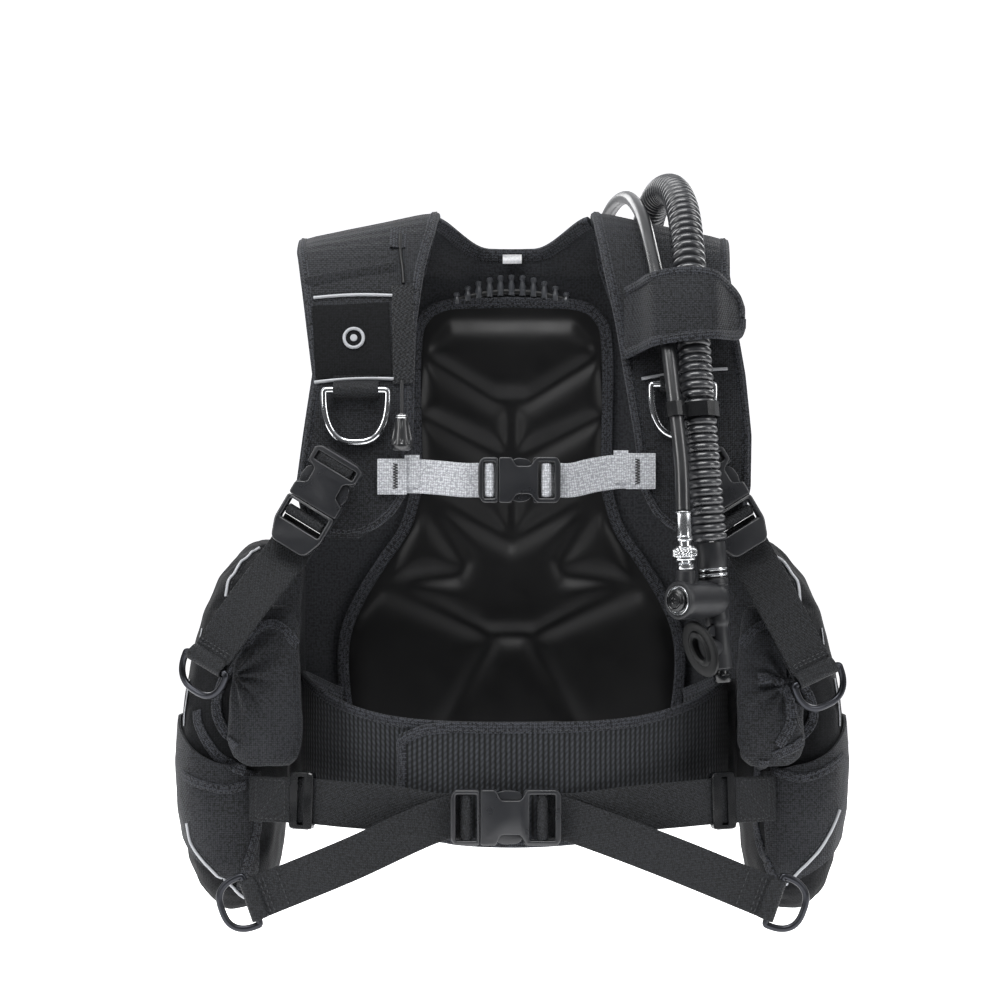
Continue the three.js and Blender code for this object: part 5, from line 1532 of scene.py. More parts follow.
def round_bar(seat: Matrix, x: float, away: float, radius: float = 3.9) -> list[np.ndarray]:
    """Points where webbing turns over a bar: up on its outer side, over its front and down on its inner side.

    Args:
        seat: the buckle's frame.
        x: where the bar is along it.
        away: 1 where the webbing leaves towards +x, -1 where it leaves towards -x.
        radius: how far from the bar the webbing's middle is.

    Returns:
        The points.
    """
    turn = [math.radians(a) for a in (-35, 0, 35, 70, 110, 145, 180, 215)]
    return [np.array(seat @ Vector((x + away * radius * math.cos(a), 0, radius * math.sin(a) - 0.4))) for a in turn]


# ------------------------------------------------------------------------------------------ shoulder straps
@dataclass
class ShoulderStrap:
    """A padded shoulder strap with its bound edge, piping, ring keeper and trim."""

    side: Side
    edges: tuple[tuple[float, float, float], ...]  # share along, inner edge and outer edge
    ring_at: tuple[float, float]  # x and z of the chest ring's bar
    piping: tuple[tuple[Point, Point], ...]
    middle_line: tuple[tuple[float, float], ...] = (
        (62.7, -82.3), (58, -36), (38, -7), (4, 3), (-32, -10), (-64, -42), (-86, -84), (-99, -135), (-105, -195), (-107, -250),
        (-105, -287),
    )
    thick: float = 8.0
    droop: float = 26.0
    top_share: float = 0.27
    tape: float = 10.0

    def __post_init__(self) -> None:
        """Works out the line down the middle of the strap."""
        self.line = smooth_line([(0, y, z) for y, z in self.middle_line], 600)
        self.along = tangents(self.line)

    def place(self, share: float, across: float, out: float = 0.0) -> np.ndarray:
        """A point of the strap: share along it, across from the inner edge (0) to the outer (1), out of its middle."""
        k = share * (len(self.line) - 1)
        at = [float(np.interp(k, range(len(self.line)), self.line[:, c])) for c in (1, 2)]
        t = self.along[min(int(k), len(self.along) - 1)]
        x = between(self.edges, share, 1) * (1 - across) + between(self.edges, share, 2) * across
        low = self.droop * math.exp(-(((share - self.top_share) / 0.16) ** 2))
        return np.array((self.side.value * x, at[0] + out * t[2], at[1] + low * (0.25 - across) - out * t[1]))

    def share_at(self, z: float) -> float:
        """The share along the front of the strap where its middle line is at a height."""
        front = self.line[int(self.top_share * len(self.line)) :]
        k = int(np.argmin(np.abs(front[:, 2] - z)))
        return (k + int(self.top_share * len(self.line))) / (len(self.line) - 1)

    def body(self) -> bpy.types.Object:
        """Makes the padded strap with its soft crown."""
        name = f"shoulder_strap_{self.side.tag}"
        shares = np.linspace(0, 1, 150)
        u = np.linspace(0, 1, 34)
        sections, flat = [], []
        lengths = np.concatenate([[0], np.cumsum(np.linalg.norm(np.diff([self.place(s, 0.5) for s in shares], axis=0), axis=1))])
        for s, far in zip(shares, lengths):
            width = between(self.edges, s, 2) - between(self.edges, s, 1)
            for face in (1, -1):
                for a in u if face > 0 else u[::-1]:
                    edge = min(a, 1 - a) * width
                    swell = 0.62 + 0.38 * min(1, edge / 16) ** 0.6
                    lump = 0.8 * rumple((a * width * 1.0, s * 460, 3 * self.side.value), 26, (1.6, 1, 1)) * min(1, edge / 18)
                    flex = 0.7 * math.exp(-(((s - 0.3) / 0.13) ** 2)) * math.sin(s * 210 + 2 * a) * min(1, edge / 14)
                    fall = self.thick / 2 * swell - 0.45 + (lump + flex) * 0.5
                    sections.append(self.place(s, a, fall if face > 0 else -self.thick / 2 * swell))
                    flat.append((a * width, far))
        rings = np.array(sections).reshape(len(shares), -1, 3)
        points, faces = lofted(rings)
        flat += [flat[0], flat[-1]]
        made = piece(f"padded_{name}", points, faces, CORDURA, [name], lengths=np.array(flat), sharp=70)
        return made

    def tapes(self) -> None:
        """Binds both edges and the rounded tip in one tape, and sews it down."""
        inset = self.tape / 2 - 1.5
        rows = np.linspace(0.0, 0.93, 120)
        tip = [(0.95, 0.0), (0.975, 0.0), (0.99, 0.12), (0.995, 0.5), (0.99, 0.88), (0.975, 1.0), (0.95, 1.0)]
        route = [(s, 0.0) for s in rows] + tip + [(s, 1.0) for s in rows[::-1]]
        line, inner = [], []
        for s, a in route:
            width = max(between(self.edges, s, 2) - between(self.edges, s, 1), 12)
            edge = self.place(s, a)
            towards = self.place(min(s, 0.9), 0.5) if s > 0.93 else self.place(s, 1 - a)
            line.append(edge + unit(towards - edge) * inset)
            inner.append(unit(towards - edge))
        line = respaced(np.array(line), 330)
        inner = respaced(np.array(inner), 330)
        tape = ribbon(f"strap_tape_{self.side.tag}", line, inner, self.tape, self.thick * 0.62 + 2.4, BINDING, crown=0.8, fine=6)
        skin = Skin(tape)
        rows = []
        for offset in (self.tape / 2 - 1.6, 0.6 - self.tape / 2 + 1.2):
            rows.append(np.array([skin.near(p + d * offset + self.out_of(p) * 8, 0.2) for p, d in zip(line, inner)]))
        sewn(f"strap_tape_stitches_{self.side.tag}", rows)

    def out_of(self, at: np.ndarray) -> np.ndarray:
        """The way the strap's outer face looks near a point."""
        k = int(np.argmin(np.linalg.norm(self.line[:, 1:] - at[1:], axis=1)))
        t = self.along[k]
        return np.array((0, t[2], -t[1]))

    def trim(self, body: bpy.types.Object) -> None:
        """Adds the piping, the ring's keeper and the sewn seams."""
        skin = Skin(body)
        tag = self.side.tag
        for k, (a, b) in enumerate(self.piping):
            line = np.array([skin.front(a[0] + (b[0] - a[0]) * t, a[1] + (b[1] - a[1]) * t + 1.6 * math.sin(math.pi * t), 0.9)
                             for t in np.linspace(0, 1, 30)])
            tube(f"silver_piping_{tag}_{k}", line, 1.5, REFLECTIVE, sides=10)
            rows = [np.array([skin.front(x, z + off, 0.2) for x, _, z in line]) for off in (-3.2, 3.4)]
            sewn(f"piping_stitches_{tag}_{k}", rows, DARK_THREAD)
        self.keeper(skin)

    def keeper(self, skin: Skin) -> None:
        """Makes the doubled webbing that holds the ring's bar."""
        tag = self.side.tag
        x, z = self.ring_at
        low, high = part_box(f"chest_ring_{tag}")
        bar_y = (low[1] / MM + high[1] / MM) / 2
        wide = 40
        loop = [(x, bar_y + 4.6 * math.sin(a), z + 4.6 * math.cos(a)) for a in np.linspace(math.radians(35), math.radians(-215), 26)]
        start = skin.front(x, z + 13, 1.2)
        end = skin.front(x, z - 9, 1.2)
        route = smooth_line([start, start + (0, -0.4, -5), *loop[1::5], end + (0, -0.6, 3), end], 60)
        ribbon(f"ring_keeper_{tag}", route, (1, 0, 0), wide, 1.7, WEBBING, fine=10)

    def build(self) -> bpy.types.Object:
        """Makes the strap and everything sewn on it."""
        body = self.body()
        self.tapes()
        self.trim(body)
        return body


@dataclass
class RightStrapTrim:
    """The dump cord's sleeve, the emblem patch and the pull knob on the wearer's right strap."""

    knob_ahead: float = 4.0  # how far the knob hangs in front of its solid, clear of the chest strap

    def build(self, strap: ShoulderStrap, body: bpy.types.Object) -> None:
        """Makes the sleeve, patch, cord and knob."""
        skin = Skin(body)
        sleeve = np.array([skin.front(x, z, 1.4) for x, z in smooth_line([(-98, -62), (-96.5, -105), (-96, -150)], 40)[:, :2]])
        ribbon("cord_sleeve", sleeve, (1, 0, -0.03), 19, 2.4, BRAID, crown=1.2)
        patch = np.array([skin.front(-144 + 0.2 * k, -79 - 3.25 * k, 0.7) for k in range(21)])
        ribbon("chest_patch", patch, (1, 0, 0), 68, 1.2, OXFORD, fine=14)
        self.emblem(skin)
        cord = smooth_line([skin.front(-101, -12, 2.4), skin.front(-100.5, -30, 2.2), skin.front(-98, -48, 2.2), skin.front(-97, -60, 3.4)], 40)
        tube("dump_cord_top", cord, 1.5, SILICONE, sides=10)
        tab = np.array([skin.front(-103, z, 1.4) for z in np.linspace(-6, -26, 12)])
        ribbon("cord_tab", tab, (1, 0, -0.1), 15, 1.6, BINDING)
        seam = [skin.front(x, z, 0.4) for x, z in smooth_line([(-182, -57), (-150, -50), (-105, -42)], 40)[:, :2]]
        sewn("shoulder_seam", [np.array(seam)], DARK_THREAD)
        fold = np.array([skin.front(x, z, 0.5) for x, z in smooth_line([(-184, -60), (-150, -53), (-104, -45)], 40)[:, :2]])
        ribbon("shoulder_fold", fold, (0.1, 0.2, 1), 12, 1.4, CORDURA, crown=1.0)
        self.knob()

    def emblem(self, skin: Skin) -> None:
        """Makes a plain woven badge, a ring round a dot, in place of any mark."""
        x0, z0 = -140.5, -109.5
        ring = np.array([skin.front(x0 + 8.5 * math.cos(a), z0 + 8.5 * math.sin(a), 1.9) for a in np.linspace(0, 2 * math.pi, 48, endpoint=False)])
        tube("badge_ring", ring, 1.5, REFLECTIVE, sides=8, closed=True)
        at = skin.front(x0, z0, 1.3)
        turned("badge_dot", [(0, 0), (3.2, 0), (3.2, 0.7), (2.8, 1.1), (0, 1.2)], at, skin.normal(at), REFLECTIVE)

    def knob(self) -> None:
        """Makes the fluted pull knob with its ferrule and the end of its cord."""
        low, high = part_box("dump_knob")
        x, y = (low[0] + high[0]) / 2 / MM, (low[1] + high[1]) / 2 / MM - self.knob_ahead
        foot = low[2] / MM
        flutes = lambda a, h: 1 - 0.09 * (math.cos(10 * a) > 0.2) * (6.5 < h < 28)
        turned(
            "pull_knob",
            [(0, 0), (5.4, 0), (7.4, 0.8), (8.6, 2.6), (9.4, 4.4), (9.5, 6), (9.2, 7.4), (8.6, 11), (7.2, 18), (6.0, 25), (5.2, 29), (4.9, 31.4),
             (4.2, 32.6), (2, 33), (1.5, 33.4), (1.5, 62), (0, 62)],
            (x, y, foot), (0, 0, 1), GLOSS_RUBBER, ["dump_knob"], sides=80, flutes=flutes,
        )
        for k, height in enumerate((28.6, 30.4)):
            turned(
                f"knob_ferrule_{k}", [(4.6, height), (5.5, height + 0.1), (5.7, height + 0.6), (5.5, height + 1.1), (4.6, height + 1.2)],
                (x, y, foot), (0, 0, 1), CHROME, body="dump_pull",
            )


def ring_line(width: float, depth: float, wire: float = 3.0, corner: float = 5.0, ease: float = 6.0) -> np.ndarray:
    """The middle line of a D-shaped ring: a straight bar through the origin along x, and a bow below it.

    Args:
        width: the inner width.
        depth: how deep the bow hangs.
        wire: the wire's radius.
        corner: how round the bar's ends are.
        ease: how square the bar's side is.

    Returns:
        A closed line of points.
    """
    line = []
    half = width / 2 + wire
    for a in np.linspace(0, 2 * math.pi, 161)[:-1]:
        c, s = math.cos(a), math.sin(a)
        soft = lambda value, power: math.copysign(abs(value) ** power, value)
        if s >= 0:
            line.append((half * soft(c, 1 / ease), corner * soft(s, 1 / ease) - corner, 0))
        else:
            line.append((half * soft(c, 0.72), (depth - corner) * soft(s, 0.9) - corner, 0))
    line = np.array([*line, line[0]])
    return respaced(line, 121)[:-1]


def set_ring(name: str, node: str, size: tuple[float, float], at: Point, bar: Point, down: Point, finish: Finish) -> None:
    """Bends a ring of wire and hangs it by its bar.

    Args:
        name: the piece's name.
        node: the node that it stands for.
        size: width and depth.
        at: the middle of its bar.
        bar: the way of the bar.
        down: the way that the bow hangs.
        finish: its finish.
    """
    x = unit(bar)
    y = -unit(np.asarray(down, float) - x * float(np.dot(down, x)))
    line = ring_line(*size)
    tube(name, np.asarray(at) + line[:, :1] * x + line[:, 1:2] * y, 3.0, finish, [node], sides=16, closed=True)


# ------------------------------------------------------------------------------------------ webbing and rings
@dataclass
class WaistBelt:
    """The waist straps, their free tails, the pull rings, and the stitches on them."""

    buckle: Buckle
    strap_z: float = -516.0
    strap_width: float = 40.0
    tail_width: float = 37.0
    strap_back: float = -142.3
    tail_back: float = -144.5
    tail_end: tuple[float, float, float] = (226.0, -156.0, -599.0)

    def strap(self, side: Side) -> None:
        """Makes the strap from the pocket to the buckle's bar; the right one rides on no body."""
        s, z = side.value, self.strap_z
        bar = self.buckle.bar_at(side is Side.LEFT)
        at = self.buckle.seat @ Vector((bar, 0, 0))
        back = self.strap_back
        points = [(s * 232, -106.6, z), (s * 208, -119, z), (s * 184, -127.5, z), (s * 150, -138, z - 2), (s * 104, back + 2, z - 6),
                  (at.x + s * 26, back, at.z), (at.x + s * 9, back - 0.6, at.z), *round_bar(self.buckle.seat, bar, s)]
        line = smooth_line(points, 150)
        flat = line[:, 0] * s > at.x * s + 30
        line[flat, 1] += 0.5 * np.sin(line[flat, 0] / 17)
        right = side is Side.RIGHT
        made = ribbon(
            f"waist_webbing_{side.tag}", line, (0, 0.02, 1), self.strap_width, 2.0, WEBBING, [f"waist_strap_{side.tag}"],
            body="free" if right else "",
        )
        if right:
            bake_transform(made)
        seat = Skin(made)
        corners = [(s * x, z + dz) for x, dz in ((226, -17), (226, 17), (200, 17), (200, -17), (226, -17), (200, 17))]
        rows = np.array([seat.front(x, dz, 0.15) for x, dz in respaced(np.array(corners), 90)])
        sewn(f"waist_box_stitch_{side.tag}", [rows])

    def tail(self, side: Side) -> None:
        """Makes the free end: from behind the buckle's bar, down and outward, and round its ring's bar."""
        s = side.value
        at = self.buckle.seat @ Vector((self.buckle.bar_at(side is Side.LEFT), 0, 0))
        ring = np.array((s * self.tail_end[0], self.tail_end[1], self.tail_end[2]))
        back, z = self.tail_back, at.z
        points = [(at.x - s * 4, back - 2.6, z), (at.x + s * 3, back, z), (at.x + s * 15, back, z - 1), (at.x + s * 32, back - 3, z - 6),
                  (s * 140, -163, -563), ring]
        line = smooth_line(points, 130)
        towards = unit(line[-1] - line[-4])
        across = np.array([(s * 0.35 * t, 0, 1) for t in np.linspace(0, 1, len(line))])
        line[:, 1] += 0.8 * np.sin(np.linspace(0, 7, len(line))) * np.sin(np.linspace(0, math.pi, len(line))) ** 2
        bar = unit((s * 0.35, 0, 0.94))
        out = unit(np.cross(bar, towards)) * (1 if np.cross(bar, towards)[1] > 0 else -1)
        keep = int(len(line) * 0.955)
        loop = [ring + 4.6 * (-out * math.cos(a) + towards * math.sin(a)) for a in np.linspace(math.radians(-5), math.radians(185), 14)]
        lap = smooth_line([*line[keep - 3 : keep], ring - towards * 8 - out * 2.6, *loop, *[ring + out * 4.0 - towards * k for k in (6, 14, 24, 32)]], 60)
        whole = np.vstack([line[: keep - 3], lap])
        across = np.vstack([across[: keep - 3], np.repeat(across[-1:], len(lap), axis=0)])
        ribbon(f"waist_tail_webbing_{side.tag}", whole, across, self.tail_width, 1.9, WEBBING, [f"waist_tail_{side.tag}"])
        set_ring(
            f"waist_pull_ring_{side.tag}", f"waist_ring_{side.tag}", (39, 27), ring, (s * 0.35, 0, 0.94), (0, 0, -1), GUNMETAL
        )
        body = NODES[f"waist_tail_{side.tag}"]["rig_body"]
        rows = []
        for behind in (13, 16.5, 30):
            foot = ring - towards * behind - out * 2.4
            rows.append(np.array([foot + bar * k for k in np.linspace(-16, 16, 12)]))
        sewn(f"waist_tail_stitches_{side.tag}", rows, body=body)

    def build(self) -> None:
        """Makes both sides."""
        for side in (Side.RIGHT, Side.LEFT):
            self.strap(side)
            self.tail(side)


@dataclass
class ChestBelt:
    """The grey chest straps with their sewn tabs."""

    buckle: Buckle
    width: float = 30.0
    back: float = -119.4
    anchors: dict[Side, tuple[float, float, float]] = field(
        default_factory=lambda: {Side.RIGHT: (-109.0, -111.4, -232.0), Side.LEFT: (116.0, -111.2, -228.0)}
    )

    def strap(self, side: Side) -> None:
        """Makes one half: it lies on the shoulder strap, leads to the buckle and turns round its bar."""
        s = side.value
        bar = self.buckle.bar_at(side is Side.LEFT)
        at = self.buckle.seat @ Vector((bar, 0, 0))
        x, face, z = self.anchors[side]
        points = [(x, face, z), (x - s * 22, face - 0.6, z), (x - s * 44, face - 4, z + 0.4 * (at.z - z)),
                  (at.x + s * 22, self.back - 0.6, at.z), (at.x + s * 8, self.back - 0.6, at.z), *round_bar(self.buckle.seat, bar, s)]
        line = smooth_line(points, 110)
        right = side is Side.RIGHT
        made = ribbon(
            f"chest_webbing_{side.tag}", line, (0, 0, 1), self.width, 1.9, GREY_WEBBING, [f"chest_strap_{side.tag}"],
            body="free" if right else "", fine=12,
        )
        if right:
            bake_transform(made)
        tab = np.array([(x + s * 4 - s * k, face - 2.0 - 0.05 * k, z + 0.4 * s) for k in np.linspace(-6, 20, 16)])
        ribbon(f"chest_tab_{side.tag}", tab, (0, 0, 1), self.width + 1.5, 2.2, GREY_WEBBING, fine=12)
        zigzag = [(x - s * 6 + (2.1 if k % 2 else -2.1), face - 3.6, z - 11 + k * 22 / 18) for k in range(19)]
        tube(f"bar_tack_{side.tag}", respaced(np.array(zigzag), 120), 0.55, DARK_THREAD, sides=6)
        lap = np.array([(x - s * k, face - 1.6 - 0.03 * k, z + 4.2) for k in np.linspace(14, 27, 14)])
        ribbon(f"chest_lap_{side.tag}", lap, (0, 0, 1), self.width - 1, 1.2, GREY_WEBBING)

    def build(self) -> None:
        """Makes both halves."""
        for side in (Side.RIGHT, Side.LEFT):
            self.strap(side)


@dataclass
class ShoulderRelease:
    """The webbing below a shoulder buckle with its pull ring, and the loop that anchors the buckle."""

    side: Side
    joint: tuple[float, float, float]
    ring: tuple[float, float, float]
    housing: float = 38.0
    frame: float = 27.0
    lip: float = 16.0
    thick: float = 11.0

    def seat(self) -> Matrix:
        """The buckle's frame: x up the strap, z out of its face."""
        s = self.side.value
        return seat_at(self.joint, (-s * 0.51, -0.05, 0.86), (s * 0.14, -0.98, 0.08))

    def buckle(self) -> None:
        """Makes the buckle, and the webbing where it shows over the male half's bar."""
        made = Buckle("shoulder_buckle", f"_{self.side.tag}", self.seat(), 38, self.thick, self.housing, self.frame,
                      lip=self.lip, bar=False, female_frame=12, narrow=0.24)
        made.build()
        over = smooth_line(round_bar(self.seat(), made.bar_at(False), -1), 30)
        across = np.array(self.seat().to_3x3() @ Vector((0, 1, 0)))
        ribbon(f"shoulder_pull_turn_{self.side.tag}", over, across, 37, 1.9, WEBBING, body=NODES[f"shoulder_webbing_{self.side.tag}"]["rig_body"])

    def build(self, front: Skin) -> None:
        """Makes the anchor, the webbing and the ring.

        Args:
            front: the padded strap's surface.
        """
        self.buckle()
        s, tag = self.side.value, self.side.tag
        up = unit((-s * 0.51, -0.05, 0.86))
        across = unit(np.cross((s * 0.14, -0.98, 0.08), up))
        face = np.cross(up, across)
        local = lambda x, z: np.asarray(self.joint) + up * x + face * z
        back = -self.thick / 2 - 1.4
        sewn_at = local(self.housing - 26, 0)
        sewn_at = front.front(sewn_at[0], sewn_at[2], 1.4)
        flat = np.array((across[0], 0, across[2]))
        points = [sewn_at, local(self.housing - 10, back - 3.5), local(self.housing + 2, back), local(self.housing + 9, back)]
        line = smooth_line(points, 40)
        t = np.linspace(0, 1, 40)[:, None]
        ribbon(f"anchor_webbing_{tag}", line, flat * (1 - t) + across * t, 34, 1.8, WEBBING, [f"buckle_anchor_{tag}"])
        over = [local(self.housing + 12, back + 0.6), local(self.housing + 10.5, 0), local(self.housing + 5, self.thick / 2 - 1.2),
                local(self.housing - 1, self.thick / 2 - 2.2)]
        ribbon(f"anchor_fold_{tag}", smooth_line(over, 24), across, 33, 1.8, WEBBING)
        start = local(-self.frame * 0.7, back - 1.3)
        bar = np.array((0.81, 0, -s * 0.585))
        ring = np.asarray(self.ring)
        towards = unit(ring - start)
        end_bar = unit(bar - towards * float(bar @ towards))
        first = across if across @ end_bar > 0 else -across
        points = [start, local(-self.frame - self.lip, back - 1.3), start + 0.6 * (ring - start) + (0, -8, 0), ring]
        line = smooth_line(points, 100)
        t = np.linspace(0, 1, 100)[:, None]
        sides = first * (1 - t) + end_bar * t
        last = unit(line[-1] - line[-4])
        out = unit(np.cross(end_bar, last))
        out = out if out[1] > 0 else -out
        keep = 94
        loop = [ring + 4.6 * (-out * math.cos(a) + last * math.sin(a)) for a in np.linspace(math.radians(-5), math.radians(185), 14)]
        lap = smooth_line([*line[keep - 3 : keep], ring - last * 7 - out * 2.6, *loop, *[ring + out * 4.2 - last * k for k in (7, 16, 26)]], 50)
        whole = np.vstack([line[: keep - 3], lap])
        sides = np.vstack([sides[: keep - 3], np.repeat(sides[-1:], len(lap), axis=0)])
        ribbon(f"shoulder_pull_webbing_{tag}", whole, sides, 40, 1.9, WEBBING, [f"shoulder_webbing_{tag}"], fine=12)
        body = NODES[f"shoulder_webbing_{tag}"]["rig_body"]
        fold = [ring - last * k - out * 2.8 for k in (13, 16)]
        sewn(f"shoulder_pull_stitches_{tag}", [np.array([p + end_bar * k for k in np.linspace(-17, 17, 12)]) for p in fold], body=body)
        set_ring(f"shoulder_pull_ring_{tag}", f"shoulder_ring_{tag}", (42, 28), ring, end_bar, (0, 0, -1), GUNMETAL)


# ------------------------------------------------------------------------------------------ lobes and pockets
@dataclass
class SideLobe:
    """A soft lobe of the air cell with its pocket, piping, reflective dashes and weight pouch."""

    side: Side
    rows: tuple[tuple[float, ...], ...] = (  # height, outer and inner edge, front, back
        (-292, 238, 208, -36, 58), (-305, 251, 205, -62, 74), (-325, 267, 204, -85, 84), (-355, 281, 203, -98, 92),
        (-400, 292, 203, -104, 96), (-430, 298, 204, -106, 98), (-455, 301, 204, -106, 98), (-485, 303, 205, -106, 98),
        (-530, 301, 207, -104, 95), (-575, 294, 211, -98, 85), (-602, 284, 217, -86, 66), (-620, 268, 230, -60, 36),
    )
    square: float = 0.77
    pouch_rows: tuple[tuple[float, ...], ...] = (  # height, middle, half width, half depth
        (-346, 202, 10, 5), (-356, 205, 17, 8.5), (-372, 208, 22, 12), (-400, 211, 26, 14.6), (-430, 213, 28, 15.6),
        (-465, 213, 28, 16), (-478, 212, 24, 13.5), (-486, 212, 16, 10),
    )
    pouch_shift: float = 2.0
    pouch_spread: float = 5.0
    upper_piping: tuple[tuple[float, float], ...] = ((229, -297), (244, -310), (255, -339))
    lower_piping: tuple[tuple[float, float], ...] = ((289, -540), (285, -558), (268, -579), (250, -596), (240, -608))
    mouth: tuple[tuple[float, float], ...] = ((280, -440), (279, -450), (271, -466), (258, -482), (236, -492))
    seam: tuple[tuple[float, float], ...] = ((294, -497), (275, -504), (252, -508), (235, -504))
    inner_edge: tuple[tuple[float, float], ...] = ((228, -494), (226, -520), (226, -545), (236, -580), (242, -600))
    flap_edge: tuple[tuple[float, float], ...] = ((233, -372), (246, -396), (257, -415), (262, -436), (256, -455), (242, -470))
    gather_at: tuple[float, float] = (245, -408)
    dashes: tuple[tuple[tuple[float, float], ...], ...] = (((279, -366), (270, -386)), ((298, -410), (286, -455)))

    def section(self, z: float, count: int, out: float = 0.0) -> np.ndarray:
        """Points round the lobe at a height, from its front round its outer side."""
        outer, inner, front, back = (between(self.rows, z, k) for k in (1, 2, 3, 4))
        rx, ry = (outer - inner) / 2 + out, (back - front) / 2 + out
        ring = []
        for a in np.linspace(0, 2 * math.pi, count, endpoint=False):
            s, c = math.sin(a), math.cos(a)
            x = (outer + inner) / 2 + rx * math.copysign(abs(s) ** self.square, s)
            y = (front + back) / 2 - ry * math.copysign(abs(c) ** self.square, c)
            ring.append((self.side.value * x, y, z))
        return np.array(ring)

    def skin_shape(self) -> tuple[np.ndarray, list[list[int]]]:
        """The smooth closed shape that the cloth starts from."""
        levels = np.interp(np.linspace(0, len(self.rows) - 1, 90), range(len(self.rows)), [r[0] for r in self.rows])
        return lofted(np.array([self.section(z, 72, -1.5) for z in levels]))

    def fold(self, at: Vector, normal: Vector) -> float:
        """How high the cloth stands at a place: long soft folds that run down, broken by pulls."""
        long_folds = rumple(at, 34, (0.8, 0.8, 2.6)) * 2.0
        pulls = rumple((at.x + 40, at.y, at.z * 1.4 + 0.6 * abs(at.x)), 17, (1, 1, 1.5)) * 0.9
        near_top = math.exp(-(((at.z + 300) / 24) ** 2))
        gathers = near_top * math.sin(at.y / 3.4 + at.x / 5.0) * 0.8
        return long_folds + pulls + gathers - 1.0

    def build(self) -> None:
        """Makes the lobe and all that is sewn on it."""
        tag = self.side.tag
        points, faces = self.skin_shape()
        lobe = piece(f"lobe_cloth_{tag}", points, faces, OXFORD, [f"side_lobe_{tag}"])
        swollen(lobe, 5.0, 2.4, slack=0.02)
        creased(lobe, self.fold)
        pocket = self.pocket(Skin(lobe))
        pouch = self.pouch()
        self.trim(Skin(lobe, pocket, pouch))
        self.pouch_trim(pouch)
        self.gusset()
        self.gather()

    def pocket(self, lobe: Skin) -> bpy.types.Object:
        """Makes the pocket's cloth over the lower lobe: it bulges a little, and its mouth slants up and outward."""
        tag, s = self.side.tag, self.side.value
        rows, turns = 54, 60
        grid = []
        for v in np.linspace(0, 1, rows):
            for u in np.linspace(0, 1, turns):
                a = math.radians(-32 + 126 * u)
                top, low = -494 + 46 * min(1, 1.2 * u) ** 1.5, -604 + 50 * min(1, 1.25 * u) ** 1.1
                z = low + (top - low) * v
                outer, inner, front, back = (between(self.rows, z, k) for k in (1, 2, 3, 4))
                puff = 3.4 + 2.2 * math.sin(math.pi * v) * math.sin(math.pi * min(1, u * 1.15))
                puff -= 3.8 * max(0, (u - 0.86) / 0.14) ** 2
                rx, ry = (outer - inner) / 2 + puff, (back - front) / 2 + puff
                x = (outer + inner) / 2 + rx * math.copysign(abs(math.sin(a)) ** self.square, math.sin(a))
                y = (front + back) / 2 - ry * abs(math.cos(a)) ** self.square
                dent = 1.1 * rumple((x, y, z), 24, (1, 1, 1.6)) + 0.5 * rumple((x, y + 50, z), 10)
                grid.append((s * (x + dent * 0.6), y - dent * 0.8, z))
        front = np.array(grid)
        middle = np.array([s * 252, 0, 0])
        inward = -unit_rows((front - middle) * (1, 0.6, 0)) * 2.6
        n = turns
        faces = [(r * n + k, r * n + k + 1, (r + 1) * n + k + 1, (r + 1) * n + k) for r in range(rows - 1) for k in range(n - 1)]
        size = len(front)
        rim = list(range(n)) + [r * n + n - 1 for r in range(1, rows)]
        rim += [(rows - 1) * n + k for k in range(n - 2, -1, -1)] + [r * n for r in range(rows - 2, 0, -1)]
        sides = [(a, b, size + b, size + a) for a, b in zip(rim, rim[1:] + rim[:1])]
        back = [tuple(size + k for k in reversed(f)) for f in faces]
        made = piece(f"pocket_cloth_{tag}", np.vstack([front, front + inward]), faces + back + sides, CORDURA, [f"pocket_{tag}"])
        return made

    def gusset(self) -> None:
        """Makes the loose cloth that joins the lobe's inner wall to the edge of the back panel."""
        s, z = self.side.value, np.linspace(-284, -546, 90)
        rings = []
        for height in z:
            near = math.sin(math.pi * (-height - 284) / 262 * 0.999) ** 0.4
            inner, outer = np.array((193.0, back_y(193) - 1, height)), np.array((207.5, -44 * near + 10 * (1 - near), height))
            front = []
            for t in np.linspace(0, 1, 16):
                at = inner + (outer - inner) * t
                slack = math.sin(math.pi * t) * (3.4 * rumple((0, t * 90 + 0.5 * height, height), 30, (1, 1, 1.5)) - 1)
                front.append((s * (at[0] - 0.9 * slack), at[1], height))
            rings.append(front + [(x + s * 2.2, y + 1.2, h) for x, y, h in front[::-1]])
        points, faces = lofted(np.array(rings))
        cloth = piece(f"wing_gusset_{self.side.tag}", points, faces, LINING)

    def gather(self) -> None:
        """Makes the cloth bunched at the top of the lobe, over the pouch and towards the strap."""
        s = self.side.value
        z = np.linspace(-300, -412, 56)
        rings = []
        for height in z:
            v = (-height - 300) / 112
            inner = 187 + 3 * v + 3.5 * rumple((5, 0, height), 26)
            outer = 214 + 16 * math.sin(math.pi * v) ** 0.8
            front = []
            for t in np.linspace(0, 1, 22):
                x = inner + (outer - inner) * t
                crown = math.sin(math.pi * t) ** 0.6 * math.sin(math.pi * min(1, 0.08 + 0.92 * v)) ** 0.5
                fold = 2.6 * rumple((x + 0.55 * height, 0, height - 0.3 * x), 19, (1, 1, 1.4)) + rumple((x, 9, height), 9)
                front.append((s * x, -70 - 26 * v - 13 * crown - fold * crown, height))
            rings.append(front + [(x, y + 9, h) for x, y, h in front[::-1]])
        points, faces = lofted(np.array(rings))
        cloth = piece(f"wing_gather_{self.side.tag}", points, faces, CORDURA)

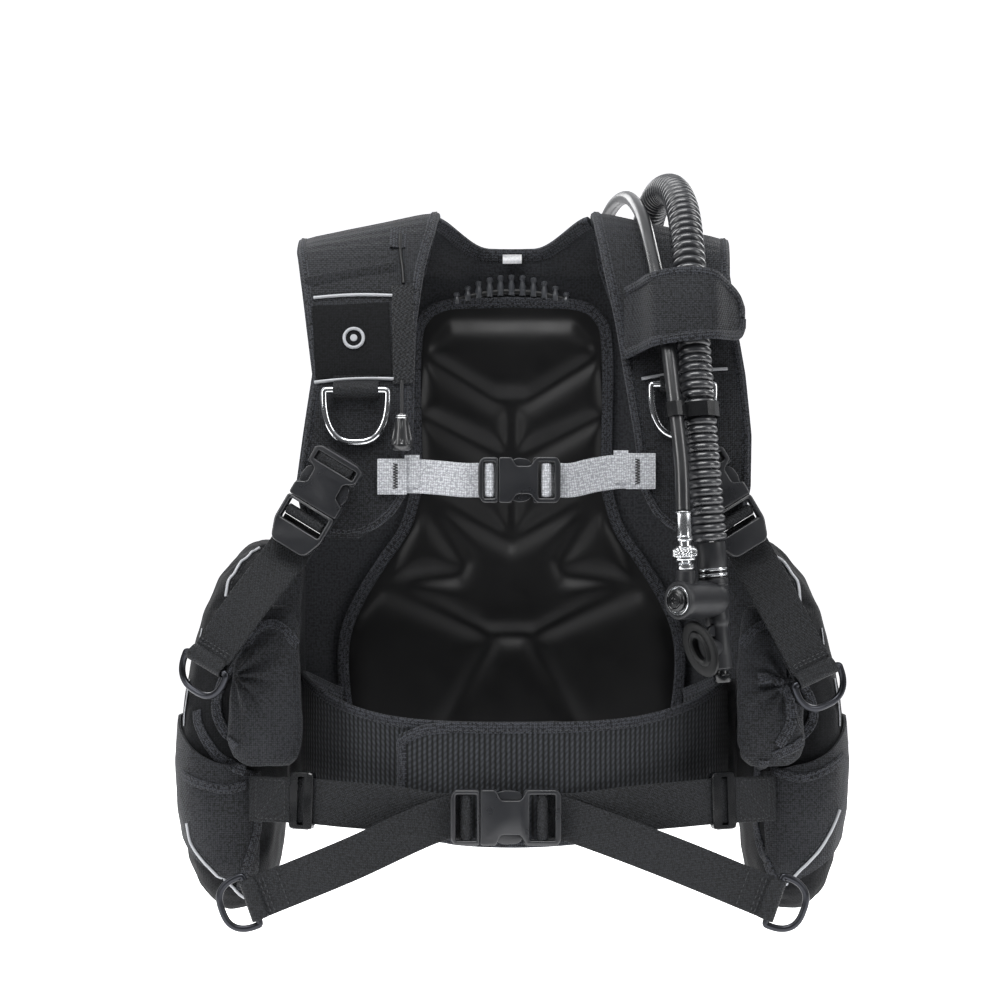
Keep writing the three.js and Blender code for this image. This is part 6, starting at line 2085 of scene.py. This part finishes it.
    def tape(self, name: str, rows: Sequence[tuple[float, float]], skin: Skin, width: float = 9.5, lift: float = 0.9) -> None:
        """Sews a binding tape along a line that is given as it is seen from the front."""
        s = self.side.value
        line = smooth_line([(s * x, 0, z) for x, z in rows], 70)
        line = np.array([skin.front(p[0], p[2], lift) for p in line])
        line[1:-1] = (line[:-2] + 2 * line[1:-1] + line[2:]) / 4
        t = tangents(line)
        out = np.array([skin.normal(p) for p in line])
        out[1:-1] = (out[:-2] + out[1:-1] + out[2:]) / 3
        across = np.cross(t, out)
        ribbon(f"{name}_{self.side.tag}", line, across, width, 1.9, BINDING, crown=0.5)
        edges = [line + across * w + out * 1.3 for w in (width / 2 - 1.6, 1.6 - width / 2)]
        sewn(f"{name}_stitches_{self.side.tag}", edges)

    def trim(self, skin: Skin) -> None:
        """Sews the tapes and the piping on the lobe and pocket, and the reflective dashes beside them."""
        tag, s = self.side.tag, self.side.value
        self.tape("pocket_mouth_tape", self.mouth, skin)
        self.tape("pocket_seam_tape", self.seam, skin, 8.0, 0.6)
        self.tape("pocket_edge_tape", self.inner_edge, skin, 9.0, 0.6)
        self.tape("flap_edge_tape", self.flap_edge, skin)
        for k, rows in enumerate((self.upper_piping, self.lower_piping)):
            line = smooth_line([skin.front(s * x, z, 0.6) for x, z in rows], 80)
            line = skin.laid(line, 0.9)
            tube(f"lobe_piping_{tag}_{k}", line, 1.35, REFLECTIVE, sides=10)
            sewn(f"lobe_stitches_{tag}_{k}", [skin.laid(line + (-s * 3.4, -2.5, 1), 0.3)])
        for k, (a, b) in enumerate(self.dashes):
            ends = [np.array((s * p[0], 0, p[1])) for p in (a, b)]
            line = [skin.near(((ends[0] * (1 - t) + ends[1] * t)[0] + s * 5, -76, (ends[0] * (1 - t) + ends[1] * t)[2]), 0.8)
                    for t in np.linspace(0, 1, 14)]
            ribbon(f"reflective_dash_{tag}_{k}", np.array(line), (0, 1, 0), 4.2, 1.0, REFLECTIVE)

    def pouch(self) -> bpy.types.Object:
        """Makes the soft weight pouch, gathered towards its upper outer corner."""
        tag, s = self.side.tag, self.side.value
        low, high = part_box(f"weight_pouch_{tag}")
        rear = high[1] / MM
        levels = np.linspace(self.pouch_rows[0][0], self.pouch_rows[-1][0], 60)
        rings = []
        for z in levels:
            x, half, deep = (between(self.pouch_rows, z, k) for k in (1, 2, 3))
            ring = []
            for a in np.linspace(0, 2 * math.pi, 60, endpoint=False):
                n, c = math.sin(a), math.cos(a)
                flat = lambda value: math.copysign(abs(value) ** 0.72, value)
                ring.append((s * (x + self.pouch_shift + (half + (3 + self.pouch_spread * max(n, 0)) * min(1, half / 20)) * flat(n)), rear - deep * (1 + flat(c)) + 0.8 * (1 + c), z))
            rings.append(ring)
        points, faces = lofted(np.array(rings))
        made = piece(f"pouch_cloth_{tag}", points, faces, CORDURA, [f"weight_pouch_{tag}"])
        swollen(made, 3.6, 1.8, slack=0.03)
        corner = Vector((s * self.gather_at[0], 0, self.gather_at[1]))

        def gathers(at: Vector, normal: Vector) -> float:
            """Folds that fan out from the pouch's upper outer corner, deepest near it."""
            dx, dz = at.x - corner.x, at.z - corner.z
            far = math.hypot(dx, dz)
            turn = math.atan2(dz, -s * dx)
            fan = math.sin(turn * 10 + 1.6 * rumple(at, 22)) * math.exp(-(((far - 16) / 24) ** 2))
            return 2.3 * fan * (0.4 + 0.6 * max(0, -normal.y)) + 1.2 * rumple(at, 17, (1, 1, 1.7)) - 0.9

        creased(made, gathers)
        return made

    def pouch_trim(self, pouch: bpy.types.Object) -> None:
        """Binds the pouch's mouth and sews its side seam."""
        tag, s = self.side.tag, self.side.value
        skin = Skin(pouch)
        x0 = 212 + self.pouch_shift
        mouth = smooth_line([(x0 - 25, 0, -380), (x0 - 15, 0, -368), (x0 - 4, 0, -362), (x0 + 9, 0, -366), (x0 + 20, 0, -380)], 50)
        line = np.array([skin.front(s * x, z, 0.9) for x, _, z in mouth])
        inward = np.array([unit((s * (x0 - x) * 0.6, 0, -430 - z)) for x, _, z in mouth])
        ribbon(f"pouch_mouth_tape_{tag}", line, inward, 9.0, 1.9, BINDING, crown=0.5)
        sewn(f"pouch_mouth_stitches_{tag}", [line + inward * 3.0 - (0, 1.3, 0)])
        for k, edge in enumerate((-22, 22)):
            seam = smooth_line([(x0 + edge * 0.86, 0, -392), (x0 + edge, 0, -425), (x0 + edge, 0, -460), (x0 + edge * 0.8, 0, -477)], 40)
            rows = np.array([skin.front(s * x, z, 0.25) for x, _, z in seam])
            sewn(f"pouch_seam_{tag}_{k}", [rows], DARK_THREAD)


# ------------------------------------------------------------------------------------------ cummerbund
@dataclass
class Cummerbund:
    """The ribbed elastic band in two halves; the left one laps over the right in front."""

    half_x: float = 188.0
    centre_y: float = -20.0
    depth: float = 110.0
    top: float = -447.0
    lift: float = 38.0
    bottom: float = -556.0
    rise: float = 30.0
    thick: float = 4.0
    lap: float = 5.3
    tip: float = 14.0
    reach: dict[Side, tuple[float, float]] = field(default_factory=lambda: {Side.RIGHT: (-123, 18), Side.LEFT: (124, -30.5)})

    def place(self, side: Side, turn: float, v: float, out: float) -> np.ndarray:
        """A point of a half: turn in degrees from the front, v from the bottom to the top, out of its inner face."""
        start, end = self.reach[side]
        left = side is Side.LEFT
        u = (turn - end) / (start - end)
        tip = max(0.0, 1 - 9 * u) if left else 0.0
        a = math.radians(turn)
        top = self.top + self.lift * math.sin(a) ** 4 - self.tip * tip**2
        bottom = self.bottom + self.rise * math.sin(a) ** 2 + self.tip * tip**2
        far = (self.lap if left else 0.0) + out
        return np.array((
            (self.half_x + far) * math.sin(a), self.centre_y - (self.depth + far) * math.cos(a), bottom + (top - bottom) * v,
        ))

    def half(self, side: Side) -> None:
        """Makes one half as a sheet of elastic, bound along its edges."""
        tag = side.tag
        start, end = self.reach[side]
        turns = np.linspace(start, end, 170)
        middle = np.array([self.place(side, t, 0.5, 2.0) for t in turns])
        along = np.concatenate([[0], np.cumsum(np.linalg.norm(np.diff(middle, axis=0), axis=1))])
        levels = np.linspace(0, 1, 34)
        sections, flat = [], []
        for t, far in zip(turns, along):
            tall = np.linalg.norm(self.place(side, t, 1, 0) - self.place(side, t, 0, 0))
            for out in (1, -1):
                for v in levels if out > 0 else levels[::-1]:
                    edge = min(v, 1 - v) * tall
                    wave = 0.7 * rumple((far, 0, v * tall), 46, (1.8, 1, 0.8)) + 0.35 * math.sin(v * 19 + far / 60)
                    half = 1.7 * min(1, 0.35 + edge / 4)
                    sections.append(self.place(side, t, v, 2.0 + half * out + wave * 0.5))
                    flat.append((far, v * tall))
        rings = np.array(sections).reshape(len(turns), -1, 3)
        points, faces = lofted(rings)
        flat += [flat[0], flat[-1]]
        made = piece(f"elastic_band_{tag}", points, faces, RIBBED, [f"cummerbund_{tag}"], lengths=np.array(flat))
        tall = float(np.linalg.norm(self.place(side, 0 if side is Side.RIGHT else -20, 1, 0) - self.place(side, 0 if side is Side.RIGHT else -20, 0, 0)))
        self.binding(side, turns)

    def binding(self, side: Side, turns: np.ndarray) -> None:
        """Binds the top, the bottom and the front end in one tape."""
        tag = side.tag
        end = turns[-1]
        inset = 0.045
        top = [self.place(side, t, 1 - inset, 2.0) for t in turns[::2]]
        low = [self.place(side, t, inset, 2.0) for t in turns[::-2]]
        tip = [self.place(side, end + (0.8 if side is Side.LEFT else -0.8), v, 2.0) for v in np.linspace(0.9, 0.1, 16)]
        line = smooth_line([*top[:-2:3], *tip[::3], *low[2::3]], 340)
        centre = np.array([self.place(side, math.degrees(math.atan2(p[0] / self.half_x, (self.centre_y - p[1]) / self.depth)), 0.5, 2.0) for p in line])
        t = tangents(line)
        radial = unit_rows((line - (0, self.centre_y, 0)) * (1, 1, 0))
        across = np.cross(t, radial)
        tape = ribbon(f"band_tape_{tag}", line, across, 10.5, self.thick + 0.9, BINDING, crown=0.5, fine=7)
        seat = Skin(tape)
        row = np.array([seat.near(p + r * 8 + a * 3.2 * np.sign(a @ (c - p) + 1e-6), 0.2) for p, r, a, c in zip(line, radial, across, centre)])
        sewn(f"band_tape_stitches_{tag}", [row])

    def build(self) -> None:
        """Makes both halves."""
        self.half(Side.RIGHT)
        self.half(Side.LEFT)


# ------------------------------------------------------------------------------------------ hose flap
@dataclass
class HoseFlap:
    """The bound flap that holds both hoses against the wearer's left strap."""

    rows: tuple[tuple[float, ...], ...] = (  # share along, x, rise off the strap, top, bottom
        (0, 99, 0, -66, -128), (0.16, 111, 17, -60, -123), (0.32, 124, 48, -54, -118), (0.52, 150, 54, -50, -114),
        (0.68, 174, 53, -52, -112), (0.84, 190, 30, -62, -112), (0.94, 200, 15, -72, -110), (1, 204, 10, -82, -102),
    )

    def place(self, u: float, v: float, front: Callable[[float], float], out: float) -> np.ndarray:
        """A point of the flap: u along it, v from its lower edge to its upper, out of its middle."""
        x, rise, top, bottom = (float(np.interp(u, self.knots, column)) for column in self.columns)
        z = bottom + (top - bottom) * v
        return np.array((x, front(z) - 0.4 - rise - out, z))

    def build(self, strap: ShoulderStrap) -> None:
        """Makes the flap as a sheet, its binding and its stitches.

        Args:
            strap: the strap that it is sewn to.
        """
        smooth = smooth_line([r[1:] for r in self.rows], 240)
        self.knots = np.linspace(0, 1, 240)
        self.columns = [smooth[:, k] for k in range(4)]
        levels = np.linspace(-140, -40, 60)
        y = [strap.place(strap.share_at(z), 0.5, 4.0)[1] for z in levels]
        front = lambda z: float(np.interp(z, levels, y))
        self.columns[1] = np.maximum(self.columns[1], 0)
        u = np.linspace(0, 1, 110)
        v = np.linspace(0, 1, 30)
        sections, flat = [], []
        middle = np.array([self.place(k, 0.5, front, 1.2) for k in u])
        along = np.concatenate([[0], np.cumsum(np.linalg.norm(np.diff(middle, axis=0), axis=1))])
        for a, far in zip(u, along):
            for face in (1, -1):
                for b in v if face > 0 else v[::-1]:
                    dent = 1.3 * rumple((far, b * 60, 0), 30) * math.sin(math.pi * b) + 0.7 * math.sin(far / 9) * b * (1 - b) * 4 * 0.4
                    sections.append(self.place(a, b, front, 1.25 + 1.15 * face + dent))
                    flat.append((far, b * 60))
        rings = np.array(sections).reshape(len(u), -1, 3)
        points, faces = lofted(rings)
        flat += [flat[0], flat[-1]]
        made = piece("hose_flap_cloth", points, faces, CORDURA, ["hose_flap"], lengths=np.array(flat))
        self.trim(front, Skin(made))

    def trim(self, front: Callable[[float], float], skin: Skin) -> None:
        """Binds the edge of the flap and sews two rows beside it."""
        u = np.linspace(0.02, 1, 80)
        route = [(a, 0.0) for a in u] + [(1.0, b) for b in np.linspace(0.1, 0.9, 8)] + [(a, 1.0) for a in u[::-1]]
        line = np.array([self.place(a, b, front, 1.3) for a, b in route])
        inner = np.array([self.place(min(a, 0.97), 0.5, front, 1.3) for a, b in route])
        line, inner = respaced(line, 260), respaced(inner, 260)
        inward = unit_rows(inner - line)
        tape = ribbon("flap_tape", line + inward * 3.2, inward, 9.0, 4.2, BINDING, crown=0.4, fine=7)
        seat = Skin(tape)
        rows = [np.array([seat.near(p + inward[k] * 6.6 + (0, -6, 0), 0.2) for k, p in enumerate(line)])]
        sewn("flap_tape_stitches", rows)
        seam = [skin.front(102 + 0.3 * k, -124 + 2.8 * k, 0.25) for k in range(20)]
        sewn("flap_seam", [np.array(seam), np.array(seam) + (4, 0, 0)], DARK_THREAD)


# ------------------------------------------------------------------------------------------ back of the vest
@dataclass
class AirCell:
    """The air cell behind the harness, with its welded rim and its two dump valves."""

    rows: tuple[tuple[float, float], ...] = (
        (-48, 92), (-62, 130), (-90, 158), (-150, 166), (-220, 166), (-285, 176), (-330, 194), (-400, 206), (-480, 206), (-520, 190),
        (-556, 160), (-574, 110),
    )
    face: float = 6.6
    edge: float = 10.0
    deep: float = 34.0
    valves: tuple[tuple[str, float, float], ...] = (("shoulder_dump_valve", -128, -100), ("rear_dump_valve", -128, -520))

    def rear(self, x: float, z: float) -> float:
        """How far back the cell reaches."""
        near = max(0.0, 1 - abs(x / between(self.rows, z)) ** 4)
        end = max(0.0, min(1.0, (z + 574) / 40, (-48 - z) / 30))
        return back_y(x) + self.face + self.edge + (self.deep - self.edge) * math.sqrt(near) * end**0.6

    def build(self) -> None:
        """Makes the cell and its valves."""
        levels = np.linspace(self.rows[0][0], self.rows[-1][0], 90)
        u = np.linspace(-0.99, 0.99, 70)
        front = [[(between(self.rows, z) * a, back_y(between(self.rows, z) * a) + self.face + 1, z) for a in u] for z in levels]
        rear = [[(between(self.rows, z) * a, self.rear(between(self.rows, z) * a, z) - 1.5, z) for a in u[::-1]] for z in levels]
        rings = np.concatenate([np.array(front), np.array(rear)], axis=1)
        points, faces = lofted(rings)
        cell = piece("air_cell_cloth", points, faces, OXFORD, ["air_cell"])
        swollen(cell, 6.0, 2.0, slack=0.02)

        def folds(at: Vector, normal: Vector) -> float:
            """Soft folds over the back, kept off the plate, the band and the valves."""
            near_valve = min(math.hypot(at.x - x, at.z - z) for _, x, z in self.valves)
            near_elbow = math.hypot(at.x - 128, at.z + 96)
            clear = min(1.0, max(0.0, (min(near_valve - 4, near_elbow - 8) - 24) / 20))
            clear *= 0.15 if abs(at.x) < 92 and -440 < at.z < -105 else 1.0
            back = 1.0 if normal.y > 0.2 else 0.2
            return clear * back * (1.6 * rumple(at, 46, (1, 1, 2)) + 0.8 * rumple(at, 18, (1, 1, 1.6)) - 0.9)

        creased(cell, folds)
        skin = Skin(cell)
        rim = []
        for z in np.linspace(-66, -560, 60):
            half = between(self.rows, z) * 0.93
            rim.append((half, z))
        outline = [*rim, *[(-x, z) for x, z in rim[::-1]]]
        line = smooth_line([(x, 0, z) for x, z in outline[::4]], 300)
        weld = np.array([skin.tree.ray_cast(Vector((x, 400, z)), Vector((0, -1, 0)))[0] or (x, self.rear(x, z), z) for x, _, z in line])
        tube("cell_weld", weld + (0, 0.4, 0), 1.3, OXFORD, sides=8)
        for name, x, z in self.valves:
            self.valve(name, x, z)

    def valve(self, name: str, x: float, z: float) -> None:
        """Makes a dump valve: a screwed ring with a domed top, and a centre cap."""
        low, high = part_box(name)
        base = (x, low[1] / MM, z)
        teeth = lambda a, h: 1 - 0.025 * (math.cos(18 * a) > 0.3) * (1 < h < 5)
        slots = lambda a, h: 1.0
        turned(
            f"{name}_ring",
            [(0, 0), (24.4, 0), (25, 0.6), (25, 4.6), (24.2, 5.4), (22.4, 6), (21.6, 8.4), (20.4, 10.6), (17, 12.4), (13.5, 13.2), (13.2, 12.4), (0, 12.4)],
            base, (0, 1, 0), ABS, [name], sides=108, flutes=teeth,
        )
        turned(f"{name}_cap", [(0, 12.2), (11.6, 12.2), (12, 12.8), (11.4, 13.6), (6, 13.9), (0, 14)], base, (0, 1, 0), NYLON_66)


@dataclass
class TankMount:
    """The moulded backplate, the tank band with its cam, and the carry handle."""

    plate: tuple[float, float, float] = (84.0, -120.0, -430.0)  # half width, top, bottom
    band_radius: float = 94.0
    tank_y: float = 236.75
    band_width: float = 50.0
    start: tuple[float, float] = (72.0, 128.6)
    level: float = -330.0

    def build(self) -> None:
        """Makes the mount's pieces."""
        bevelled("tank_backplate", NYLON_66, 1.4, 3)
        low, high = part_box("tank_backplate")
        for k, z in enumerate((-150, -190, -400)):
            for s in (-1, 1):
                turned(
                    f"plate_screw_{k}_{'left' if s > 0 else 'right'}",
                    [(0, -1), (6.6, -1), (6.8, 0.2), (6.4, 1.6), (4.8, 2.6), (3.2, 2.9), (3.0, 1.4), (0, 1.4)],
                    (s * 68, self.plate_rear(), z), (0, 1, 0), STEEL,
                )
        self.band()
        bevelled("cam_frame", ABS, 0.8)
        bevelled("cam_lever", ABS, 0.9)
        self.handle()

    def plate_rear(self) -> float:
        """Where the plate's rear face lies beside its rails."""
        return 127.1 + 5.0

    def band(self) -> None:
        """Makes the webbing band round the tank, with rows of stitches and a rubber grip strip."""
        low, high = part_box("tank_band")
        rear = high[1] / MM
        angle = math.atan2(self.start[0], self.tank_y - self.start[1])
        turns = np.linspace(angle, 2 * math.pi - angle, 150)
        radius = (rear - self.tank_y) - 1.2
        line = [(radius * math.sin(a), self.tank_y - radius * math.cos(a), self.level) for a in turns]
        foot = [(-radius * math.sin(angle), self.tank_y - radius * math.cos(angle), self.level)]
        made = ribbon("tank_band_webbing", np.array(line), (0, 0, 1), self.band_width - 2, 2.0, WEBBING, ["tank_band"], fine=14)
        inner = [(p[0] * 0.972, self.tank_y + (p[1] - self.tank_y) * 0.972, p[2]) for p in line[12:-12]]
        ribbon("band_grip_strip", np.array(inner), (0, 0, 1), 30, 1.4, SILICONE)
        skin = Skin(made)
        for k, share in enumerate((0.16, 0.2, 0.8, 0.84)):
            a = turns[int(share * 149)]
            way = np.array((math.sin(a), -math.cos(a), 0))
            at = np.array((0, self.tank_y, self.level)) + way * (radius + 1.3)
            sewn(f"band_stitches_{k}", [np.array([at + (0, 0, z) for z in np.linspace(-20, 20, 12)])])

    def handle(self) -> None:
        """Makes the carry handle with its padded grip."""
        half, foot_y, foot_z = 45, 127.3, -142
        line = smooth_line([(-half, foot_y, foot_z), (-36, 146, -137), (-18, 160, -131), (0, 163.1, -130), (18, 160, -131), (36, 146, -137),
                            (half, foot_y, foot_z)], 80)
        ribbon("carry_handle_webbing", line, (0, -0.15, 1), 27, 2.0, WEBBING, ["carry_handle"])
        grip = line[22:58]
        ribbon("carry_handle_grip", grip, (0, -0.15, 1), 24, 7, CORDURA, crown=2.0, fine=10)


def main() -> None:
    """Builds the whole scene in order."""
    logging.basicConfig(level=logging.INFO, format="%(message)s")
    Studio().build()
    Inflator().build()
    BackPad().build()
    BackPanel().build()
    right = ShoulderStrap(
        Side.RIGHT,
        edges=((0, 100, 178), (0.1, 81, 186), (0.2, 70, 193), (0.27, 67, 195), (0.36, 71, 194), (0.46, 80, 189), (0.58, 86.5, 182),
               (0.68, 88, 176), (0.8, 89, 184), (0.9, 92, 190), (0.96, 108, 184), (1, 136, 160)),
        ring_at=(-138, -156),
        piping=(((-177, -73), (-105, -71)), ((-175, -149), (-105, -146))),
    )
    body = right.build()
    RightStrapTrim().build(right, body)
    left = ShoulderStrap(
        Side.LEFT,
        edges=((0, 100, 178), (0.1, 83, 188), (0.2, 75, 197), (0.27, 73.5, 198), (0.36, 77, 196), (0.46, 83, 194), (0.58, 93, 198),
               (0.68, 100, 205), (0.8, 109, 210), (0.9, 114, 209), (0.96, 128, 203), (1, 154, 178)),
        ring_at=(150, -151),
        piping=(((114, -146), (190, -137)),),
    )
    left_body = left.build()
    set_ring("chest_hook_ring_right", "chest_ring_right", (50, 46), (-138, -113.45, -156), (1, 0, 0), (0, 0, -1), STEEL)
    set_ring("chest_hook_ring_left", "chest_ring_left", (50, 46), (150, -113.13, -151), (1, 0, 0), (0, 0, -1), STEEL)
    SideLobe(Side.RIGHT).build()
    SideLobe(
        Side.LEFT, pouch_shift=14.0, pouch_spread=-1.0,
        upper_piping=((230, -302), (243, -308), (251, -320), (256, -344)),
        lower_piping=((290, -528), (285, -540), (272, -562), (255, -580), (240, -597)),
        mouth=((243, -396), (254, -412), (264, -430), (266, -446), (253, -464), (228, -477)),
        seam=((295, -481), (275, -492), (254, -498), (230, -492)),
        inner_edge=((220, -480), (218, -510), (218, -545), (226, -575), (236, -598)),
        flap_edge=((214, -409), (229, -409), (241, -427), (243, -446), (232, -468)),
        gather_at=(240, -412),
    ).build()
    Cummerbund().build()
    waist = Buckle("waist_buckle", "", seat_at((-28, -151.4, -528), (1, 0, 0), (0, -1, 0)), 38, 11, 44, 26)
    chest = Buckle("chest_buckle", "", seat_at((-12, -126, -235.5), (1, 0, 0), (0, -1, 0)), 30, 11, 36, 18)
    waist.build()
    chest.build()
    WaistBelt(waist).build()
    ChestBelt(chest).build()
    ShoulderRelease(Side.RIGHT, (-175, -125, -258), (-266, -146, -394)).build(Skin(body))
    ShoulderRelease(Side.LEFT, (187, -125, -259), (264, -146, -405)).build(Skin(left_body))
    HoseFlap().build(left)
    AirCell().build()
    TankMount().build()
    for side in Side:
        bevelled(f"strap_slide_{side.tag}", ABS, 0.9)


if __name__ == "__main__":
    main()
